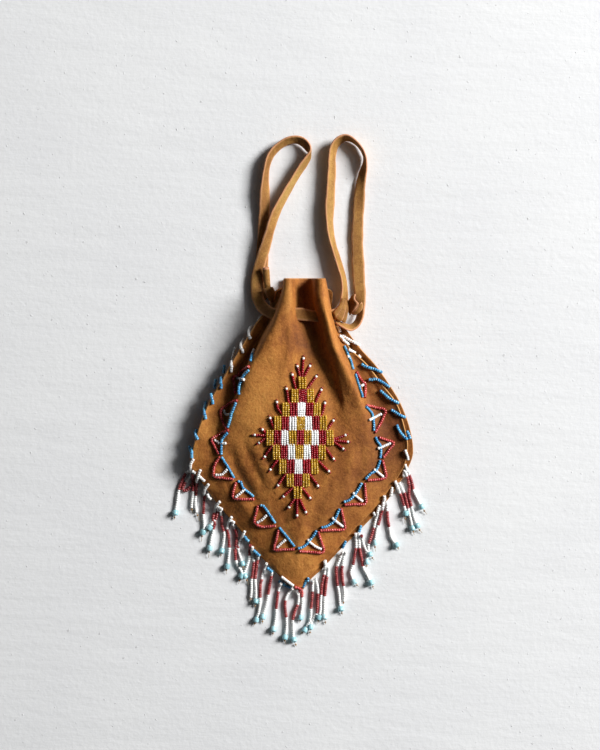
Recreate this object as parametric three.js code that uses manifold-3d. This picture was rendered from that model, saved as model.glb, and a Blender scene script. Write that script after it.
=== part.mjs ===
// Beaded medicine bag: a drawstring pouch of soft leather, lying on its back.
//
// Two kite-shaped leather panels are whip-stitched together round their edges
// and left open at the gathered neck.  Two flat leather laces pass through
// slots in the neck and hang in long loops.  The front carries a stepped
// lozenge of beadwork with rays, a border of sixteen small bead triangles,
// beaded whip stitches along both upper seams and a fringe of bead strands.
//
// Millimetres.  +X right, +Y towards the neck, +Z up out of the front face.
// The bag rests on the flat underside of the back panel at z = 0.
import * as THREE from 'three';
import * as BufferGeometryUtils from 'three/addons/utils/BufferGeometryUtils.js';
import Module from 'manifold-3d';

const wasm = await Module();
wasm.setup();

// ---------------------------------------------------------------- dimensions
const LEATHER = 1.4;            // panel leather thickness
const LACE_THICKNESS = 1.5;     // drawstring leather thickness
const SLOT_CLEARANCE = 0.35;    // clearance all round a lace in its slot
const BEAD_WIDTH = 2.0;         // width of one row of seed beads
const BEAD_HEIGHT = 1.7;        // height of beadwork above the leather
const TRIM_GAP = 0.4;           // gap between the leather and the beadwork
const THREAD = 1.1;             // seam thread carrying the whip stitches
const STRAND_SIDES = 5;         // sides of a fringe strand
const FRONT_CELLS = [24, 20];   // front panel facets across, along
const BACK_CELLS = [10, 16];    // back panel facets across, along
const LACE_STEP = 6.0;          // spacing of sections along a lace

// Control points of the front panel's outer face, one row per station from
// the neck's cut edge down to the point.  Across each row: left rim, left
// wing, foot and shoulder of the left pleat, its inner crest, the central
// valley, the right pleat's crest and foot, right wing, right rim.
const FRONT = [
  [[-12.35, 137.42, 10.0], [-12.09, 137.21, 13.5], [-11.75, 136.94, 18.0], [-11.57, 136.73, 21.5], [-10.86, 136.46, 26.0], [-7.19, 136.43, 26.4], [-5.02, 136.78, 20.6], [-1.04, 137.36, 11.0], [7.66, 137.39, 10.5], [10.74, 136.66, 22.6], [15.7, 136.46, 26.0], [17.51, 136.64, 23.0], [18.24, 136.91, 18.5], [18.76, 137.21, 13.5], [19.04, 137.42, 10.0]],
  [[-14.43, 125.89, 10.0], [-14.17, 125.74, 13.0], [-13.67, 125.51, 17.5], [-13.34, 125.34, 21.0], [-12.32, 125.03, 27.0], [-7.33, 125.0, 27.7], [-5.01, 125.33, 21.2], [-1.04, 125.85, 10.8], [8.03, 125.87, 10.5], [11.02, 125.17, 24.2], [16.41, 125.01, 27.5], [19.27, 125.24, 23.0], [20.24, 125.49, 18.0], [20.92, 125.74, 13.0], [21.27, 125.89, 10.0]],
  [[-19.86, 115.49, 9.8], [-18.86, 115.4, 12.0], [-17.63, 115.27, 15.0], [-16.69, 115.11, 18.8], [-14.95, 114.74, 27.8], [-8.06, 114.71, 28.3], [-5.16, 114.97, 22.2], [-1.19, 115.38, 12.3], [8.76, 115.41, 11.7], [12.7, 114.84, 25.2], [18.15, 114.69, 29.0], [21.18, 114.94, 23.0], [22.24, 115.17, 17.5], [22.86, 115.38, 12.5], [23.21, 115.49, 9.8]],
  [[-30.75, 105.76, 11.5], [-28.18, 105.79, 10.6], [-25.43, 105.8, 10.4], [-22.86, 105.73, 12.4], [-19.49, 105.21, 27.8], [-9.24, 105.22, 27.7], [-4.56, 105.37, 23.2], [0.59, 105.61, 16.0], [10.23, 105.7, 13.2], [14.75, 105.29, 25.4], [20.7, 105.16, 29.3], [23.86, 105.42, 21.5], [25.16, 105.61, 16.0], [26.29, 105.76, 11.5], [27.11, 105.86, 8.5]],
  [[-37.24, 95.33, 13.0], [-35.06, 95.36, 11.6], [-32.49, 95.39, 10.4], [-29.15, 95.39, 10.4], [-23.74, 94.96, 27.6], [-10.13, 94.99, 26.4], [-4.19, 95.06, 23.6], [1.33, 95.17, 19.2], [11.71, 95.3, 14.2], [17.18, 95.02, 25.2], [23.5, 94.94, 28.6], [27.34, 95.21, 17.5], [28.8, 95.34, 12.2], [30.05, 95.4, 10.0], [31.1, 95.41, 9.6]],
  [[-44.27, 84.19, 13.6], [-41.73, 84.21, 12.0], [-38.43, 84.23, 10.6], [-34.72, 84.24, 10.4], [-29.05, 83.99, 26.4], [-11.9, 84.01, 25.2], [-4.93, 84.04, 22.9], [1.33, 84.09, 19.8], [13.18, 84.17, 14.8], [20.28, 84.02, 24.4], [27.19, 83.98, 27.2], [31.31, 84.2, 13.0], [33.61, 84.24, 10.2], [35.92, 84.24, 10.0], [37.76, 84.23, 10.6]],
  [[-51.3, 72.32, 13.8], [-48.77, 72.33, 12.4], [-45.11, 72.34, 11.0], [-41.62, 72.34, 10.8], [-36.29, 72.26, 24.8], [-14.85, 72.27, 23.8], [-6.77, 72.27, 22.3], [1.32, 72.29, 20.2], [16.13, 72.31, 16.2], [24.85, 72.27, 23.4], [33.1, 72.26, 25.6], [37.63, 72.33, 12.4], [42.63, 72.35, 9.6], [47.08, 72.34, 10.0], [49.99, 72.34, 11.4]],
  [[-59.46, 58.24, 13.8], [-56.18, 58.23, 12.6], [-51.41, 58.22, 11.4], [-46.73, 58.22, 11.4], [-41.06, 58.29, 22.8], [-17.81, 58.29, 22.4], [-8.25, 58.29, 21.8], [1.32, 58.28, 20.6], [19.81, 58.26, 17.2], [29.67, 58.29, 21.9], [39.27, 58.3, 23.2], [43.95, 58.23, 12.2], [50.44, 58.21, 9.6], [57.1, 58.22, 10.4], [60.73, 58.23, 12.0]],
  [[-67.63, 44.15, 13.6], [-63.97, 44.13, 12.6], [-58.06, 44.12, 12.0], [-52.11, 44.12, 12.4], [-45.62, 44.28, 21.0], [-22.25, 44.29, 21.4], [-10.46, 44.29, 21.4], [1.32, 44.28, 20.7], [24.23, 44.23, 18.0], [34.5, 44.27, 20.3], [44.96, 44.28, 20.7], [50.32, 44.12, 12.4], [59.37, 44.07, 9.6], [67.5, 44.09, 10.6], [71.49, 44.12, 12.2]],
  [[-73.97, 28.56, 13.0], [-69.92, 28.54, 12.4], [-63.99, 28.53, 12.2], [-57.28, 28.55, 12.8], [-50.37, 28.73, 18.4], [-25.96, 28.78, 20.2], [-12.31, 28.79, 20.6], [1.32, 28.79, 20.4], [27.17, 28.73, 18.4], [38.61, 28.73, 18.6], [48.98, 28.71, 17.9], [57.75, 28.54, 12.4], [66.05, 28.46, 9.8], [73.44, 28.48, 10.6], [76.7, 28.53, 12.0]],
  [[-78.88, 12.91, 11.6], [-74.8, 12.91, 11.6], [-68.46, 12.93, 12.0], [-61.74, 12.96, 12.7], [-53.78, 13.13, 16.4], [-28.19, 13.25, 19.2], [-13.79, 13.29, 20.0], [0.59, 13.29, 20.0], [27.18, 13.21, 18.2], [39.03, 13.17, 17.3], [49.06, 13.11, 15.9], [60.73, 12.93, 12.0], [69.79, 12.83, 9.6], [76.47, 12.83, 9.8], [79.74, 12.89, 11.0]],
  [[-81.42, -2.08, 9.2], [-77.14, -2.04, 9.8], [-70.76, -1.99, 10.8], [-63.64, -1.93, 11.8], [-55.03, -1.84, 13.4], [-28.22, -1.58, 18.0], [-14.18, -1.54, 18.7], [-0.15, -1.52, 19.0], [25.72, -1.62, 17.2], [36.85, -1.68, 16.1], [46.52, -1.76, 14.7], [59.29, -1.96, 11.2], [67.96, -2.09, 9.0], [73.97, -2.13, 8.2], [77.29, -2.11, 8.6]],
  [[-70.29, -18.66, 6.2], [-66.86, -18.58, 7.4], [-61.57, -18.48, 8.8], [-55.18, -18.38, 10.2], [-46.93, -18.26, 11.9], [-25.31, -17.98, 15.8], [-13.09, -17.92, 16.7], [-0.89, -17.89, 17.2], [21.32, -18.0, 15.6], [30.6, -18.08, 14.4], [38.43, -18.18, 13.0], [50.39, -18.34, 10.8], [58.3, -18.49, 8.6], [63.96, -18.59, 7.2], [67.15, -18.66, 6.2]],
  [[-58.03, -35.18, 5.0], [-54.98, -35.06, 6.4], [-50.45, -34.94, 7.8], [-44.8, -34.82, 9.2], [-38.06, -34.69, 10.8], [-21.28, -34.45, 13.6], [-11.41, -34.39, 14.3], [-1.63, -34.35, 14.8], [16.53, -34.45, 13.6], [24.34, -34.53, 12.7], [30.67, -34.62, 11.6], [40.02, -34.77, 9.8], [46.41, -34.92, 8.0], [51.32, -35.06, 6.4], [54.37, -35.18, 5.0]],
  [[-44.61, -50.16, 4.5], [-42.33, -50.06, 5.6], [-38.55, -49.92, 7.0], [-34.04, -49.81, 8.2], [-28.8, -49.69, 9.4], [-16.49, -49.5, 11.4], [-9.06, -49.45, 11.9], [-1.63, -49.42, 12.2], [11.74, -49.5, 11.4], [17.32, -49.55, 10.8], [22.16, -49.64, 9.9], [29.27, -49.79, 8.4], [34.15, -49.92, 7.0], [37.55, -50.06, 5.6], [39.82, -50.16, 4.5]],
  [[-33.78, -65.14, 4.2], [-31.89, -65.03, 5.2], [-28.88, -64.92, 6.2], [-25.5, -64.81, 7.2], [-21.38, -64.72, 8.0], [-12.43, -64.59, 9.2], [-7.0, -64.56, 9.5], [-1.64, -64.54, 9.7], [8.04, -64.6, 9.1], [11.76, -64.65, 8.65], [14.75, -64.71, 8.1], [19.24, -64.83, 7.0], [22.61, -64.93, 6.1], [25.24, -65.04, 5.1], [26.98, -65.14, 4.2]],
  [[-21.08, -78.63, 3.9], [-19.58, -78.55, 4.6], [-17.7, -78.45, 5.4], [-15.45, -78.38, 6.0], [-12.83, -78.3, 6.6], [-7.61, -78.23, 7.2], [-4.62, -78.21, 7.35], [-1.64, -78.21, 7.4], [3.58, -78.26, 7.0], [5.44, -78.28, 6.8], [6.94, -78.32, 6.5], [9.18, -78.39, 5.9], [11.05, -78.46, 5.3], [12.55, -78.55, 4.6], [13.53, -78.63, 3.9]],
  [[-12.49, -87.63, 3.7], [-11.36, -87.57, 4.1], [-10.01, -87.52, 4.5], [-8.37, -87.47, 4.9], [-6.87, -87.43, 5.2], [-4.26, -87.4, 5.5], [-2.99, -87.39, 5.56], [-1.79, -87.38, 5.6], [0.22, -87.41, 5.4], [1.04, -87.42, 5.3], [1.72, -87.45, 5.1], [2.69, -87.48, 4.8], [3.59, -87.54, 4.4], [4.33, -87.57, 4.1], [4.93, -87.63, 3.7]],
  [[-6.51, -93.1, 3.6], [-5.68, -93.07, 3.8], [-4.78, -93.05, 3.95], [-3.89, -93.04, 4.05], [-3.29, -93.03, 4.1], [-2.54, -93.02, 4.15], [-2.24, -93.02, 4.18], [-1.94, -93.02, 4.2], [-1.35, -93.02, 4.15], [-1.05, -93.03, 4.12], [-0.75, -93.03, 4.1], [-0.22, -93.04, 4.0], [0.3, -93.06, 3.9], [0.82, -93.07, 3.8], [1.35, -93.1, 3.6]],
];

// Control points of the back panel's outer face (its underside).
const BACK = [
  [[-11.0, 137.87, 2.65], [-10.42, 137.91, 1.91], [-9.25, 137.96, 1.01], [-7.19, 138.01, 0.32], [-3.66, 138.03, 0.0], [0.18, 138.03, 0.0], [3.71, 138.03, 0.0], [7.25, 138.03, 0.0], [11.08, 138.02, 0.13], [14.61, 137.97, 0.95], [16.66, 137.93, 1.64], [17.83, 137.9, 2.09], [18.41, 137.89, 2.28]],
  [[-11.97, 130.76, 2.65], [-11.36, 130.8, 1.91], [-10.11, 130.85, 1.01], [-7.92, 130.88, 0.32], [-4.16, 130.9, 0.0], [-0.09, 130.9, 0.0], [3.68, 130.9, 0.0], [7.44, 130.9, 0.0], [11.51, 130.89, 0.13], [15.26, 130.85, 0.95], [17.44, 130.81, 1.64], [18.69, 130.79, 2.09], [19.31, 130.78, 2.28]],
  [[-17.66, 127.3, 2.85], [-16.84, 127.34, 2.05], [-15.18, 127.39, 1.08], [-12.28, 127.43, 0.34], [-7.28, 127.45, 0.0], [-1.85, 127.45, 0.0], [3.15, 127.45, 0.0], [8.15, 127.45, 0.0], [13.57, 127.44, 0.14], [18.56, 127.4, 1.03], [21.47, 127.36, 1.77], [23.12, 127.33, 2.25], [23.95, 127.32, 2.45]],
  [[-19.45, 118.76, 3.25], [-18.6, 118.8, 2.34], [-16.9, 118.85, 1.23], [-13.9, 118.88, 0.39], [-8.74, 118.9, 0.0], [-3.14, 118.9, 0.0], [2.02, 118.9, 0.0], [7.19, 118.9, 0.0], [12.79, 118.89, 0.16], [17.94, 118.85, 1.17], [20.93, 118.81, 2.01], [22.64, 118.79, 2.57], [23.49, 118.78, 2.79]],
  [[-24.05, 112.7, 5.05], [-23.1, 112.76, 3.64], [-21.18, 112.82, 1.92], [-17.78, 112.88, 0.61], [-11.92, 112.9, 0.0], [-5.57, 112.9, 0.0], [0.3, 112.9, 0.0], [6.17, 112.9, 0.0], [12.52, 112.89, 0.2], [18.37, 112.84, 1.46], [21.77, 112.8, 2.51], [23.71, 112.77, 3.2], [24.68, 112.76, 3.48]],
  [[-30.48, 105.89, 7.65], [-29.34, 105.96, 5.51], [-27.0, 106.05, 2.91], [-22.84, 106.12, 0.92], [-15.64, 106.15, 0.0], [-7.82, 106.15, 0.0], [-0.6, 106.15, 0.0], [6.62, 106.15, 0.0], [14.43, 106.14, 0.27], [21.62, 106.08, 1.96], [25.79, 106.04, 3.38], [28.17, 106.0, 4.31], [29.36, 105.99, 4.69]],
  [[-36.91, 95.42, 9.25], [-35.52, 95.48, 6.66], [-32.65, 95.56, 3.52], [-27.53, 95.62, 1.11], [-18.66, 95.65, 0.0], [-9.01, 95.65, 0.0], [-0.11, 95.65, 0.0], [8.79, 95.65, 0.0], [18.43, 95.64, 0.37], [27.27, 95.58, 2.68], [32.4, 95.53, 4.62], [35.32, 95.5, 5.89], [36.78, 95.49, 6.41]],
  [[-44.04, 84.25, 9.85], [-42.35, 84.29, 7.09], [-38.88, 84.34, 3.74], [-32.67, 84.38, 1.18], [-21.9, 84.4, 0.0], [-10.2, 84.4, 0.0], [0.6, 84.4, 0.0], [11.4, 84.4, 0.0], [23.09, 84.39, 0.47], [33.8, 84.35, 3.4], [40.0, 84.31, 5.86], [43.53, 84.28, 7.47], [45.29, 84.27, 8.13]],
  [[-51.02, 72.34, 10.05], [-49.0, 72.36, 7.24], [-44.83, 72.38, 3.82], [-37.38, 72.39, 1.21], [-24.47, 72.4, 0.0], [-10.44, 72.4, 0.0], [2.51, 72.4, 0.0], [15.46, 72.4, 0.0], [29.48, 72.4, 0.52], [42.31, 72.38, 3.76], [49.73, 72.36, 6.48], [53.94, 72.35, 8.26], [56.05, 72.35, 8.99]],
  [[-59.2, 58.21, 10.05], [-56.83, 58.2, 7.24], [-51.96, 58.17, 3.82], [-43.24, 58.16, 1.21], [-28.13, 58.15, 0.0], [-11.71, 58.15, 0.0], [3.45, 58.15, 0.0], [18.61, 58.15, 0.0], [35.01, 58.15, 0.54], [50.02, 58.17, 3.91], [58.69, 58.19, 6.73], [63.62, 58.2, 8.57], [66.08, 58.21, 9.33]],
  [[-67.39, 44.08, 9.85], [-64.71, 44.03, 7.09], [-59.18, 43.97, 3.74], [-49.31, 43.92, 1.18], [-32.19, 43.9, 0.0], [-13.6, 43.9, 0.0], [3.56, 43.9, 0.0], [20.73, 43.9, 0.0], [39.3, 43.91, 0.54], [56.3, 43.97, 3.91], [66.12, 44.02, 6.73], [71.7, 44.06, 8.57], [74.49, 44.07, 9.33]],
  [[-73.83, 28.44, 9.25], [-70.89, 28.36, 6.66], [-64.88, 28.26, 3.52], [-54.13, 28.18, 1.11], [-35.51, 28.15, 0.0], [-15.29, 28.15, 0.0], [3.37, 28.15, 0.0], [22.04, 28.15, 0.0], [42.24, 28.17, 0.52], [60.74, 28.27, 3.76], [71.43, 28.35, 6.48], [77.5, 28.41, 8.26], [80.54, 28.43, 8.99]],
  [[-78.68, 12.75, 7.85], [-75.57, 12.65, 5.65], [-69.22, 12.53, 2.98], [-57.9, 12.44, 0.94], [-38.33, 12.4, 0.0], [-17.07, 12.4, 0.0], [2.55, 12.4, 0.0], [22.17, 12.4, 0.0], [43.41, 12.42, 0.46], [62.87, 12.55, 3.33], [74.13, 12.65, 5.74], [80.54, 12.72, 7.31], [83.74, 12.75, 7.96]],
  [[-81.04, 0.73, 6.05], [-77.88, 0.64, 4.36], [-71.47, 0.53, 2.3], [-60.08, 0.44, 0.73], [-40.43, 0.4, 0.0], [-19.09, 0.4, 0.0], [0.6, 0.4, 0.0], [20.29, 0.4, 0.0], [41.61, 0.42, 0.34], [61.19, 0.53, 2.47], [72.55, 0.63, 4.25], [79.01, 0.69, 5.41], [82.24, 0.72, 5.89]],
  [[-70.05, -18.91, 2.65], [-67.25, -18.97, 1.91], [-61.63, -19.03, 1.01], [-51.72, -19.08, 0.32], [-34.69, -19.1, 0.0], [-16.22, -19.1, 0.0], [0.83, -19.1, 0.0], [17.87, -19.1, 0.0], [36.33, -19.09, 0.14], [53.34, -19.03, 1.03], [63.23, -18.98, 1.77], [68.88, -18.94, 2.25], [71.7, -18.93, 2.45]],
  [[-57.82, -35.46, 1.65], [-55.51, -35.5, 1.19], [-50.88, -35.55, 0.63], [-42.74, -35.58, 0.2], [-28.76, -35.6, 0.0], [-13.61, -35.6, 0.0], [0.37, -35.6, 0.0], [14.36, -35.6, 0.0], [29.51, -35.59, 0.08], [43.48, -35.55, 0.59], [51.61, -35.51, 1.02], [56.26, -35.49, 1.3], [58.58, -35.48, 1.42]],
  [[-44.36, -50.49, 1.15], [-42.6, -50.52, 0.83], [-39.06, -50.56, 0.44], [-32.86, -50.59, 0.14], [-22.22, -50.6, 0.0], [-10.68, -50.6, 0.0], [-0.04, -50.6, 0.0], [10.61, -50.6, 0.0], [22.14, -50.59, 0.06], [32.78, -50.56, 0.41], [38.98, -50.53, 0.71], [42.52, -50.51, 0.91], [44.29, -50.5, 0.99]],
  [[-33.43, -65.51, 0.85], [-32.18, -65.53, 0.61], [-29.67, -65.56, 0.32], [-25.28, -65.59, 0.1], [-17.74, -65.6, 0.0], [-9.57, -65.6, 0.0], [-2.02, -65.6, 0.0], [5.52, -65.6, 0.0], [13.69, -65.6, 0.04], [21.22, -65.57, 0.31], [25.62, -65.54, 0.53], [28.13, -65.53, 0.67], [29.38, -65.52, 0.73]],
  [[-20.69, -79.03, 0.55], [-19.95, -79.05, 0.4], [-18.46, -79.07, 0.21], [-15.84, -79.09, 0.07], [-11.36, -79.1, 0.0], [-6.51, -79.1, 0.0], [-2.02, -79.1, 0.0], [2.46, -79.1, 0.0], [7.31, -79.1, 0.03], [11.79, -79.08, 0.2], [14.4, -79.06, 0.34], [15.9, -79.05, 0.43], [16.64, -79.04, 0.47]],
  [[-12.15, -88.06, 0.35], [-11.76, -88.07, 0.25], [-11.0, -88.08, 0.13], [-9.65, -88.09, 0.04], [-7.35, -88.1, 0.0], [-4.85, -88.1, 0.0], [-2.55, -88.1, 0.0], [-0.25, -88.1, 0.0], [2.25, -88.1, 0.02], [4.55, -88.08, 0.13], [5.9, -88.07, 0.22], [6.66, -88.06, 0.28], [7.05, -88.06, 0.3]],
  [[-6.15, -94.82, 0.2], [-5.98, -94.83, 0.14], [-5.64, -94.84, 0.08], [-5.04, -94.85, 0.02], [-4.01, -94.85, 0.0], [-2.9, -94.85, 0.0], [-1.88, -94.85, 0.0], [-0.85, -94.85, 0.0], [0.26, -94.85, 0.01], [1.29, -94.84, 0.07], [1.89, -94.83, 0.12], [2.23, -94.83, 0.16], [2.4, -94.83, 0.17]],
];

// Laces: each station is the two edges of the flat strip's middle plane,
// x1 y1 z1 x2 y2 z2.
const LEFT_LACE_A = [
  [18.69, 113.3, 18.0, 18.68, 105.16, 18.4],
  [14.25, 113.21, 18.4, 14.24, 104.77, 19.0],
  [10.34, 113.22, 18.2, 10.33, 105.06, 19.3],
  [6.13, 114.13, 17.6, 6.12, 105.36, 19.0],
  [2.22, 114.88, 17.4, 2.06, 105.81, 18.9],
  [-2.0, 115.3, 17.8, -2.14, 106.25, 19.0],
  [-5.69, 115.29, 18.2, -5.91, 106.32, 18.9],
  [-10.49, 115.29, 18.0, -10.79, 106.42, 18.3],
  [-14.34, 115.25, 17.2, -15.52, 106.45, 17.4],
  [-17.77, 115.25, 15.6, -19.84, 106.65, 15.8],
  [-20.77, 115.93, 13.4, -24.39, 108.05, 13.9],
  [-23.8, 118.16, 10.0, -28.98, 111.27, 11.2],
  [-26.26, 121.38, 6.4, -32.94, 115.66, 7.6],
  [-27.65, 126.56, 4.3, -36.09, 122.95, 4.6],
  [-27.97, 133.32, 3.6, -36.93, 132.19, 3.8],
  [-26.92, 142.31, 3.4, -35.73, 143.39, 4.0],
  [-24.91, 151.29, 3.3, -33.0, 153.36, 5.6],
  [-22.59, 159.9, 3.2, -29.67, 162.19, 7.2],
  [-20.65, 168.13, 3.2, -26.97, 170.08, 8.2],
  [-18.55, 177.12, 3.0, -24.05, 178.88, 8.9],
  [-15.64, 185.76, 2.6, -20.62, 187.8, 9.0],
  [-11.68, 194.07, 1.9, -16.31, 196.25, 8.7],
  [-7.19, 202.75, 1.3, -11.62, 204.55, 8.4],
  [-2.85, 210.27, 1.1, -7.3, 211.79, 8.2],
  [1.57, 217.31, 1.1, -2.68, 219.39, 8.2],
  [5.47, 223.62, 1.0, 1.94, 225.62, 8.4],
  [7.57, 228.04, 1.0, 5.36, 229.87, 8.9],
  [7.27, 231.11, 1.0, 7.59, 232.62, 9.5],
  [4.94, 233.33, 1.2, 7.74, 235.81, 9.0],
  [2.55, 236.0, 1.4, 5.81, 239.49, 7.8],
  [-0.3, 238.22, 1.6, 1.79, 242.87, 6.6],
  [-3.75, 239.28, 1.5, -3.21, 243.94, 6.9],
];
const LEFT_LACE_B = [
  [-3.75, 239.28, 1.5, -3.21, 243.94, 6.9],
  [-7.94, 238.56, 1.3, -8.87, 243.11, 7.0],
  [-12.21, 236.49, 1.1, -14.32, 240.72, 7.0],
  [-16.71, 232.9, 1.1, -19.98, 236.15, 7.2],
  [-20.38, 228.4, 1.1, -24.07, 230.53, 7.9],
  [-22.78, 222.57, 1.0, -26.29, 223.24, 8.4],
  [-23.68, 214.4, 1.0, -28.01, 214.43, 8.0],
  [-23.53, 204.66, 1.0, -29.3, 204.31, 7.2],
  [-22.93, 194.92, 1.0, -30.15, 194.54, 5.9],
  [-23.08, 183.68, 1.0, -31.02, 183.74, 4.2],
  [-24.28, 170.94, 1.0, -31.87, 172.26, 3.0],
  [-24.28, 161.2, 1.0, -32.64, 161.85, 2.2],
  [-23.98, 150.33, 1.0, -32.96, 150.68, 1.4],
  [-23.98, 139.46, 1.0, -32.97, 139.46, 1.0],
  [-23.38, 130.83, 1.2, -31.92, 128.97, 1.0],
  [-21.27, 126.32, 1.6, -27.72, 120.64, 1.2],
];
const LEFT_LACE_TAIL = [
  [-27.34, 119.43, 4.8, -21.71, 121.04, 2.4],
  [-28.19, 125.31, 6.9, -21.21, 125.41, 4.9],
  [-28.33, 131.24, 7.4, -21.35, 131.72, 5.6],
  [-28.18, 138.71, 7.2, -21.88, 138.83, 5.2],
  [-27.74, 145.15, 6.8, -22.19, 145.29, 4.6],
];
const RIGHT_LACE_A = [
  [15.43, 114.16, 13.2, 15.43, 105.7, 13.2],
  [19.87, 114.36, 13.8, 20.16, 105.68, 13.8],
  [23.27, 114.56, 14.2, 24.16, 105.74, 14.2],
  [25.65, 115.32, 13.8, 28.18, 106.29, 13.4],
  [27.77, 116.88, 12.0, 32.24, 109.04, 11.2],
  [29.54, 119.66, 9.6, 34.87, 113.34, 7.8],
  [30.67, 124.84, 8.8, 35.45, 121.37, 3.4],
  [31.12, 130.79, 8.9, 35.2, 130.05, 1.8],
  [30.36, 137.84, 9.2, 34.01, 138.91, 1.4],
  [28.13, 145.28, 9.2, 31.77, 146.87, 1.2],
  [25.16, 154.23, 9.0, 29.07, 156.02, 1.1],
  [22.48, 162.8, 8.9, 26.53, 164.56, 1.1],
  [20.4, 171.76, 8.6, 25.03, 173.1, 1.1],
  [19.29, 181.1, 8.3, 24.5, 182.09, 1.1],
  [18.93, 190.85, 7.6, 25.1, 191.53, 1.1],
  [19.45, 199.81, 7.5, 25.7, 200.38, 1.1],
  [19.9, 209.5, 7.5, 26.15, 209.89, 1.1],
  [20.57, 219.54, 7.6, 26.6, 219.26, 1.1],
  [20.93, 228.34, 8.1, 26.45, 227.5, 1.1],
  [22.57, 235.85, 8.2, 27.5, 234.77, 1.1],
  [26.22, 241.43, 8.3, 30.04, 238.73, 1.2],
  [31.35, 244.45, 8.5, 33.34, 240.81, 1.3],
];
const RIGHT_LACE_B = [
  [31.35, 244.45, 8.5, 33.34, 240.81, 1.3],
  [36.18, 244.02, 8.9, 36.71, 241.05, 1.2],
  [40.48, 241.13, 9.3, 39.79, 239.64, 1.1],
  [44.19, 237.29, 9.6, 42.79, 237.26, 1.0],
  [47.17, 233.05, 9.6, 45.72, 233.22, 0.9],
  [49.1, 227.47, 9.6, 47.51, 228.28, 0.9],
  [49.67, 221.65, 8.6, 46.61, 223.02, 1.0],
  [49.39, 215.62, 6.2, 44.05, 216.82, 1.4],
  [48.8, 208.4, 4.2, 41.79, 208.7, 1.7],
  [48.27, 198.87, 2.5, 40.43, 198.93, 2.0],
  [47.86, 189.25, 1.5, 39.52, 189.16, 2.3],
  [47.5, 178.79, 1.2, 38.85, 178.67, 2.4],
  [47.36, 167.56, 1.1, 38.25, 167.45, 2.3],
  [47.59, 155.57, 1.0, 38.71, 155.5, 2.0],
  [48.11, 144.33, 1.0, 39.09, 144.29, 1.7],
  [48.78, 133.08, 1.2, 39.92, 133.06, 1.6],
  [49.15, 123.26, 3.0, 41.04, 123.61, 1.8],
  [48.33, 114.5, 6.6, 42.68, 116.12, 2.0],
  [46.68, 107.71, 8.8, 42.38, 110.58, 2.0],
  [43.72, 102.24, 10.2, 41.01, 106.21, 2.6],
  [38.91, 98.77, 12.0, 37.65, 103.45, 4.6],
  [35.12, 99.14, 14.6, 35.03, 103.37, 7.4],
  [32.11, 100.58, 16.0, 32.91, 104.07, 8.6],
];

// Rows of the stepped lozenge: centre line of the row and its depth.
const LOZENGE_ROWS = [
  { line: [[-1.99, 59.87], [1.18, 59.86], [4.35, 59.86]], depth: 9.36, n: 1 },
  { line: [[-7.07, 50.26], [-4.23, 50.25], [-1.38, 50.25], [1.47, 50.25], [4.32, 50.24], [7.18, 50.23], [10.03, 50.23]], depth: 10.17, n: 3 },
  { line: [[-13.56, 40.23], [-10.71, 40.23], [-7.87, 40.23], [-5.03, 40.23], [-2.18, 40.23], [0.66, 40.22], [3.51, 40.22], [6.35, 40.21], [9.2, 40.2], [12.05, 40.19], [14.91, 40.19]], depth: 10.47, n: 5 },
  { line: [[-19.54, 30.19], [-16.74, 30.2], [-13.94, 30.2], [-11.15, 30.2], [-8.35, 30.2], [-5.56, 30.2], [-2.76, 30.2], [0.03, 30.19], [2.83, 30.19], [5.63, 30.18], [8.43, 30.17], [11.23, 30.17], [14.03, 30.16], [16.83, 30.15], [19.63, 30.14]], depth: 11.07, n: 7 },
  { line: [[-25.01, 19.55], [-22.26, 19.56], [-19.5, 19.56], [-16.75, 19.56], [-14.0, 19.57], [-11.25, 19.57], [-8.51, 19.57], [-5.76, 19.57], [-3.01, 19.57], [-0.26, 19.57], [2.49, 19.56], [5.24, 19.55], [7.99, 19.55], [10.74, 19.54], [13.49, 19.53], [16.25, 19.52], [19.0, 19.52], [21.76, 19.51], [24.51, 19.5]], depth: 11.66, n: 9 },
  { line: [[-20.44, 9.1], [-17.65, 9.1], [-14.85, 9.11], [-12.06, 9.11], [-9.26, 9.11], [-6.47, 9.12], [-3.68, 9.12], [-0.89, 9.11], [1.9, 9.11], [4.7, 9.1], [7.49, 9.09], [10.29, 9.08], [13.08, 9.07], [15.88, 9.06], [18.68, 9.05]], depth: 11.61, n: 7 },
  { line: [[-15.95, -1.43], [-13.03, -1.42], [-10.12, -1.41], [-7.2, -1.41], [-4.28, -1.4], [-1.37, -1.41], [1.55, -1.41], [4.46, -1.42], [7.38, -1.43], [10.3, -1.44], [13.22, -1.46]], depth: 11.8, n: 5 },
  { line: [[-10.35, -11.86], [-7.45, -11.85], [-4.56, -11.85], [-1.66, -11.85], [1.23, -11.85], [4.12, -11.87], [7.02, -11.88]], depth: 9.98, n: 3 },
  { line: [[-5.4, -21.24], [-2.11, -21.24], [1.18, -21.25]], depth: 9.41, n: 1 },
];
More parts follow.
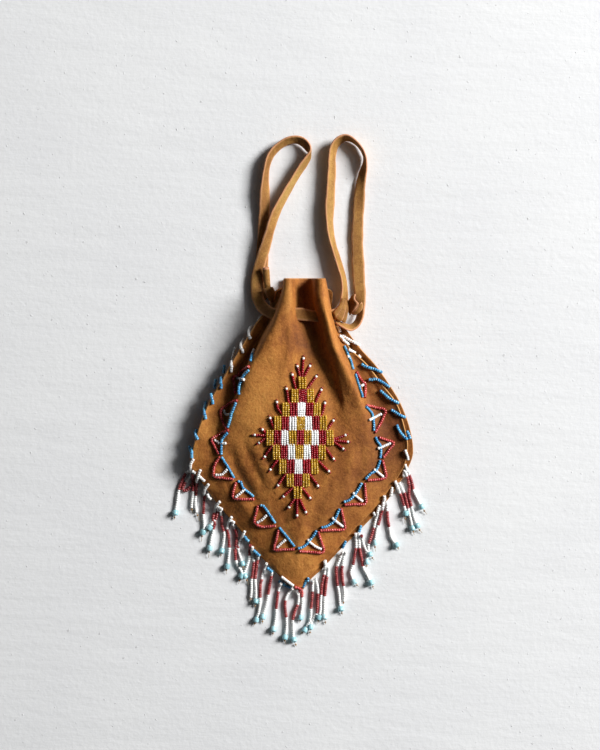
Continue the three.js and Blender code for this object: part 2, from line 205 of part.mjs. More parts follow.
// Rays standing out from the lozenge, from root to tip.
const RAYS = [
  [[1.18, 63.81], [2.28, 78.93]],
  [[-0.3, 63.81], [-2.58, 72.8]],
  [[2.65, 64.18], [7.16, 73.04]],
  [[-3.39, 54.6], [-6.26, 66.61]],
  [[4.27, 54.59], [12.27, 65.06]],
  [[-8.47, 44.29], [-10.31, 56.37]],
  [[10.47, 44.25], [15.59, 55.16]],
  [[-12.38, 35.58], [-16.5, 41.34], [-17.31, 46.5]],
  [[14.24, 33.18], [16.83, 39.08], [18.24, 45.49]],
  [[-18.95, 25.1], [-22.48, 34.84]],
  [[19.63, 25.05], [24.88, 32.49]],
  [[-23.75, 21.4], [-28.47, 25.97]],
  [[-23.75, 20.96], [-34.24, 21.52]],
  [[-23.75, 20.36], [-31.0, 15.31]],
  [[23.92, 18.1], [34.05, 21.48]],
  [[23.92, 17.65], [35.91, 16.22]],
  [[23.92, 17.21], [32.36, 10.67]],
  [[-19.33, 15.13], [-26.95, 4.67]],
  [[-15.65, 4.4], [-22.68, -4.74]],
  [[-9.75, -6.13], [-16.94, -16.44]],
  [[-4.88, -16.99], [-12.88, -24.65]],
  [[17.71, 12.65], [24.9, 3.21]],
  [[12.7, 2.89], [21.51, -5.92]],
  [[6.72, -7.19], [13.54, -16.83]],
  [[1.03, -17.15], [7.62, -25.84]],
  [[-2.37, -25.13], [-2.3, -38.86]],
  [[-3.7, -25.2], [-8.67, -32.5]],
  [[-0.74, -25.21], [4.3, -36.41]],
];
// Border triangles: outlines and bar, in plan.
const TRIANGLES = [
  ['00', [['B', [[-34.34, 82.3], [-35.05, 78.9], [-36.02, 75.5]]], ['W', [[-33.33, 84.31], [-34.41, 81.3]]]]],
  ['01', [['R', [[-36.96, 71.9], [-41.13, 69.34], [-45.74, 66.1], [-49.92, 63.87], [-49.21, 58.22], [-47.0, 52.13]]], ['B', [[-37.33, 69.32], [-41.54, 64.18], [-44.24, 56.8], [-44.8, 50.92]]], ['W', [[-47.72, 63.42], [-44.26, 62.76], [-40.61, 62.19]]]]],
  ['02', [['R', [[-46.07, 46.86], [-53.62, 43.67], [-58.58, 40.63], [-58.96, 35.95], [-57.0, 30.77], [-53.83, 26.02]]], ['B', [[-46.89, 45.3], [-49.6, 38.56], [-51.86, 30.93], [-53.22, 26.77]]], ['W', [[-57.33, 39.88], [-54.3, 36.13], [-51.12, 36.62]]]]],
  ['03', [['R', [[-52.62, 25.0], [-59.51, 21.58], [-65.78, 17.92], [-63.39, 12.95], [-59.98, 7.08]]], ['B', [[-53.38, 23.0], [-57.16, 18.04], [-58.07, 13.06], [-58.1, 6.67]]], ['W', [[-63.84, 17.55], [-58.84, 15.26], [-54.59, 15.35]]]]],
  ['04', [['R', [[-59.24, 5.15], [-63.11, -1.03], [-63.71, -9.06], [-57.35, -10.57], [-49.43, -11.53]]], ['B', [[-58.11, 5.17], [-53.84, -2.2], [-49.12, -10.77]]], ['W', [[-62.8, -8.3], [-57.85, -8.02], [-54.0, -4.08]]]]],
  ['05', [['R', [[-47.87, -13.76], [-49.03, -19.04], [-49.83, -25.39], [-42.49, -26.47], [-33.83, -26.57]]], ['B', [[-46.6, -13.22], [-44.06, -14.09], [-42.45, -18.2], [-34.27, -24.7]]], ['W', [[-47.95, -25.05], [-44.71, -22.36], [-40.96, -19.23]]]]],
  ['06', [['R', [[-31.32, -31.12], [-32.69, -36.87], [-34.07, -42.95], [-29.61, -46.67], [-23.93, -46.8], [-17.97, -46.11]]], ['B', [[-29.53, -30.8], [-26.55, -31.96], [-22.41, -37.93], [-18.49, -44.23]]], ['W', [[-32.13, -43.98], [-27.86, -41.34], [-24.49, -37.96]]]]],
  ['07', [['R', [[-15.97, -49.11], [-17.55, -56.32], [-18.99, -63.93], [-11.68, -63.98], [-4.02, -63.78]]], ['B', [[-15.52, -47.37], [-9.81, -54.43], [-4.02, -61.66]]], ['W', [[-17.27, -62.61], [-14.13, -59.61], [-10.85, -56.48]]]]],
  ['08', [['B', [[-1.86, -63.02], [2.45, -61.68], [5.8, -58.53], [9.14, -54.46], [12.26, -49.88]]], ['R', [[-0.89, -65.0], [8.04, -65.82], [17.0, -65.92], [15.48, -58.25], [13.22, -50.26]]], ['W', [[5.42, -56.25], [6.39, -58.0], [11.16, -61.75], [15.49, -63.74]]]]],
  ['09', [['B', [[15.45, -47.49], [20.36, -46.04], [24.74, -42.62], [27.04, -38.04], [28.8, -33.31]]], ['R', [[14.71, -49.52], [23.66, -49.21], [32.63, -48.65], [31.83, -40.7], [30.14, -33.1]]], ['W', [[23.46, -39.8], [25.26, -41.8], [31.57, -46.78]]]]],
  ['10', [['B', [[31.99, -28.39], [36.38, -26.87], [39.8, -23.76], [42.91, -19.29], [45.57, -14.36]]], ['R', [[32.52, -30.5], [40.44, -30.09], [48.24, -29.64], [48.32, -22.07], [47.67, -14.39]]], ['W', [[38.97, -21.42], [40.7, -23.77], [46.19, -28.07]]]]],
  ['11', [['B', [[48.09, -11.24], [51.81, -7.54], [56.07, -4.76], [57.93, -1.19], [58.96, 2.53]]], ['R', [[49.6, -12.32], [56.35, -11.97], [63.43, -10.66], [62.62, -3.96], [60.92, 2.5]]], ['W', [[54.04, -4.65], [56.31, -5.66], [61.62, -10.25]]]]],
  ['12', [['B', [[55.21, 19.93], [56.65, 16.71], [59.07, 13.4], [59.54, 8.78], [59.11, 3.87]]], ['R', [[57.94, 19.51], [63.76, 17.5], [69.48, 15.14], [65.72, 9.89], [61.52, 4.21]]], ['W', [[56.97, 11.35], [59.45, 11.91], [63.3, 13.49], [67.15, 15.08]]]]],
  ['13', [['B', [[47.87, 42.01], [50.67, 39.28], [52.94, 36.14], [53.85, 30.39], [54.06, 24.47]]], ['R', [[48.3, 43.01], [55.91, 41.49], [63.39, 39.46], [61.04, 32.64], [58.2, 27.79], [54.82, 22.9]]], ['W', [[50.33, 32.24], [55.37, 34.33], [60.31, 36.79]]]]],
  ['14', [['B', [[40.06, 66.1], [43.05, 56.26], [45.33, 48.67]]], ['R', [[41.18, 68.03], [45.96, 60.82], [48.57, 58.96], [47.14, 48.6]]], ['W', [[44.23, 57.04], [47.07, 58.51]]]]],
  ['15', [['B', [[32.27, 87.29], [35.55, 80.15], [36.43, 77.84], [38.41, 69.51]]], ['W', [[34.3, 78.87], [36.44, 78.89]]]]],
];
// Whip-stitch bars of beads along the upper seams, in plan.
const STITCHES_LEFT = [
  ['W', [[-29.21, 109.5], [-31.35, 105.76]]],
  ['W', [[-34.45, 102.77], [-38.0, 99.79], [-37.71, 92.82]]],
  ['W', [[-42.2, 91.83], [-44.13, 88.64], [-43.2, 82.43]]],
  ['W', [[-48.35, 86.19], [-50.56, 77.51]]],
  ['W', [[-50.94, 76.03], [-51.72, 68.02]]],
  ['B', [[-56.49, 73.06], [-57.23, 66.84]]],
  ['B', [[-58.87, 63.87], [-58.76, 55.49]]],
  ['B', [[-63.02, 62.31], [-64.13, 55.27]]],
  ['B', [[-66.14, 51.56], [-64.93, 44.13]]],
  ['B', [[-70.59, 45.63], [-71.34, 39.69], [-70.27, 33.0]]],
  ['B', [[-77.47, 24.84], [-77.86, 21.34], [-75.59, 17.91]]],
  ['B', [[-82.91, 12.91], [-81.6, 8.43]]],
  ['B', [[-80.6, 11.42], [-80.45, 3.94]]],
  ['W', [[-79.11, 3.42], [-81.41, -1.32]]],
];
const STITCHES_RIGHT = [
  ['W', [[26.21, 102.23], [29.07, 97.62]]],
  ['W', [[27.81, 94.65], [36.66, 88.7]]],
  ['W', [[31.47, 95.41], [37.78, 91.53], [44.45, 87.58]]],
  ['W', [[36.29, 84.98], [41.47, 82.45]]],
  ['W', [[43.7, 80.88], [45.18, 78.58]]],
  ['B', [[45.52, 73.83], [50.81, 71.59], [56.08, 70.11], [60.6, 67.66]]],
  ['B', [[50.89, 61.93], [56.82, 62.68], [61.48, 60.45], [66.67, 56.74]]],
  ['B', [[59.55, 54.5], [65.25, 49.3], [73.35, 44.86]]],
  ['B', [[67.52, 39.85], [73.16, 36.68], [78.4, 34.25]]],
  ['B', [[71.68, 28.84], [74.2, 23.57], [79.56, 18.26]]],
  ['B', [[79.53, 24.36], [82.31, 18.26]]],
  ['W', [[78.53, 10.25], [80.52, 2.62]]],
  ['W', [[78.24, -0.61], [79.08, -3.23]]],
];
// Fringe strands: x, y, z and radius at each station, from the seam down.
const STRANDS = [
  { k: 1, p: [[-82.12, -5.23, 4.2, 1.0], [-86.44, -9.18, 1.2, 1.0], [-89.36, -15.66, 1.2, 1.0], [-91.24, -22.49, 1.2, 1.0], [-92.32, -29.52, 1.2, 1.0], [-93.32, -36.56, 1.2, 1.0], [-93.36, -37.66, 1.98, 1.95], [-93.81, -40.0, 1.98, 1.95], [-94.09, -41.0, 1.21, 0.6], [-94.64, -42.85, 0.74, 0.5]] },
  { k: 2, p: [[-81.58, -8.77, 4.2, 1.0], [-85.3, -14.1, 1.2, 1.0], [-87.32, -20.74, 1.2, 1.0], [-82.16, -16.41, 0.74, 0.6]] },
  { k: 3, p: [[-80.08, -8.12, 6.85, 1.0], [-80.31, -13.76, 1.41, 1.0], [-80.47, -21.67, 1.2, 1.0], [-81.15, -29.58, 1.2, 1.0], [-80.85, -37.38, 0.74, 0.6]] },
  { k: 4, p: [[-73.94, -4.58, 11.65, 1.0], [-76.34, -11.05, 9.16, 1.0], [-77.38, -15.56, 3.37, 1.0], [-78.0, -22.09, 1.2, 1.0], [-78.61, -29.48, 1.2, 1.0], [-77.72, -36.83, 1.2, 1.0], [-75.31, -43.75, 0.74, 0.6]] },
  { k: 5, p: [[-67.95, -15.55, 10.09, 1.0], [-71.38, -20.26, 6.37, 1.0], [-71.9, -25.07, 1.35, 1.0], [-72.27, -32.14, 1.2, 1.0], [-72.57, -39.24, 1.2, 1.0], [-72.05, -46.31, 1.2, 1.0], [-73.13, -53.32, 1.21, 1.0], [-73.38, -54.33, 1.98, 1.95], [-73.8, -56.66, 1.98, 1.95], [-73.85, -57.76, 1.2, 0.6], [-73.88, -59.11, 0.74, 0.5]] },
  { k: 6, p: [[-61.01, -33.65, 4.2, 1.0], [-62.09, -38.29, 1.2, 1.0], [-64.41, -43.63, 1.2, 1.0], [-67.66, -48.48, 1.2, 1.0], [-68.3, -49.38, 1.98, 1.95], [-69.22, -51.51, 1.98, 1.95], [-69.51, -52.46, 0.97, 0.6], [-69.76, -53.38, 0.65, 0.5]] },
  { k: 7, p: [[-59.68, -28.52, 8.82, 1.0], [-63.08, -32.75, 4.32, 1.0], [-64.64, -38.44, 1.2, 1.0], [-63.86, -45.05, 1.2, 1.0], [-65.37, -52.09, 1.2, 1.0], [-66.88, -59.15, 1.2, 1.0], [-68.08, -66.31, 1.2, 1.0], [-68.26, -67.39, 1.98, 1.95], [-68.59, -69.73, 1.98, 1.95], [-68.71, -70.72, 0.97, 0.6], [-68.82, -71.66, 0.65, 0.5]] },
  { k: 8, p: [[-59.71, -35.7, 4.2, 1.0], [-58.83, -42.11, 1.2, 1.0], [-57.99, -49.74, 1.2, 1.0], [-57.16, -57.28, 1.2, 1.0], [-58.47, -64.88, 1.21, 1.0], [-58.7, -65.93, 1.98, 1.95], [-59.22, -68.24, 1.98, 1.95], [-59.46, -69.3, 1.21, 0.6], [-59.8, -70.8, 0.74, 0.5]] },
  { k: 9, p: [[-50.99, -39.99, 8.07, 1.0], [-53.67, -44.62, 3.66, 1.0], [-54.7, -50.58, 1.2, 1.0], [-53.47, -57.53, 1.2, 1.0], [-53.2, -64.62, 1.2, 1.0], [-53.77, -71.69, 1.2, 1.0], [-54.86, -78.69, 1.2, 1.0], [-55.14, -79.75, 1.98, 1.95], [-55.39, -82.1, 1.98, 1.95], [-55.39, -83.1, 0.94, 0.6], [-55.37, -84.05, 0.62, 0.5]] },
  { k: 10, p: [[-50.65, -45.62, 4.2, 1.0], [-48.1, -51.96, 1.2, 1.0], [-48.06, -60.02, 1.2, 1.0], [-46.04, -67.3, 1.2, 1.0], [-43.52, -74.99, 1.2, 1.0], [-43.27, -76.06, 1.98, 1.95], [-42.88, -78.34, 1.98, 1.95], [-42.73, -79.31, 0.96, 0.6], [-42.58, -80.23, 0.59, 0.5]] },
  { k: 11, p: [[-41.24, -50.75, 8.03, 1.0], [-43.74, -55.51, 3.59, 1.0], [-45.92, -61.27, 1.2, 1.0], [-48.6, -67.29, 1.2, 1.0], [-47.97, -74.36, 1.2, 1.0], [-44.47, -80.49, 1.2, 1.0], [-40.65, -86.33, 1.21, 1.0], [-40.19, -87.31, 1.98, 1.95], [-39.25, -89.5, 1.98, 1.95], [-38.98, -90.53, 1.21, 0.6], [-38.4, -92.0, 0.74, 0.5]] },
  { k: 12, p: [[-37.34, -61.25, 6.26, 1.0], [-37.75, -65.94, 1.37, 1.0], [-38.34, -72.78, 1.2, 1.0], [-40.52, -79.32, 1.2, 1.0], [-44.0, -85.09, 1.2, 1.0], [-44.52, -86.06, 1.98, 1.95], [-45.42, -88.25, 1.98, 1.95], [-45.74, -89.24, 1.21, 0.6], [-46.31, -91.11, 0.74, 0.5]] },
  { k: 13, p: [[-35.35, -62.49, 6.81, 1.0], [-35.69, -67.71, 1.64, 1.0], [-34.75, -75.06, 1.2, 1.0], [-35.68, -82.51, 1.2, 1.0], [-36.62, -89.94, 1.2, 1.0], [-36.7, -97.44, 1.2, 1.0], [-37.62, -104.82, 0.74, 0.6]] },
  { k: 14, p: [[-31.47, -69.83, 4.2, 1.0], [-32.24, -75.37, 1.2, 1.0], [-33.2, -82.17, 1.2, 1.0], [-33.73, -88.96, 1.2, 1.0], [-33.21, -95.81, 1.2, 1.0], [-33.3, -102.67, 1.2, 1.0], [-33.35, -103.77, 1.98, 1.95], [-33.65, -106.11, 1.98, 1.95], [-33.83, -107.14, 1.21, 0.6], [-34.17, -108.94, 0.74, 0.5]] },
  { k: 15, p: [[-25.03, -75.0, 6.04, 1.0], [-27.05, -80.04, 1.2, 1.0], [-28.9, -87.34, 1.2, 1.0], [-30.01, -94.74, 1.2, 1.0], [-30.1, -102.3, 1.2, 1.0], [-30.8, -109.79, 1.2, 1.0], [-32.51, -117.14, 1.21, 1.0], [-32.91, -118.12, 1.98, 1.95], [-33.86, -120.31, 1.98, 1.95], [-34.29, -121.3, 1.21, 0.6], [-34.92, -122.73, 0.74, 0.5]] },
  { k: 16, p: [[-21.28, -81.96, 4.2, 1.0], [-22.03, -87.55, 1.2, 1.0], [-23.32, -94.32, 1.2, 1.0], [-24.25, -101.14, 1.2, 1.0], [-25.88, -107.83, 1.2, 1.0], [-27.65, -114.49, 1.2, 1.0], [-27.9, -115.56, 1.98, 1.95], [-28.2, -117.9, 1.98, 1.95], [-28.25, -118.94, 1.21, 0.6], [-28.32, -120.78, 0.74, 0.5]] },
  { k: 17, p: [[-14.31, -90.28, 4.2, 1.0], [-16.2, -95.75, 1.2, 1.0], [-17.35, -102.7, 1.2, 1.0], [-17.94, -109.72, 1.2, 1.0], [-18.47, -116.73, 1.2, 1.0], [-19.61, -123.68, 1.21, 1.0], [-19.84, -124.73, 1.98, 1.95], [-20.27, -127.08, 1.98, 1.95], [-20.44, -128.13, 1.21, 0.6], [-20.68, -129.77, 0.74, 0.5]] },
  { k: 18, p: [[-5.47, -93.8, 5.5, 1.0], [-9.31, -98.49, 1.2, 1.0], [-11.48, -106.13, 1.2, 1.0], [-10.73, -114.09, 1.2, 1.0], [-10.27, -122.06, 1.2, 1.0], [-11.26, -129.98, 1.22, 1.0], [-11.44, -131.01, 1.98, 1.95], [-11.53, -133.34, 1.98, 1.95], [-11.28, -134.41, 1.19, 0.6], [-10.94, -135.62, 0.74, 0.5]] },
  { k: 19, p: [[-1.56, -97.86, 4.2, 1.0], [-1.33, -103.66, 1.2, 1.0], [-3.56, -110.32, 1.2, 1.0], [-5.5, -117.08, 1.2, 1.0], [-5.4, -124.13, 1.2, 1.0], [-5.1, -131.18, 1.21, 1.0], [-4.94, -132.21, 1.98, 1.95], [-4.26, -134.47, 1.98, 1.95], [-3.78, -135.46, 1.2, 0.6], [-2.55, -137.79, 0.74, 0.5]] },
  { k: 20, p: [[-0.69, -95.59, 4.2, 1.0], [1.42, -101.0, 1.2, 1.0], [1.33, -108.03, 1.2, 1.0], [0.41, -115.05, 1.2, 1.0], [0.24, -116.13, 1.98, 1.95], [-0.16, -118.47, 1.98, 1.95], [-0.34, -119.46, 0.94, 0.6], [-0.52, -120.39, 0.61, 0.5]] },
  { k: 21, p: [[9.33, -87.81, 4.2, 1.0], [9.27, -93.82, 1.2, 1.0], [8.84, -101.06, 1.2, 1.0], [8.11, -108.28, 1.2, 1.0], [7.83, -115.53, 1.2, 1.0], [7.97, -122.34, 1.2, 1.0], [7.75, -123.35, 1.98, 1.95], [7.52, -125.67, 1.98, 1.95], [7.42, -126.77, 1.2, 0.6], [7.19, -129.4, 0.74, 0.5]] },
  { k: 22, p: [[11.2, -86.31, 4.2, 1.0], [12.78, -91.96, 1.2, 1.0], [13.29, -99.05, 1.2, 1.0], [12.91, -106.17, 1.2, 1.0], [12.19, -113.23, 1.2, 1.0], [8.54, -119.15, 1.2, 1.0], [4.1, -124.27, 1.21, 1.0], [3.5, -125.16, 1.98, 1.95], [1.96, -126.95, 1.98, 1.95], [1.14, -127.67, 1.21, 0.6], [-0.0, -128.65, 0.74, 0.5]] },
  { k: 23, p: [[18.06, -73.35, 6.85, 1.0], [18.48, -79.27, 2.82, 1.0], [17.4, -86.11, 1.2, 1.0], [16.01, -93.54, 1.2, 1.0], [15.51, -101.1, 1.2, 1.0], [15.23, -108.68, 1.2, 1.0], [13.78, -116.09, 1.21, 1.0], [13.62, -117.15, 1.98, 1.95], [13.35, -119.5, 1.98, 1.95], [13.24, -120.51, 0.89, 0.6], [13.13, -121.45, 0.56, 0.5]] },
  { k: 24, p: [[20.65, -77.94, 4.2, 1.0], [20.7, -84.24, 1.2, 1.0], [19.27, -91.61, 1.2, 1.0], [18.41, -99.1, 1.2, 1.0], [18.15, -106.63, 1.2, 1.0], [18.1, -114.17, 1.21, 1.0], [18.16, -115.2, 1.98, 1.95], [18.42, -117.55, 1.98, 1.95], [18.59, -118.63, 1.2, 0.6], [19.03, -121.15, 0.74, 0.5]] },
  { k: 25, p: [[31.69, -66.38, 4.2, 1.0], [29.75, -72.18, 1.2, 1.0], [27.01, -79.0, 1.2, 1.0], [27.2, -86.33, 1.2, 1.0], [28.32, -93.6, 1.2, 1.0], [29.32, -100.89, 1.2, 1.0], [30.18, -108.2, 1.21, 1.0], [30.38, -109.25, 1.98, 1.95], [30.91, -111.58, 1.98, 1.95], [31.17, -112.62, 1.21, 0.6], [31.55, -114.19, 0.74, 0.5]] },
  { k: 26, p: [[34.1, -66.38, 4.2, 1.0], [32.6, -71.86, 1.2, 1.0], [31.37, -78.68, 1.2, 1.0], [31.49, -85.58, 1.2, 1.0], [32.39, -92.45, 1.2, 1.0], [33.05, -99.3, 1.2, 1.0], [32.22, -106.09, 0.74, 0.6]] },
  { k: 27, p: [[41.15, -52.5, 4.2, 1.0], [41.88, -58.81, 1.2, 1.0], [41.22, -66.25, 1.2, 1.0], [40.11, -73.69, 1.2, 1.0], [38.09, -80.93, 1.2, 1.0], [39.81, -88.07, 1.21, 1.0], [40.32, -89.02, 1.98, 1.95], [41.75, -90.92, 1.98, 1.95], [42.48, -91.69, 1.21, 0.6], [43.68, -92.9, 0.74, 0.5]] },
  { k: 28, p: [[43.56, -52.66, 4.2, 1.0], [44.3, -59.23, 1.2, 1.0], [44.91, -67.02, 1.2, 1.0], [46.54, -74.69, 1.2, 1.0], [49.03, -82.0, 1.2, 1.0], [52.57, -88.99, 1.21, 1.0], [53.15, -89.9, 1.98, 1.95], [54.13, -92.06, 1.98, 1.95], [54.45, -93.08, 1.21, 0.6], [54.92, -94.7, 0.74, 0.5]] },
  { k: 29, p: [[45.86, -54.24, 4.2, 1.0], [46.68, -58.61, 1.2, 1.0], [48.5, -64.0, 1.2, 1.0], [51.86, -68.16, 1.2, 1.0], [52.29, -69.17, 1.98, 1.95], [53.75, -71.02, 1.98, 1.95], [54.4, -71.86, 1.21, 0.6], [55.45, -73.2, 0.74, 0.5]] },
  { k: 30, p: [[59.46, -31.67, 4.39, 1.0], [57.63, -38.48, 3.44, 1.0], [56.1, -44.91, 1.2, 1.0], [54.11, -52.13, 1.2, 1.0], [51.9, -59.29, 1.2, 1.0], [50.31, -66.37, 1.2, 1.0], [49.91, -73.6, 1.21, 1.0], [50.0, -74.65, 1.98, 1.95], [49.8, -76.99, 1.98, 1.95], [49.57, -78.06, 1.2, 0.6], [49.33, -79.19, 0.74, 0.5]] },
  { k: 31, p: [[62.55, -24.19, 8.17, 1.0], [61.99, -30.74, 4.49, 1.0], [61.06, -37.31, 1.24, 1.0], [59.0, -45.0, 1.2, 1.0], [56.98, -52.7, 1.2, 1.0], [55.94, -60.6, 1.21, 1.0], [55.9, -61.66, 1.98, 1.95], [56.05, -64.03, 1.98, 1.95], [56.23, -65.1, 1.21, 0.6], [56.5, -66.6, 0.74, 0.5]] },
  { k: 32, p: [[64.59, -29.16, 4.56, 1.0], [65.25, -34.64, 1.2, 1.0], [65.5, -41.59, 1.2, 1.0], [66.63, -48.45, 1.2, 1.0], [67.9, -55.28, 1.2, 1.0], [71.64, -61.1, 1.2, 1.0], [72.27, -62.0, 1.98, 1.95], [73.4, -64.06, 1.98, 1.95], [73.81, -64.98, 0.93, 0.6], [74.19, -65.84, 0.6, 0.5]] },
  { k: 33, p: [[70.32, -13.23, 8.77, 1.0], [73.01, -18.89, 4.93, 1.0], [75.42, -24.5, 1.2, 1.0], [77.62, -31.91, 1.2, 1.0], [78.9, -39.45, 1.2, 1.0], [78.78, -40.54, 1.98, 1.95], [78.6, -42.9, 1.98, 1.95], [78.54, -43.95, 1.21, 0.6], [78.45, -45.85, 0.74, 0.5]] },
  { k: 34, p: [[78.0, -5.92, 7.63, 1.0], [80.19, -11.28, 3.33, 1.0], [81.67, -17.94, 1.2, 1.0], [81.6, -25.6, 1.2, 1.0], [83.32, -33.07, 1.2, 1.0], [85.16, -40.53, 1.2, 1.0], [87.82, -47.72, 1.2, 1.0], [88.22, -48.74, 1.98, 1.95], [89.57, -50.68, 1.98, 1.95], [90.29, -51.46, 1.21, 0.6], [91.57, -52.74, 0.74, 0.5]] },
  { k: 35, p: [[73.73, -14.53, 6.03, 1.0], [76.25, -19.43, 1.4, 1.0], [79.05, -26.4, 1.2, 1.0], [80.76, -33.77, 1.2, 1.0], [82.34, -41.17, 1.2, 1.0], [84.03, -48.55, 1.21, 1.0], [84.25, -49.57, 1.98, 1.95], [84.83, -51.86, 1.98, 1.95], [85.13, -52.92, 1.2, 0.6], [85.5, -54.24, 0.74, 0.5]] },
  { k: 36, p: [[80.41, -5.77, 7.72, 1.0], [82.3, -10.75, 1.5, 1.0], [84.49, -18.64, 1.2, 1.0], [87.45, -26.29, 1.2, 1.0], [91.34, -33.54, 1.2, 1.0], [91.84, -34.52, 1.98, 1.95], [93.17, -36.48, 1.98, 1.95], [93.81, -37.3, 1.21, 0.6], [95.01, -38.8, 0.74, 0.5]] },
];
// Strands that hang from one stitch share a thread and are one piece.
const PAIRS = [[21, 22], [23, 24], [25, 26], [27, 28]];

// ------------------------------------------------------------------- helpers
const sub = (a, b) => [a[0] - b[0], a[1] - b[1], a[2] - b[2]];
const add = (a, b) => [a[0] + b[0], a[1] + b[1], a[2] + b[2]];
const mul = (a, k) => [a[0] * k, a[1] * k, a[2] * k];
const cross = (a, b) => [a[1] * b[2] - a[2] * b[1], a[2] * b[0] - a[0] * b[2], a[0] * b[1] - a[1] * b[0]];
const len = (a) => Math.hypot(...a);
const unit = (a) => mul(a, 1 / Math.max(len(a), 1e-9));

// Catmull-Rom through an array of equal-length number arrays.
function spline(points, s) {
  const n = points.length;
  const i = Math.min(Math.floor(s), n - 2), t = s - i;
  const p1 = points[i], p2 = points[i + 1];
  const p0 = i > 0 ? points[i - 1] : p1.map((v, k) => 2 * v - p2[k]);
  const p3 = i + 2 < n ? points[i + 2] : p2.map((v, k) => 2 * v - p1[k]);
  return p1.map((_, k) => 0.5 * (2 * p1[k] + (p2[k] - p0[k]) * t
    + (2 * p0[k] - 5 * p1[k] + 4 * p2[k] - p3[k]) * t * t
    + (3 * p1[k] - p0[k] - 3 * p2[k] + p3[k]) * t * t * t));
}

// Net of points over a control table.
function net(control, [nu, nv]) {
  const rows = [];
  for (let j = 0; j <= nv; j++) {
    const v = (control.length - 1) * j / nv;
    const line = control[0].map((_, c) => spline(control.map((r) => r[c]), v));
    const row = [];
    for (let i = 0; i <= nu; i++) row.push(spline(line, (line.length - 1) * i / nu));
    rows.push(row);
  }
  return rows;
}

function netNormals(rows) {
  const nv = rows.length - 1, nu = rows[0].length - 1;
  return rows.map((row, j) => row.map((_, i) => {
    const du = sub(rows[j][Math.min(i + 1, nu)], rows[j][Math.max(i - 1, 0)]);
    const dv = sub(rows[Math.max(j - 1, 0)][i], rows[Math.min(j + 1, nv)][i]);
    return unit(cross(du, dv));
  }));
}

// Closed body from a list of polygons (index triples) over vertices.
function solid(vertices, triangles) {
  const geometry = new THREE.BufferGeometry();
  geometry.setAttribute('position', new THREE.Float32BufferAttribute(vertices.flat(), 3));
  geometry.setIndex(triangles.flat());
  return geometry;
}

// A sheet of leather between two nets; upper above, lower below.
function shell(upper, lower) {
  const nv = upper.length - 1, nu = upper[0].length - 1, w = nu + 1;
  const vertices = [...upper.flat(), ...lower.flat()], base = w * (nv + 1);
  const id = (j, i) => j * w + i, tri = [];
  for (let j = 0; j < nv; j++) for (let i = 0; i < nu; i++) {
    const a = id(j, i), b = id(j, i + 1), c = id(j + 1, i + 1), d = id(j + 1, i);
    tri.push([a, d, c], [a, c, b]);
    tri.push([base + a, base + c, base + d], [base + a, base + b, base + c]);
  }
  const rim = [];
  for (let i = 0; i < nu; i++) rim.push([id(0, i), id(0, i + 1)]);
  for (let j = 0; j < nv; j++) rim.push([id(j, nu), id(j + 1, nu)]);
  for (let i = nu; i > 0; i--) rim.push([id(nv, i), id(nv, i - 1)]);
  for (let j = nv; j > 0; j--) rim.push([id(j, 0), id(j - 1, 0)]);
  for (const [p, q] of rim) tri.push([p, q, base + q], [p, base + q, base + p]);
  return solid(vertices, tri);
}

// Loft of closed sections (equal point counts), ends capped by a fan.
function loft(sections) {
  const m = sections[0].length, vertices = sections.flat(), tri = [];
  for (let s = 0; s < sections.length - 1; s++) for (let k = 0; k < m; k++) {
    const a = s * m + k, b = s * m + (k + 1) % m, c = b + m, d = a + m;
    tri.push([a, b, c], [a, c, d]);
  }
  const last = (sections.length - 1) * m;
  for (let k = 1; k < m - 1; k++) {
    tri.push([0, k + 1, k]);
    tri.push([last, last + k, last + k + 1]);
  }
  return solid(vertices, tri);
}

function volume(geometry) {
  const p = geometry.attributes.position, ix = geometry.index;
  let v = 0;
  for (let t = 0; t < ix.count; t += 3) {
    const [a, b, c] = [0, 1, 2].map((k) => { const i = ix.getX(t + k); return [p.getX(i), p.getY(i), p.getZ(i)]; });
    v += a[0] * (b[1] * c[2] - b[2] * c[1]) - a[1] * (b[0] * c[2] - b[2] * c[0]) + a[2] * (b[0] * c[1] - b[1] * c[0]);
  }
  return v / 6;
}

// Turns a geometry right side out.
function outward(geometry) {
  if (volume(geometry) < 0) {
    const ix = geometry.index.array;
    for (let t = 0; t < ix.length; t += 3) [ix[t + 1], ix[t + 2]] = [ix[t + 2], ix[t + 1]];
  }
  return geometry;
}

function toManifold(geometry) {
  let g = outward(geometry).clone();
  g.deleteAttribute('normal'); g.deleteAttribute('uv');
  g = BufferGeometryUtils.mergeVertices(g, 1e-4);
  return new wasm.Manifold(new wasm.Mesh({
    numProp: 3,
    vertProperties: new Float32Array(g.attributes.position.array),
    triVerts: new Uint32Array(g.index.array),
  }));
}

function toGeometry(manifold) {
  const mesh = manifold.getMesh(), n = mesh.numProp;
  const position = [];
  for (let i = 0; i < mesh.vertProperties.length; i += n) {
    position.push(mesh.vertProperties[i], mesh.vertProperties[i + 1], mesh.vertProperties[i + 2]);
  }
  const geometry = new THREE.BufferGeometry();
  geometry.setAttribute('position', new THREE.Float32BufferAttribute(position, 3));
  geometry.setIndex(Array.from(mesh.triVerts));
  return geometry;
}

const join = (geometries) => toGeometry(geometries.map(toManifold).reduce((a, b) => a.add(b)));

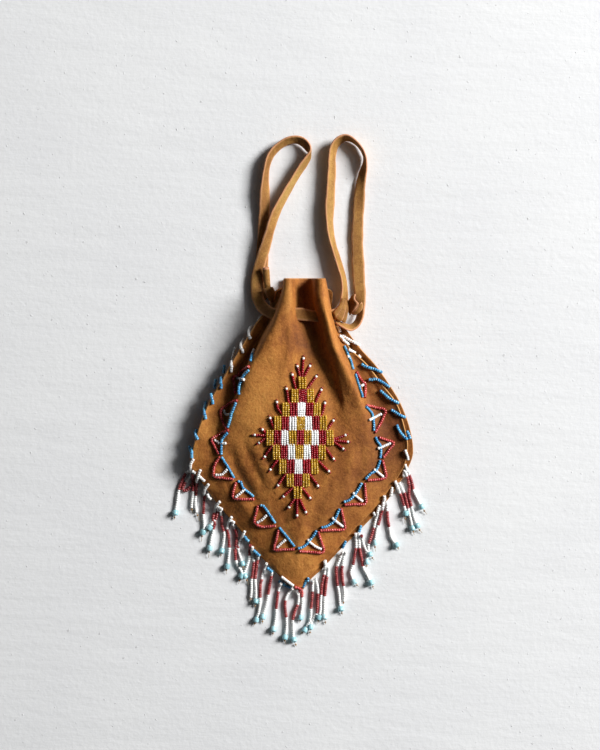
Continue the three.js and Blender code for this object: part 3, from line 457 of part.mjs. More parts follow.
// Resamples a polyline of number arrays along a spline at a given spacing.
function resample(points, step) {
  const fine = [];
  for (let k = 0; k < points.length - 1; k++) for (let t = 0; t < 8; t++) fine.push(spline(points, k + t / 8));
  fine.push(points[points.length - 1]);
  const s = [0];
  for (let i = 1; i < fine.length; i++) s.push(s[i - 1] + Math.hypot(...fine[i].slice(0, 3).map((v, k) => v - fine[i - 1][k])));
  const n = Math.max(1, Math.round(s[s.length - 1] / step)), out = [];
  let i = 0;
  for (let k = 0; k <= n; k++) {
    const at = s[s.length - 1] * k / n;
    while (i < s.length - 2 && s[i + 1] < at) i++;
    const t = (at - s[i]) / Math.max(s[i + 1] - s[i], 1e-9);
    out.push(fine[i].map((v, c) => v + (fine[i + 1][c] - v) * t));
  }
  return out;
}

// ------------------------------------------------------------ leather panels
const frontOuter = net(FRONT, FRONT_CELLS);
const frontNormals = netNormals(frontOuter);
const frontInner = frontOuter.map((r, j) => r.map((p, i) => sub(p, mul(frontNormals[j][i], LEATHER))));
const backOuter = net(BACK, BACK_CELLS).map((r) => r.map((p) => [p[0], p[1], Math.max(p[2], 0)]));
const backInner = backOuter.map((r) => r.map((p) => [p[0], p[1], p[2] + LEATHER]));

// Height of the leather's upper surface, on the facets themselves.
function faceted(rows) {
  const list = [];
  for (let j = 0; j < rows.length - 1; j++) for (let i = 0; i < rows[0].length - 1; i++) {
    const a = rows[j][i], b = rows[j][i + 1], c = rows[j + 1][i + 1], d = rows[j + 1][i];
    list.push([a, d, c], [a, c, b]);
  }
  return list;
}
const SURFACE = [...faceted(frontOuter), ...faceted(backInner)];
function topAt(x, y) {
  let z = -Infinity;
  for (const [a, b, c] of SURFACE) {
    const d = (b[0] - a[0]) * (c[1] - a[1]) - (c[0] - a[0]) * (b[1] - a[1]);
    if (Math.abs(d) < 1e-9) continue;
    const s = ((x - a[0]) * (c[1] - a[1]) - (c[0] - a[0]) * (y - a[1])) / d;
    const t = ((b[0] - a[0]) * (y - a[1]) - (x - a[0]) * (b[1] - a[1])) / d;
    if (s >= -1e-6 && t >= -1e-6 && s + t <= 1 + 1e-6) z = Math.max(z, a[2] + s * (b[2] - a[2]) + t * (c[2] - a[2]));
  }
  return z;
}

// A bar of beadwork laid along a path in plan, following the leather.
function barSections(path, width, step = 3.2, extend = 0) {
  const pts = resample(path.map((p) => [p[0], p[1]]), step);
  if (extend) {
    const a = pts[0], b = pts[1], y = pts[pts.length - 1], x = pts[pts.length - 2];
    const ua = unit([a[0] - b[0], a[1] - b[1], 0]), uy = unit([y[0] - x[0], y[1] - x[1], 0]);
    pts[0] = [a[0] + ua[0] * extend, a[1] + ua[1] * extend];
    pts[pts.length - 1] = [y[0] + uy[0] * extend, y[1] + uy[1] * extend];
  }
  const sections = pts.map((p, k) => {
    const q = pts[Math.min(k + 1, pts.length - 1)], o = pts[Math.max(k - 1, 0)];
    const along = unit([q[0] - o[0], q[1] - o[1], 0]), side = [-along[1], along[0]];
    let z = -Infinity;
    for (const u of [-0.55, 0, 0.55]) for (const v of [-0.5, -0.25, 0, 0.25, 0.5]) {
      z = Math.max(z, topAt(p[0] + along[0] * u * step + side[0] * v * width * 1.08, p[1] + along[1] * u * step + side[1] * v * width * 1.08));
    }
    if (!Number.isFinite(z)) z = NaN;
    return { p, side, z };
  });
  // sections past the rim hold the height of the nearest one on the leather
  for (let k = 0; k < sections.length; k++) if (Number.isNaN(sections[k].z)) {
    let best = null;
    for (let m = 0; m < sections.length; m++) if (!Number.isNaN(sections[m].z) && (best === null || Math.abs(m - k) < Math.abs(best - k))) best = m;
    sections[k].far = best === null ? 6 : sections[best].z;
  }
  return sections.map(({ p, side, z, far }) => ({ p, side, base: (Number.isNaN(z) ? far : z) + TRIM_GAP }));
}
function bar(path, width, step = 3.2, extend = 0, height = BEAD_HEIGHT) {
  return loft(barSections(path, width, step, extend).map(({ p, side, base }) => {
    const h = width / 2;
    return [
      [p[0] - side[0] * h, p[1] - side[1] * h, base],
      [p[0] + side[0] * h, p[1] + side[1] * h, base],
      [p[0] + side[0] * h * 0.8, p[1] + side[1] * h * 0.8, base + height],
      [p[0] - side[0] * h * 0.8, p[1] - side[1] * h * 0.8, base + height],
    ];
  }));
}

// A flat leather lace through its stations.
function lace(stations, grow = 0, step = LACE_STEP) {
  const s = resample(stations, step);
  return loft(s.map((e, k) => {
    const q = s[Math.min(k + 1, s.length - 1)], o = s[Math.max(k - 1, 0)];
    const a = e.slice(0, 3), b = e.slice(3, 6), across = unit(sub(b, a));
    const along = sub(add(q.slice(0, 3), q.slice(3, 6)), add(o.slice(0, 3), o.slice(3, 6)));
    const n = unit(cross(along, across)), h = LACE_THICKNESS / 2 + grow;
    const a2 = sub(a, mul(across, grow)), b2 = add(b, mul(across, grow));
    return [add(a2, mul(n, h)), add(b2, mul(n, h)), sub(b2, mul(n, h)), sub(a2, mul(n, h))];
  }));
}

// A rounded lump for the body of a knot.
function lump(center, size, turn) {
  const g = new THREE.SphereGeometry(1, 10, 6);
  g.deleteAttribute('normal'); g.deleteAttribute('uv');
  g.scale(size[0] / 2, size[1] / 2, size[2] / 2);
  g.rotateZ(turn);
  g.translate(...center);
  return BufferGeometryUtils.mergeVertices(g, 1e-4);
}

// A strand of beads: five-sided, its radius following the beads.
function strand(points) {
  const sections = points.map((p, k) => {
    const q = points[Math.min(k + 1, points.length - 1)], o = points[Math.max(k - 1, 0)];
    const along = unit([q[0] - o[0], q[1] - o[1], q[2] - o[2]]);
    const side = unit(cross(along, [0, 0, 1])), up = cross(side, along), ring = [];
    for (let m = 0; m < STRAND_SIDES; m++) {
      const a = 2 * Math.PI * (m + 0.5) / STRAND_SIDES;
      ring.push(add(p.slice(0, 3), add(mul(side, Math.cos(a) * p[3]), mul(up, Math.sin(a) * p[3]))));
    }
    return ring;
  });
  return loft(sections);
}

// Seam thread just outside a rim, with the bars of beads that cross it.
function seamStitches(rim, stitches, outwardX) {
  const thread = rim.map((p) => [p[0] + outwardX * 1.5, p[1], Math.max(p[2] - 0.4, 1)]);
  const run = resample(thread, 11);
  const pieces = [loft(run.map((p, k) => {
    const q = run[Math.min(k + 1, run.length - 1)], o = run[Math.max(k - 1, 0)];
    const along = unit(sub(q, o)), side = unit(cross(along, [0, 0, 1])), up = cross(side, along), r = THREAD / 2;
    return [[1, 1], [-1, 1], [-1, -1], [1, -1]].map(([u, v]) => add(p, add(mul(side, u * r), mul(up, v * r))));
  }))];
  for (const [, path] of stitches) {
    const g = bar(path, BEAD_WIDTH, 4, 0);
    pieces.push(g);
    // a link of thread from the bar's outer end to the seam thread
    const sections = barSections(path, BEAD_WIDTH, 4, 0);
    const end = sections.reduce((m, q) => (q.p[0] * outwardX > m.p[0] * outwardX ? q : m));
    let near = run[0];
    const gap = (p) => Math.hypot(p[0] - end.p[0], p[1] - end.p[1]);
    for (const p of fineLine(run)) if (gap(p) < gap(near)) near = p;
    const zEnd = end.base + BEAD_HEIGHT * 0.5, w = 0.5;
    const post = [near[0], near[1], Math.max(zEnd, near[2] + 0.3)];
    const box = (a, b) => {
      const along = unit(sub(b, a)), side = unit(cross(along, Math.abs(along[2]) > 0.9 ? [1, 0, 0] : [0, 0, 1])), up = cross(side, along);
      const ring = (p) => [[1, 1], [-1, 1], [-1, -1], [1, -1]].map(([u, v]) => add(p, add(mul(side, u * w), mul(up, v * w))));
      return loft([ring(sub(a, mul(along, 0.2))), ring(add(b, mul(along, 0.2)))]);
    };
    pieces.push(box([near[0], near[1], near[2] - 0.2], post));
    const endTop = [end.p[0], end.p[1], zEnd];
    if (len(sub(endTop, post)) > 0.3) pieces.push(box(post, endTop));
  }
  return join(pieces);
}
function fineLine(run) {
  const out = [];
  for (let k = 0; k < run.length - 1; k++) for (let t = 0; t < 6; t++) out.push(add(run[k], mul(sub(run[k + 1], run[k]), t / 6)));
  return out;
}

// ------------------------------------------------------------------ assembly
const group = new THREE.Group();
const placed = [];
const part = (name, geometry, color, roughness) => {
  const g = outward(geometry);
  placed.push(toManifold(g));
  g.computeVertexNormals();
  const mesh = new THREE.Mesh(g, new THREE.MeshStandardMaterial({ color, roughness, metalness: 0 }));
  mesh.name = name;
  group.add(mesh);
};

// Raises a piece of beadwork in small steps until it lies clear of everything
// placed before it.
const settle = (geometry) => {
  const m = toManifold(geometry);
  for (let k = 0; k < 20; k++) {
    const z = k * 0.2, up = m.translate([0, 0, z]);
    if (placed.every((o) => up.intersect(o).volume() < 1e-3)) {
      if (!k) return geometry;
      return outward(geometry).clone().translate(0, 0, z + 0.1);
    }
  }
  return geometry;
};

const fat = (stations) => toManifold(lace(stations, SLOT_CLEARANCE));
let front = toManifold(shell(frontOuter, frontInner));
// slots in the pleats for the two laces
front = front.subtract(fat(LEFT_LACE_A));
front = front.subtract(fat(RIGHT_LACE_A));
part('front_panel', toGeometry(front), 0xb0763c, 0.85);
part('back_panel', shell(backInner, backOuter), 0x9c6631, 0.85);

const knotLeft = lump([-24.51, 125.05, 4.6], [9.5, 11, 7.5], 0.3);
const knotRight = lump([42.41, 118.06, 5.4], [10.5, 12.5, 8.5], -0.5);
part('drawstring_left', join([lace(LEFT_LACE_A), lace(LEFT_LACE_B), lace(LEFT_LACE_TAIL), knotLeft]), 0xc08a4a, 0.75);
part('drawstring_right', join([lace(RIGHT_LACE_A), lace(RIGHT_LACE_B), knotRight]), 0xc89550, 0.75);

const lozenge = LOZENGE_ROWS.map((row) => bar(row.line, row.depth + 0.6, 8, 0.05));
const rays = RAYS.map((r) => bar(r, BEAD_WIDTH, 6, 0.6));
part('beaded_medallion', settle(join([...lozenge, ...rays])), 0x9c1428, 0.35);

for (const [key, lines] of TRIANGLES) {
  part(`border_triangle_${key}`, settle(join(lines.map(([, path]) => bar(path, BEAD_WIDTH, 5.2, 0.9)))), 0xb8404a, 0.35);
}

const leftRim = frontOuter.map((r) => r[0]).filter((p) => p[1] < 109.6 && p[1] > 2.2);
const rightRim = backInner.map((r) => r[r.length - 1]).filter((p) => p[1] < 100.7 && p[1] > 2.2);
part('seam_stitches_left', settle(seamStitches(leftRim, STITCHES_LEFT, -1)), 0xe8ecef, 0.35);
part('seam_stitches_right', settle(seamStitches(rightRim, STITCHES_RIGHT, 1)), 0xdfe7ee, 0.35);

const byKey = new Map(STRANDS.map((s) => [s.k, strand(s.p)]));
const inPair = new Set(PAIRS.flat());
const two = (n) => String(n).padStart(2, '0');
for (const [k, g] of byKey) if (!inPair.has(k)) part(`fringe_strand_${two(k)}`, settle(g), 0xd9dadb, 0.35);
for (const [a, b] of PAIRS) {
  const pa = STRANDS.find((s) => s.k === a).p, pb = STRANDS.find((s) => s.k === b).p;
  const tie = strand([[...pa[0].slice(0, 3), 0.8], [...pb[0].slice(0, 3), 0.8]]);
  part(`fringe_pair_${two(a)}_${two(b)}`, settle(join([byKey.get(a), byKey.get(b), tie])), 0xd9dadb, 0.35);
}

export default group;
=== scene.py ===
import math
import random

import bpy
import numpy as np
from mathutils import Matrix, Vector
from mathutils.bvhtree import BVHTree


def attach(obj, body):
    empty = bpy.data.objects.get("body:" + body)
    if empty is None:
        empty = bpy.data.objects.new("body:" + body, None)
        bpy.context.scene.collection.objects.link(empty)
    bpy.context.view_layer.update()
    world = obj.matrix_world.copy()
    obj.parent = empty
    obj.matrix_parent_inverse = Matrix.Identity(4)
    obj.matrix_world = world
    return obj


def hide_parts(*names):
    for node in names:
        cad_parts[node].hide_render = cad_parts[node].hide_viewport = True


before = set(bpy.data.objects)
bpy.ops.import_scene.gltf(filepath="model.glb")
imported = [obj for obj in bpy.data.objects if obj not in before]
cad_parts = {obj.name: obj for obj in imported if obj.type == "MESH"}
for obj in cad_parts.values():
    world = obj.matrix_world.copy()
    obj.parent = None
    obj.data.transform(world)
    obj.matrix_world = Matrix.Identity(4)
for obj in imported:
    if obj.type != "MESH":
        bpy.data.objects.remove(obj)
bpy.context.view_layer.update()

random.seed(11)
RNG = np.random.default_rng(20)
MM = 0.001
AIM = (-0.15, 65.65)          # point under the camera, mm
CAMERA_HEIGHT = 1200.0      # mm

# ------------------------------------------------------------------ tables, mm
FRONT = np.array([
    [[-12.35, 137.42, 10.0], [-12.09, 137.21, 13.5], [-11.75, 136.94, 18.0], [-11.57, 136.73, 21.5], [-10.86, 136.46, 26.0], [-7.19, 136.43, 26.4], [-5.02, 136.78, 20.6], [-1.04, 137.36, 11.0], [7.66, 137.39, 10.5], [10.74, 136.66, 22.6], [15.7, 136.46, 26.0], [17.51, 136.64, 23.0], [18.24, 136.91, 18.5], [18.76, 137.21, 13.5], [19.04, 137.42, 10.0]],
    [[-14.43, 125.89, 10.0], [-14.17, 125.74, 13.0], [-13.67, 125.51, 17.5], [-13.34, 125.34, 21.0], [-12.32, 125.03, 27.0], [-7.33, 125.0, 27.7], [-5.01, 125.33, 21.2], [-1.04, 125.85, 10.8], [8.03, 125.87, 10.5], [11.02, 125.17, 24.2], [16.41, 125.01, 27.5], [19.27, 125.24, 23.0], [20.24, 125.49, 18.0], [20.92, 125.74, 13.0], [21.27, 125.89, 10.0]],
    [[-19.86, 115.49, 9.8], [-18.86, 115.4, 12.0], [-17.63, 115.27, 15.0], [-16.69, 115.11, 18.8], [-14.95, 114.74, 27.8], [-8.06, 114.71, 28.3], [-5.16, 114.97, 22.2], [-1.19, 115.38, 12.3], [8.76, 115.41, 11.7], [12.7, 114.84, 25.2], [18.15, 114.69, 29.0], [21.18, 114.94, 23.0], [22.24, 115.17, 17.5], [22.86, 115.38, 12.5], [23.21, 115.49, 9.8]],
    [[-30.75, 105.76, 11.5], [-28.18, 105.79, 10.6], [-25.43, 105.8, 10.4], [-22.86, 105.73, 12.4], [-19.49, 105.21, 27.8], [-9.24, 105.22, 27.7], [-4.56, 105.37, 23.2], [0.59, 105.61, 16.0], [10.23, 105.7, 13.2], [14.75, 105.29, 25.4], [20.7, 105.16, 29.3], [23.86, 105.42, 21.5], [25.16, 105.61, 16.0], [26.29, 105.76, 11.5], [27.11, 105.86, 8.5]],
    [[-37.24, 95.33, 13.0], [-35.06, 95.36, 11.6], [-32.49, 95.39, 10.4], [-29.15, 95.39, 10.4], [-23.74, 94.96, 27.6], [-10.13, 94.99, 26.4], [-4.19, 95.06, 23.6], [1.33, 95.17, 19.2], [11.71, 95.3, 14.2], [17.18, 95.02, 25.2], [23.5, 94.94, 28.6], [27.34, 95.21, 17.5], [28.8, 95.34, 12.2], [30.05, 95.4, 10.0], [31.1, 95.41, 9.6]],
    [[-44.27, 84.19, 13.6], [-41.73, 84.21, 12.0], [-38.43, 84.23, 10.6], [-34.72, 84.24, 10.4], [-29.05, 83.99, 26.4], [-11.9, 84.01, 25.2], [-4.93, 84.04, 22.9], [1.33, 84.09, 19.8], [13.18, 84.17, 14.8], [20.28, 84.02, 24.4], [27.19, 83.98, 27.2], [31.31, 84.2, 13.0], [33.61, 84.24, 10.2], [35.92, 84.24, 10.0], [37.76, 84.23, 10.6]],
    [[-51.3, 72.32, 13.8], [-48.77, 72.33, 12.4], [-45.11, 72.34, 11.0], [-41.62, 72.34, 10.8], [-36.29, 72.26, 24.8], [-14.85, 72.27, 23.8], [-6.77, 72.27, 22.3], [1.32, 72.29, 20.2], [16.13, 72.31, 16.2], [24.85, 72.27, 23.4], [33.1, 72.26, 25.6], [37.63, 72.33, 12.4], [42.63, 72.35, 9.6], [47.08, 72.34, 10.0], [49.99, 72.34, 11.4]],
    [[-59.46, 58.24, 13.8], [-56.18, 58.23, 12.6], [-51.41, 58.22, 11.4], [-46.73, 58.22, 11.4], [-41.06, 58.29, 22.8], [-17.81, 58.29, 22.4], [-8.25, 58.29, 21.8], [1.32, 58.28, 20.6], [19.81, 58.26, 17.2], [29.67, 58.29, 21.9], [39.27, 58.3, 23.2], [43.95, 58.23, 12.2], [50.44, 58.21, 9.6], [57.1, 58.22, 10.4], [60.73, 58.23, 12.0]],
    [[-67.63, 44.15, 13.6], [-63.97, 44.13, 12.6], [-58.06, 44.12, 12.0], [-52.11, 44.12, 12.4], [-45.62, 44.28, 21.0], [-22.25, 44.29, 21.4], [-10.46, 44.29, 21.4], [1.32, 44.28, 20.7], [24.23, 44.23, 18.0], [34.5, 44.27, 20.3], [44.96, 44.28, 20.7], [50.32, 44.12, 12.4], [59.37, 44.07, 9.6], [67.5, 44.09, 10.6], [71.49, 44.12, 12.2]],
    [[-73.97, 28.56, 13.0], [-69.92, 28.54, 12.4], [-63.99, 28.53, 12.2], [-57.28, 28.55, 12.8], [-50.37, 28.73, 18.4], [-25.96, 28.78, 20.2], [-12.31, 28.79, 20.6], [1.32, 28.79, 20.4], [27.17, 28.73, 18.4], [38.61, 28.73, 18.6], [48.98, 28.71, 17.9], [57.75, 28.54, 12.4], [66.05, 28.46, 9.8], [73.44, 28.48, 10.6], [76.7, 28.53, 12.0]],
    [[-78.88, 12.91, 11.6], [-74.8, 12.91, 11.6], [-68.46, 12.93, 12.0], [-61.74, 12.96, 12.7], [-53.78, 13.13, 16.4], [-28.19, 13.25, 19.2], [-13.79, 13.29, 20.0], [0.59, 13.29, 20.0], [27.18, 13.21, 18.2], [39.03, 13.17, 17.3], [49.06, 13.11, 15.9], [60.73, 12.93, 12.0], [69.79, 12.83, 9.6], [76.47, 12.83, 9.8], [79.74, 12.89, 11.0]],
    [[-81.42, -2.08, 9.2], [-77.14, -2.04, 9.8], [-70.76, -1.99, 10.8], [-63.64, -1.93, 11.8], [-55.03, -1.84, 13.4], [-28.22, -1.58, 18.0], [-14.18, -1.54, 18.7], [-0.15, -1.52, 19.0], [25.72, -1.62, 17.2], [36.85, -1.68, 16.1], [46.52, -1.76, 14.7], [59.29, -1.96, 11.2], [67.96, -2.09, 9.0], [73.97, -2.13, 8.2], [77.29, -2.11, 8.6]],
    [[-70.29, -18.66, 6.2], [-66.86, -18.58, 7.4], [-61.57, -18.48, 8.8], [-55.18, -18.38, 10.2], [-46.93, -18.26, 11.9], [-25.31, -17.98, 15.8], [-13.09, -17.92, 16.7], [-0.89, -17.89, 17.2], [21.32, -18.0, 15.6], [30.6, -18.08, 14.4], [38.43, -18.18, 13.0], [50.39, -18.34, 10.8], [58.3, -18.49, 8.6], [63.96, -18.59, 7.2], [67.15, -18.66, 6.2]],
    [[-58.03, -35.18, 5.0], [-54.98, -35.06, 6.4], [-50.45, -34.94, 7.8], [-44.8, -34.82, 9.2], [-38.06, -34.69, 10.8], [-21.28, -34.45, 13.6], [-11.41, -34.39, 14.3], [-1.63, -34.35, 14.8], [16.53, -34.45, 13.6], [24.34, -34.53, 12.7], [30.67, -34.62, 11.6], [40.02, -34.77, 9.8], [46.41, -34.92, 8.0], [51.32, -35.06, 6.4], [54.37, -35.18, 5.0]],
    [[-44.61, -50.16, 4.5], [-42.33, -50.06, 5.6], [-38.55, -49.92, 7.0], [-34.04, -49.81, 8.2], [-28.8, -49.69, 9.4], [-16.49, -49.5, 11.4], [-9.06, -49.45, 11.9], [-1.63, -49.42, 12.2], [11.74, -49.5, 11.4], [17.32, -49.55, 10.8], [22.16, -49.64, 9.9], [29.27, -49.79, 8.4], [34.15, -49.92, 7.0], [37.55, -50.06, 5.6], [39.82, -50.16, 4.5]],
    [[-33.78, -65.14, 4.2], [-31.89, -65.03, 5.2], [-28.88, -64.92, 6.2], [-25.5, -64.81, 7.2], [-21.38, -64.72, 8.0], [-12.43, -64.59, 9.2], [-7.0, -64.56, 9.5], [-1.64, -64.54, 9.7], [8.04, -64.6, 9.1], [11.76, -64.65, 8.65], [14.75, -64.71, 8.1], [19.24, -64.83, 7.0], [22.61, -64.93, 6.1], [25.24, -65.04, 5.1], [26.98, -65.14, 4.2]],
    [[-21.08, -78.63, 3.9], [-19.58, -78.55, 4.6], [-17.7, -78.45, 5.4], [-15.45, -78.38, 6.0], [-12.83, -78.3, 6.6], [-7.61, -78.23, 7.2], [-4.62, -78.21, 7.35], [-1.64, -78.21, 7.4], [3.58, -78.26, 7.0], [5.44, -78.28, 6.8], [6.94, -78.32, 6.5], [9.18, -78.39, 5.9], [11.05, -78.46, 5.3], [12.55, -78.55, 4.6], [13.53, -78.63, 3.9]],
    [[-12.49, -87.63, 3.7], [-11.36, -87.57, 4.1], [-10.01, -87.52, 4.5], [-8.37, -87.47, 4.9], [-6.87, -87.43, 5.2], [-4.26, -87.4, 5.5], [-2.99, -87.39, 5.56], [-1.79, -87.38, 5.6], [0.22, -87.41, 5.4], [1.04, -87.42, 5.3], [1.72, -87.45, 5.1], [2.69, -87.48, 4.8], [3.59, -87.54, 4.4], [4.33, -87.57, 4.1], [4.93, -87.63, 3.7]],
    [[-6.51, -93.1, 3.6], [-5.68, -93.07, 3.8], [-4.78, -93.05, 3.95], [-3.89, -93.04, 4.05], [-3.29, -93.03, 4.1], [-2.54, -93.02, 4.15], [-2.24, -93.02, 4.18], [-1.94, -93.02, 4.2], [-1.35, -93.02, 4.15], [-1.05, -93.03, 4.12], [-0.75, -93.03, 4.1], [-0.22, -93.04, 4.0], [0.3, -93.06, 3.9], [0.82, -93.07, 3.8], [1.35, -93.1, 3.6]],
])
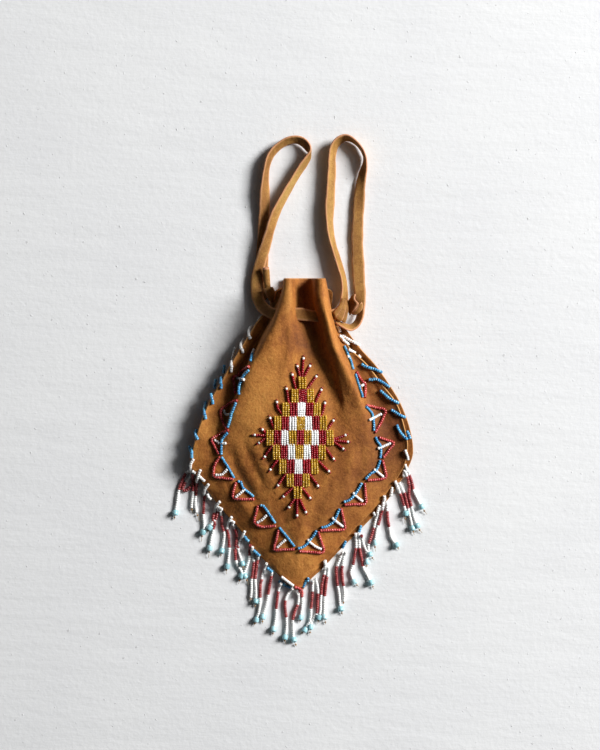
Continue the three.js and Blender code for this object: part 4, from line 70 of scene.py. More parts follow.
BACK = np.array([
    [[-11.0, 137.87, 2.65], [-10.42, 137.91, 1.91], [-9.25, 137.96, 1.01], [-7.19, 138.01, 0.32], [-3.66, 138.03, 0.0], [0.18, 138.03, 0.0], [3.71, 138.03, 0.0], [7.25, 138.03, 0.0], [11.08, 138.02, 0.13], [14.61, 137.97, 0.95], [16.66, 137.93, 1.64], [17.83, 137.9, 2.09], [18.41, 137.89, 2.28]],
    [[-11.97, 130.76, 2.65], [-11.36, 130.8, 1.91], [-10.11, 130.85, 1.01], [-7.92, 130.88, 0.32], [-4.16, 130.9, 0.0], [-0.09, 130.9, 0.0], [3.68, 130.9, 0.0], [7.44, 130.9, 0.0], [11.51, 130.89, 0.13], [15.26, 130.85, 0.95], [17.44, 130.81, 1.64], [18.69, 130.79, 2.09], [19.31, 130.78, 2.28]],
    [[-17.66, 127.3, 2.85], [-16.84, 127.34, 2.05], [-15.18, 127.39, 1.08], [-12.28, 127.43, 0.34], [-7.28, 127.45, 0.0], [-1.85, 127.45, 0.0], [3.15, 127.45, 0.0], [8.15, 127.45, 0.0], [13.57, 127.44, 0.14], [18.56, 127.4, 1.03], [21.47, 127.36, 1.77], [23.12, 127.33, 2.25], [23.95, 127.32, 2.45]],
    [[-19.45, 118.76, 3.25], [-18.6, 118.8, 2.34], [-16.9, 118.85, 1.23], [-13.9, 118.88, 0.39], [-8.74, 118.9, 0.0], [-3.14, 118.9, 0.0], [2.02, 118.9, 0.0], [7.19, 118.9, 0.0], [12.79, 118.89, 0.16], [17.94, 118.85, 1.17], [20.93, 118.81, 2.01], [22.64, 118.79, 2.57], [23.49, 118.78, 2.79]],
    [[-24.05, 112.7, 5.05], [-23.1, 112.76, 3.64], [-21.18, 112.82, 1.92], [-17.78, 112.88, 0.61], [-11.92, 112.9, 0.0], [-5.57, 112.9, 0.0], [0.3, 112.9, 0.0], [6.17, 112.9, 0.0], [12.52, 112.89, 0.2], [18.37, 112.84, 1.46], [21.77, 112.8, 2.51], [23.71, 112.77, 3.2], [24.68, 112.76, 3.48]],
    [[-30.48, 105.89, 7.65], [-29.34, 105.96, 5.51], [-27.0, 106.05, 2.91], [-22.84, 106.12, 0.92], [-15.64, 106.15, 0.0], [-7.82, 106.15, 0.0], [-0.6, 106.15, 0.0], [6.62, 106.15, 0.0], [14.43, 106.14, 0.27], [21.62, 106.08, 1.96], [25.79, 106.04, 3.38], [28.17, 106.0, 4.31], [29.36, 105.99, 4.69]],
    [[-36.91, 95.42, 9.25], [-35.52, 95.48, 6.66], [-32.65, 95.56, 3.52], [-27.53, 95.62, 1.11], [-18.66, 95.65, 0.0], [-9.01, 95.65, 0.0], [-0.11, 95.65, 0.0], [8.79, 95.65, 0.0], [18.43, 95.64, 0.37], [27.27, 95.58, 2.68], [32.4, 95.53, 4.62], [35.32, 95.5, 5.89], [36.78, 95.49, 6.41]],
    [[-44.04, 84.25, 9.85], [-42.35, 84.29, 7.09], [-38.88, 84.34, 3.74], [-32.67, 84.38, 1.18], [-21.9, 84.4, 0.0], [-10.2, 84.4, 0.0], [0.6, 84.4, 0.0], [11.4, 84.4, 0.0], [23.09, 84.39, 0.47], [33.8, 84.35, 3.4], [40.0, 84.31, 5.86], [43.53, 84.28, 7.47], [45.29, 84.27, 8.13]],
    [[-51.02, 72.34, 10.05], [-49.0, 72.36, 7.24], [-44.83, 72.38, 3.82], [-37.38, 72.39, 1.21], [-24.47, 72.4, 0.0], [-10.44, 72.4, 0.0], [2.51, 72.4, 0.0], [15.46, 72.4, 0.0], [29.48, 72.4, 0.52], [42.31, 72.38, 3.76], [49.73, 72.36, 6.48], [53.94, 72.35, 8.26], [56.05, 72.35, 8.99]],
    [[-59.2, 58.21, 10.05], [-56.83, 58.2, 7.24], [-51.96, 58.17, 3.82], [-43.24, 58.16, 1.21], [-28.13, 58.15, 0.0], [-11.71, 58.15, 0.0], [3.45, 58.15, 0.0], [18.61, 58.15, 0.0], [35.01, 58.15, 0.54], [50.02, 58.17, 3.91], [58.69, 58.19, 6.73], [63.62, 58.2, 8.57], [66.08, 58.21, 9.33]],
    [[-67.39, 44.08, 9.85], [-64.71, 44.03, 7.09], [-59.18, 43.97, 3.74], [-49.31, 43.92, 1.18], [-32.19, 43.9, 0.0], [-13.6, 43.9, 0.0], [3.56, 43.9, 0.0], [20.73, 43.9, 0.0], [39.3, 43.91, 0.54], [56.3, 43.97, 3.91], [66.12, 44.02, 6.73], [71.7, 44.06, 8.57], [74.49, 44.07, 9.33]],
    [[-73.83, 28.44, 9.25], [-70.89, 28.36, 6.66], [-64.88, 28.26, 3.52], [-54.13, 28.18, 1.11], [-35.51, 28.15, 0.0], [-15.29, 28.15, 0.0], [3.37, 28.15, 0.0], [22.04, 28.15, 0.0], [42.24, 28.17, 0.52], [60.74, 28.27, 3.76], [71.43, 28.35, 6.48], [77.5, 28.41, 8.26], [80.54, 28.43, 8.99]],
    [[-78.68, 12.75, 7.85], [-75.57, 12.65, 5.65], [-69.22, 12.53, 2.98], [-57.9, 12.44, 0.94], [-38.33, 12.4, 0.0], [-17.07, 12.4, 0.0], [2.55, 12.4, 0.0], [22.17, 12.4, 0.0], [43.41, 12.42, 0.46], [62.87, 12.55, 3.33], [74.13, 12.65, 5.74], [80.54, 12.72, 7.31], [83.74, 12.75, 7.96]],
    [[-81.04, 0.73, 6.05], [-77.88, 0.64, 4.36], [-71.47, 0.53, 2.3], [-60.08, 0.44, 0.73], [-40.43, 0.4, 0.0], [-19.09, 0.4, 0.0], [0.6, 0.4, 0.0], [20.29, 0.4, 0.0], [41.61, 0.42, 0.34], [61.19, 0.53, 2.47], [72.55, 0.63, 4.25], [79.01, 0.69, 5.41], [82.24, 0.72, 5.89]],
    [[-70.05, -18.91, 2.65], [-67.25, -18.97, 1.91], [-61.63, -19.03, 1.01], [-51.72, -19.08, 0.32], [-34.69, -19.1, 0.0], [-16.22, -19.1, 0.0], [0.83, -19.1, 0.0], [17.87, -19.1, 0.0], [36.33, -19.09, 0.14], [53.34, -19.03, 1.03], [63.23, -18.98, 1.77], [68.88, -18.94, 2.25], [71.7, -18.93, 2.45]],
    [[-57.82, -35.46, 1.65], [-55.51, -35.5, 1.19], [-50.88, -35.55, 0.63], [-42.74, -35.58, 0.2], [-28.76, -35.6, 0.0], [-13.61, -35.6, 0.0], [0.37, -35.6, 0.0], [14.36, -35.6, 0.0], [29.51, -35.59, 0.08], [43.48, -35.55, 0.59], [51.61, -35.51, 1.02], [56.26, -35.49, 1.3], [58.58, -35.48, 1.42]],
    [[-44.36, -50.49, 1.15], [-42.6, -50.52, 0.83], [-39.06, -50.56, 0.44], [-32.86, -50.59, 0.14], [-22.22, -50.6, 0.0], [-10.68, -50.6, 0.0], [-0.04, -50.6, 0.0], [10.61, -50.6, 0.0], [22.14, -50.59, 0.06], [32.78, -50.56, 0.41], [38.98, -50.53, 0.71], [42.52, -50.51, 0.91], [44.29, -50.5, 0.99]],
    [[-33.43, -65.51, 0.85], [-32.18, -65.53, 0.61], [-29.67, -65.56, 0.32], [-25.28, -65.59, 0.1], [-17.74, -65.6, 0.0], [-9.57, -65.6, 0.0], [-2.02, -65.6, 0.0], [5.52, -65.6, 0.0], [13.69, -65.6, 0.04], [21.22, -65.57, 0.31], [25.62, -65.54, 0.53], [28.13, -65.53, 0.67], [29.38, -65.52, 0.73]],
    [[-20.69, -79.03, 0.55], [-19.95, -79.05, 0.4], [-18.46, -79.07, 0.21], [-15.84, -79.09, 0.07], [-11.36, -79.1, 0.0], [-6.51, -79.1, 0.0], [-2.02, -79.1, 0.0], [2.46, -79.1, 0.0], [7.31, -79.1, 0.03], [11.79, -79.08, 0.2], [14.4, -79.06, 0.34], [15.9, -79.05, 0.43], [16.64, -79.04, 0.47]],
    [[-12.15, -88.06, 0.35], [-11.76, -88.07, 0.25], [-11.0, -88.08, 0.13], [-9.65, -88.09, 0.04], [-7.35, -88.1, 0.0], [-4.85, -88.1, 0.0], [-2.55, -88.1, 0.0], [-0.25, -88.1, 0.0], [2.25, -88.1, 0.02], [4.55, -88.08, 0.13], [5.9, -88.07, 0.22], [6.66, -88.06, 0.28], [7.05, -88.06, 0.3]],
    [[-6.15, -94.82, 0.2], [-5.98, -94.83, 0.14], [-5.64, -94.84, 0.08], [-5.04, -94.85, 0.02], [-4.01, -94.85, 0.0], [-2.9, -94.85, 0.0], [-1.88, -94.85, 0.0], [-0.85, -94.85, 0.0], [0.26, -94.85, 0.01], [1.29, -94.84, 0.07], [1.89, -94.83, 0.12], [2.23, -94.83, 0.16], [2.4, -94.83, 0.17]],
])
LEFT_A = [
    [18.69, 113.3, 18.0, 18.68, 105.16, 18.4],
    [14.25, 113.21, 18.4, 14.24, 104.77, 19.0],
    [10.34, 113.22, 18.2, 10.33, 105.06, 19.3],
    [6.13, 114.13, 17.6, 6.12, 105.36, 19.0],
    [2.22, 114.88, 17.4, 2.06, 105.81, 18.9],
    [-2.0, 115.3, 17.8, -2.14, 106.25, 19.0],
    [-5.69, 115.29, 18.2, -5.91, 106.32, 18.9],
    [-10.49, 115.29, 18.0, -10.79, 106.42, 18.3],
    [-14.34, 115.25, 17.2, -15.52, 106.45, 17.4],
    [-17.77, 115.25, 15.6, -19.84, 106.65, 15.8],
    [-20.77, 115.93, 13.4, -24.39, 108.05, 13.9],
    [-23.8, 118.16, 10.0, -28.98, 111.27, 11.2],
    [-26.26, 121.38, 6.4, -32.94, 115.66, 7.6],
    [-27.65, 126.56, 4.3, -36.09, 122.95, 4.6],
    [-27.97, 133.32, 3.6, -36.93, 132.19, 3.8],
    [-26.92, 142.31, 3.4, -35.73, 143.39, 4.0],
    [-24.91, 151.29, 3.3, -33.0, 153.36, 5.6],
    [-22.59, 159.9, 3.2, -29.67, 162.19, 7.2],
    [-20.65, 168.13, 3.2, -26.97, 170.08, 8.2],
    [-18.55, 177.12, 3.0, -24.05, 178.88, 8.9],
    [-15.64, 185.76, 2.6, -20.62, 187.8, 9.0],
    [-11.68, 194.07, 1.9, -16.31, 196.25, 8.7],
    [-7.19, 202.75, 1.3, -11.62, 204.55, 8.4],
    [-2.85, 210.27, 1.1, -7.3, 211.79, 8.2],
    [1.57, 217.31, 1.1, -2.68, 219.39, 8.2],
    [5.47, 223.62, 1.0, 1.94, 225.62, 8.4],
    [7.57, 228.04, 1.0, 5.36, 229.87, 8.9],
    [7.27, 231.11, 1.0, 7.59, 232.62, 9.5],
    [4.94, 233.33, 1.2, 7.74, 235.81, 9.0],
    [2.55, 236.0, 1.4, 5.81, 239.49, 7.8],
    [-0.3, 238.22, 1.6, 1.79, 242.87, 6.6],
    [-3.75, 239.28, 1.5, -3.21, 243.94, 6.9],
]
LEFT_B = [
    [-3.75, 239.28, 1.5, -3.21, 243.94, 6.9],
    [-7.94, 238.56, 1.3, -8.87, 243.11, 7.0],
    [-12.21, 236.49, 1.1, -14.32, 240.72, 7.0],
    [-16.71, 232.9, 1.1, -19.98, 236.15, 7.2],
    [-20.38, 228.4, 1.1, -24.07, 230.53, 7.9],
    [-22.78, 222.57, 1.0, -26.29, 223.24, 8.4],
    [-23.68, 214.4, 1.0, -28.01, 214.43, 8.0],
    [-23.53, 204.66, 1.0, -29.3, 204.31, 7.2],
    [-22.93, 194.92, 1.0, -30.15, 194.54, 5.9],
    [-23.08, 183.68, 1.0, -31.02, 183.74, 4.2],
    [-24.28, 170.94, 1.0, -31.87, 172.26, 3.0],
    [-24.28, 161.2, 1.0, -32.64, 161.85, 2.2],
    [-23.98, 150.33, 1.0, -32.96, 150.68, 1.4],
    [-23.98, 139.46, 1.0, -32.97, 139.46, 1.0],
    [-23.38, 130.83, 1.2, -31.92, 128.97, 1.0],
    [-21.27, 126.32, 1.6, -27.72, 120.64, 1.2],
]
LEFT_TAIL = [
    [-27.34, 119.43, 4.8, -21.71, 121.04, 2.4],
    [-28.19, 125.31, 6.9, -21.21, 125.41, 4.9],
    [-28.33, 131.24, 7.4, -21.35, 131.72, 5.6],
    [-28.18, 138.71, 7.2, -21.88, 138.83, 5.2],
    [-27.74, 145.15, 6.8, -22.19, 145.29, 4.6],
]
RIGHT_A = [
    [15.43, 114.16, 13.2, 15.43, 105.7, 13.2],
    [19.87, 114.36, 13.8, 20.16, 105.68, 13.8],
    [23.27, 114.56, 14.2, 24.16, 105.74, 14.2],
    [25.65, 115.32, 13.8, 28.18, 106.29, 13.4],
    [27.77, 116.88, 12.0, 32.24, 109.04, 11.2],
    [29.54, 119.66, 9.6, 34.87, 113.34, 7.8],
    [30.67, 124.84, 8.8, 35.45, 121.37, 3.4],
    [31.12, 130.79, 8.9, 35.2, 130.05, 1.8],
    [30.36, 137.84, 9.2, 34.01, 138.91, 1.4],
    [28.13, 145.28, 9.2, 31.77, 146.87, 1.2],
    [25.16, 154.23, 9.0, 29.07, 156.02, 1.1],
    [22.48, 162.8, 8.9, 26.53, 164.56, 1.1],
    [20.4, 171.76, 8.6, 25.03, 173.1, 1.1],
    [19.29, 181.1, 8.3, 24.5, 182.09, 1.1],
    [18.93, 190.85, 7.6, 25.1, 191.53, 1.1],
    [19.45, 199.81, 7.5, 25.7, 200.38, 1.1],
    [19.9, 209.5, 7.5, 26.15, 209.89, 1.1],
    [20.57, 219.54, 7.6, 26.6, 219.26, 1.1],
    [20.93, 228.34, 8.1, 26.45, 227.5, 1.1],
    [22.57, 235.85, 8.2, 27.5, 234.77, 1.1],
    [26.22, 241.43, 8.3, 30.04, 238.73, 1.2],
    [31.35, 244.45, 8.5, 33.34, 240.81, 1.3],
]
RIGHT_B = [
    [31.35, 244.45, 8.5, 33.34, 240.81, 1.3],
    [36.18, 244.02, 8.9, 36.71, 241.05, 1.2],
    [40.48, 241.13, 9.3, 39.79, 239.64, 1.1],
    [44.19, 237.29, 9.6, 42.79, 237.26, 1.0],
    [47.17, 233.05, 9.6, 45.72, 233.22, 0.9],
    [49.1, 227.47, 9.6, 47.51, 228.28, 0.9],
    [49.67, 221.65, 8.6, 46.61, 223.02, 1.0],
    [49.39, 215.62, 6.2, 44.05, 216.82, 1.4],
    [48.8, 208.4, 4.2, 41.79, 208.7, 1.7],
    [48.27, 198.87, 2.5, 40.43, 198.93, 2.0],
    [47.86, 189.25, 1.5, 39.52, 189.16, 2.3],
    [47.5, 178.79, 1.2, 38.85, 178.67, 2.4],
    [47.36, 167.56, 1.1, 38.25, 167.45, 2.3],
    [47.59, 155.57, 1.0, 38.71, 155.5, 2.0],
    [48.11, 144.33, 1.0, 39.09, 144.29, 1.7],
    [48.78, 133.08, 1.2, 39.92, 133.06, 1.6],
    [49.15, 123.26, 3.0, 41.04, 123.61, 1.8],
    [48.33, 114.5, 6.6, 42.68, 116.12, 2.0],
    [46.68, 107.71, 8.8, 42.38, 110.58, 2.0],
    [43.72, 102.24, 10.2, 41.01, 106.21, 2.6],
    [38.91, 98.77, 12.0, 37.65, 103.45, 4.6],
    [35.12, 99.14, 14.6, 35.03, 103.37, 7.4],
    [32.11, 100.58, 16.0, 32.91, 104.07, 8.6],
]
LOZENGE = [
    {'line': [[-1.99, 59.87], [1.18, 59.86], [4.35, 59.86]], 'depth': 9.36, 'n': 1},
    {'line': [[-7.07, 50.26], [-4.23, 50.25], [-1.38, 50.25], [1.47, 50.25], [4.32, 50.24], [7.18, 50.23], [10.03, 50.23]], 'depth': 10.17, 'n': 3},
    {'line': [[-13.56, 40.23], [-10.71, 40.23], [-7.87, 40.23], [-5.03, 40.23], [-2.18, 40.23], [0.66, 40.22], [3.51, 40.22], [6.35, 40.21], [9.2, 40.2], [12.05, 40.19], [14.91, 40.19]], 'depth': 10.47, 'n': 5},
    {'line': [[-19.54, 30.19], [-16.74, 30.2], [-13.94, 30.2], [-11.15, 30.2], [-8.35, 30.2], [-5.56, 30.2], [-2.76, 30.2], [0.03, 30.19], [2.83, 30.19], [5.63, 30.18], [8.43, 30.17], [11.23, 30.17], [14.03, 30.16], [16.83, 30.15], [19.63, 30.14]], 'depth': 11.07, 'n': 7},
    {'line': [[-25.01, 19.55], [-22.26, 19.56], [-19.5, 19.56], [-16.75, 19.56], [-14.0, 19.57], [-11.25, 19.57], [-8.51, 19.57], [-5.76, 19.57], [-3.01, 19.57], [-0.26, 19.57], [2.49, 19.56], [5.24, 19.55], [7.99, 19.55], [10.74, 19.54], [13.49, 19.53], [16.25, 19.52], [19.0, 19.52], [21.76, 19.51], [24.51, 19.5]], 'depth': 11.66, 'n': 9},
    {'line': [[-20.44, 9.1], [-17.65, 9.1], [-14.85, 9.11], [-12.06, 9.11], [-9.26, 9.11], [-6.47, 9.12], [-3.68, 9.12], [-0.89, 9.11], [1.9, 9.11], [4.7, 9.1], [7.49, 9.09], [10.29, 9.08], [13.08, 9.07], [15.88, 9.06], [18.68, 9.05]], 'depth': 11.61, 'n': 7},
    {'line': [[-15.95, -1.43], [-13.03, -1.42], [-10.12, -1.41], [-7.2, -1.41], [-4.28, -1.4], [-1.37, -1.41], [1.55, -1.41], [4.46, -1.42], [7.38, -1.43], [10.3, -1.44], [13.22, -1.46]], 'depth': 11.8, 'n': 5},
    {'line': [[-10.35, -11.86], [-7.45, -11.85], [-4.56, -11.85], [-1.66, -11.85], [1.23, -11.85], [4.12, -11.87], [7.02, -11.88]], 'depth': 9.98, 'n': 3},
    {'line': [[-5.4, -21.24], [-2.11, -21.24], [1.18, -21.25]], 'depth': 9.41, 'n': 1},
]
RAYS = [
    [[1.18, 63.81], [2.28, 78.93]],
    [[-0.3, 63.81], [-2.58, 72.8]],
    [[2.65, 64.18], [7.16, 73.04]],
    [[-3.39, 54.6], [-6.26, 66.61]],
    [[4.27, 54.59], [12.27, 65.06]],
    [[-8.47, 44.29], [-10.31, 56.37]],
    [[10.47, 44.25], [15.59, 55.16]],
    [[-12.38, 35.58], [-16.5, 41.34], [-17.31, 46.5]],
    [[14.24, 33.18], [16.83, 39.08], [18.24, 45.49]],
    [[-18.95, 25.1], [-22.48, 34.84]],
    [[19.63, 25.05], [24.88, 32.49]],
    [[-23.75, 21.4], [-28.47, 25.97]],
    [[-23.75, 20.96], [-34.24, 21.52]],
    [[-23.75, 20.36], [-31.0, 15.31]],
    [[23.92, 18.1], [34.05, 21.48]],
    [[23.92, 17.65], [35.91, 16.22]],
    [[23.92, 17.21], [32.36, 10.67]],
    [[-19.33, 15.13], [-26.95, 4.67]],
    [[-15.65, 4.4], [-22.68, -4.74]],
    [[-9.75, -6.13], [-16.94, -16.44]],
    [[-4.88, -16.99], [-12.88, -24.65]],
    [[17.71, 12.65], [24.9, 3.21]],
    [[12.7, 2.89], [21.51, -5.92]],
    [[6.72, -7.19], [13.54, -16.83]],
    [[1.03, -17.15], [7.62, -25.84]],
    [[-2.37, -25.13], [-2.3, -38.86]],
    [[-3.7, -25.2], [-8.67, -32.5]],
    [[-0.74, -25.21], [4.3, -36.41]],
]
TRIANGLES = [
    ['00', [['B', [[-34.34, 82.3], [-35.05, 78.9], [-36.02, 75.5]]], ['W', [[-33.33, 84.31], [-34.41, 81.3]]]]],
    ['01', [['R', [[-36.96, 71.9], [-41.13, 69.34], [-45.74, 66.1], [-49.92, 63.87], [-49.21, 58.22], [-47.0, 52.13]]], ['B', [[-37.33, 69.32], [-41.54, 64.18], [-44.24, 56.8], [-44.8, 50.92]]], ['W', [[-47.72, 63.42], [-44.26, 62.76], [-40.61, 62.19]]]]],
    ['02', [['R', [[-46.07, 46.86], [-53.62, 43.67], [-58.58, 40.63], [-58.96, 35.95], [-57.0, 30.77], [-53.83, 26.02]]], ['B', [[-46.89, 45.3], [-49.6, 38.56], [-51.86, 30.93], [-53.22, 26.77]]], ['W', [[-57.33, 39.88], [-54.3, 36.13], [-51.12, 36.62]]]]],
    ['03', [['R', [[-52.62, 25.0], [-59.51, 21.58], [-65.78, 17.92], [-63.39, 12.95], [-59.98, 7.08]]], ['B', [[-53.38, 23.0], [-57.16, 18.04], [-58.07, 13.06], [-58.1, 6.67]]], ['W', [[-63.84, 17.55], [-58.84, 15.26], [-54.59, 15.35]]]]],
    ['04', [['R', [[-59.24, 5.15], [-63.11, -1.03], [-63.71, -9.06], [-57.35, -10.57], [-49.43, -11.53]]], ['B', [[-58.11, 5.17], [-53.84, -2.2], [-49.12, -10.77]]], ['W', [[-62.8, -8.3], [-57.85, -8.02], [-54.0, -4.08]]]]],
    ['05', [['R', [[-47.87, -13.76], [-49.03, -19.04], [-49.83, -25.39], [-42.49, -26.47], [-33.83, -26.57]]], ['B', [[-46.6, -13.22], [-44.06, -14.09], [-42.45, -18.2], [-34.27, -24.7]]], ['W', [[-47.95, -25.05], [-44.71, -22.36], [-40.96, -19.23]]]]],
    ['06', [['R', [[-31.32, -31.12], [-32.69, -36.87], [-34.07, -42.95], [-29.61, -46.67], [-23.93, -46.8], [-17.97, -46.11]]], ['B', [[-29.53, -30.8], [-26.55, -31.96], [-22.41, -37.93], [-18.49, -44.23]]], ['W', [[-32.13, -43.98], [-27.86, -41.34], [-24.49, -37.96]]]]],
    ['07', [['R', [[-15.97, -49.11], [-17.55, -56.32], [-18.99, -63.93], [-11.68, -63.98], [-4.02, -63.78]]], ['B', [[-15.52, -47.37], [-9.81, -54.43], [-4.02, -61.66]]], ['W', [[-17.27, -62.61], [-14.13, -59.61], [-10.85, -56.48]]]]],
    ['08', [['B', [[-1.86, -63.02], [2.45, -61.68], [5.8, -58.53], [9.14, -54.46], [12.26, -49.88]]], ['R', [[-0.89, -65.0], [8.04, -65.82], [17.0, -65.92], [15.48, -58.25], [13.22, -50.26]]], ['W', [[5.42, -56.25], [6.39, -58.0], [11.16, -61.75], [15.49, -63.74]]]]],
    ['09', [['B', [[15.45, -47.49], [20.36, -46.04], [24.74, -42.62], [27.04, -38.04], [28.8, -33.31]]], ['R', [[14.71, -49.52], [23.66, -49.21], [32.63, -48.65], [31.83, -40.7], [30.14, -33.1]]], ['W', [[23.46, -39.8], [25.26, -41.8], [31.57, -46.78]]]]],
    ['10', [['B', [[31.99, -28.39], [36.38, -26.87], [39.8, -23.76], [42.91, -19.29], [45.57, -14.36]]], ['R', [[32.52, -30.5], [40.44, -30.09], [48.24, -29.64], [48.32, -22.07], [47.67, -14.39]]], ['W', [[38.97, -21.42], [40.7, -23.77], [46.19, -28.07]]]]],
    ['11', [['B', [[48.09, -11.24], [51.81, -7.54], [56.07, -4.76], [57.93, -1.19], [58.96, 2.53]]], ['R', [[49.6, -12.32], [56.35, -11.97], [63.43, -10.66], [62.62, -3.96], [60.92, 2.5]]], ['W', [[54.04, -4.65], [56.31, -5.66], [61.62, -10.25]]]]],
    ['12', [['B', [[55.21, 19.93], [56.65, 16.71], [59.07, 13.4], [59.54, 8.78], [59.11, 3.87]]], ['R', [[57.94, 19.51], [63.76, 17.5], [69.48, 15.14], [65.72, 9.89], [61.52, 4.21]]], ['W', [[56.97, 11.35], [59.45, 11.91], [63.3, 13.49], [67.15, 15.08]]]]],
    ['13', [['B', [[47.87, 42.01], [50.67, 39.28], [52.94, 36.14], [53.85, 30.39], [54.06, 24.47]]], ['R', [[48.3, 43.01], [55.91, 41.49], [63.39, 39.46], [61.04, 32.64], [58.2, 27.79], [54.82, 22.9]]], ['W', [[50.33, 32.24], [55.37, 34.33], [60.31, 36.79]]]]],
    ['14', [['B', [[40.06, 66.1], [43.05, 56.26], [45.33, 48.67]]], ['R', [[41.18, 68.03], [45.96, 60.82], [48.57, 58.96], [47.14, 48.6]]], ['W', [[44.23, 57.04], [47.07, 58.51]]]]],
    ['15', [['B', [[32.27, 87.29], [35.55, 80.15], [36.43, 77.84], [38.41, 69.51]]], ['W', [[34.3, 78.87], [36.44, 78.89]]]]],
]
EDGE_LEFT = [
    ('W', [[-29.21, 109.5], [-31.35, 105.76]]),
    ('W', [[-34.45, 102.77], [-38.0, 99.79], [-37.71, 92.82]]),
    ('W', [[-42.2, 91.83], [-44.13, 88.64], [-43.2, 82.43]]),
    ('W', [[-48.35, 86.19], [-50.56, 77.51]]),
    ('W', [[-50.94, 76.03], [-51.72, 68.02]]),
    ('B', [[-56.49, 73.06], [-57.23, 66.84]]),
    ('B', [[-58.87, 63.87], [-58.76, 55.49]]),
    ('B', [[-63.02, 62.31], [-64.13, 55.27]]),
    ('B', [[-66.14, 51.56], [-64.93, 44.13]]),
    ('B', [[-70.59, 45.63], [-71.34, 39.69], [-70.27, 33.0]]),
    ('B', [[-77.47, 24.84], [-77.86, 21.34], [-75.59, 17.91]]),
    ('B', [[-82.91, 12.91], [-81.6, 8.43]]),
    ('B', [[-80.6, 11.42], [-80.45, 3.94]]),
    ('W', [[-79.11, 3.42], [-81.72, -2.08], [-80.46, -9.97]]),
]
EDGE_RIGHT = [
    ('W', [[26.21, 102.23], [29.07, 97.62]]),
    ('W', [[27.81, 94.65], [36.66, 88.7]]),
    ('W', [[31.47, 95.41], [37.78, 91.53], [44.45, 87.58]]),
    ('W', [[36.29, 84.98], [41.47, 82.45]]),
    ('W', [[43.7, 80.88], [45.18, 78.58]]),
    ('B', [[45.52, 73.83], [50.81, 71.59], [56.08, 70.11], [60.6, 67.66]]),
    ('B', [[50.89, 61.93], [56.82, 62.68], [61.48, 60.45], [66.67, 56.74]]),
    ('B', [[59.55, 54.5], [65.25, 49.3], [73.35, 44.86]]),
    ('B', [[67.52, 39.85], [73.16, 36.68], [78.4, 34.25]]),
    ('B', [[71.68, 28.84], [74.2, 23.57], [79.56, 18.26]]),
    ('B', [[79.53, 24.36], [82.31, 18.26]]),
    ('W', [[78.53, 10.25], [80.52, 2.62]]),
    ('W', [[78.24, -0.61], [80.69, -9.6]]),
]
SEAM_BITS = [
    ('left', 'W', [[-80.2, -5.68], [-77.52, -7.26]]),
    ('left', 'W', [[-74.85, -9.5], [-70.7, -13.32]]),
    ('left', 'W', [[-69.34, -23.02], [-68.23, -25.86], [-66.44, -27.22]]),
    ('left', 'W', [[-62.21, -33.07], [-57.48, -34.23]]),
    ('left', 'W', [[-52.89, -43.05], [-48.53, -44.03]]),
    ('left', 'B', [[-41.62, -55.03], [-37.87, -58.35]]),
    ('left', 'B', [[-34.9, -65.14], [-30.05, -69.64]]),
    ('left', 'B', [[-24.82, -78.25], [-20.71, -81.63]]),
    ('left', 'B', [[-16.15, -88.74], [-11.37, -91.74], [-7.03, -93.4]]),
    ('left', 'W', [[-13.9, -84.47], [-9.12, -88.27], [-4.71, -91.58]]),
    ('right', 'R', [[-4.19, -92.35], [-0.9, -93.85], [1.35, -96.24], [1.12, -100.34]]),
    ('right', 'B', [[5.83, -85.29], [3.96, -89.5], [2.09, -93.17]]),
    ('right', 'W', [[18.15, -72.53], [20.03, -77.12]]),
    ('right', 'B', [[34.23, -58.4], [31.61, -63.64]]),
    ('right', 'B', [[45.42, -46.79], [43.86, -52.4]]),
    ('right', 'W', [[54.75, -36.9], [55.87, -39.37]]),
    ('right', 'W', [[62.69, -24.29], [63.46, -27.82]]),
    ('right', 'W', [[68.71, -17.75], [68.35, -21.51], [67.77, -24.66]]),
    ('right', 'W', [[70.99, -13.17], [72.95, -17.74]]),
    ('right', 'W', [[77.75, -4.81], [77.06, -9.77]]),
]
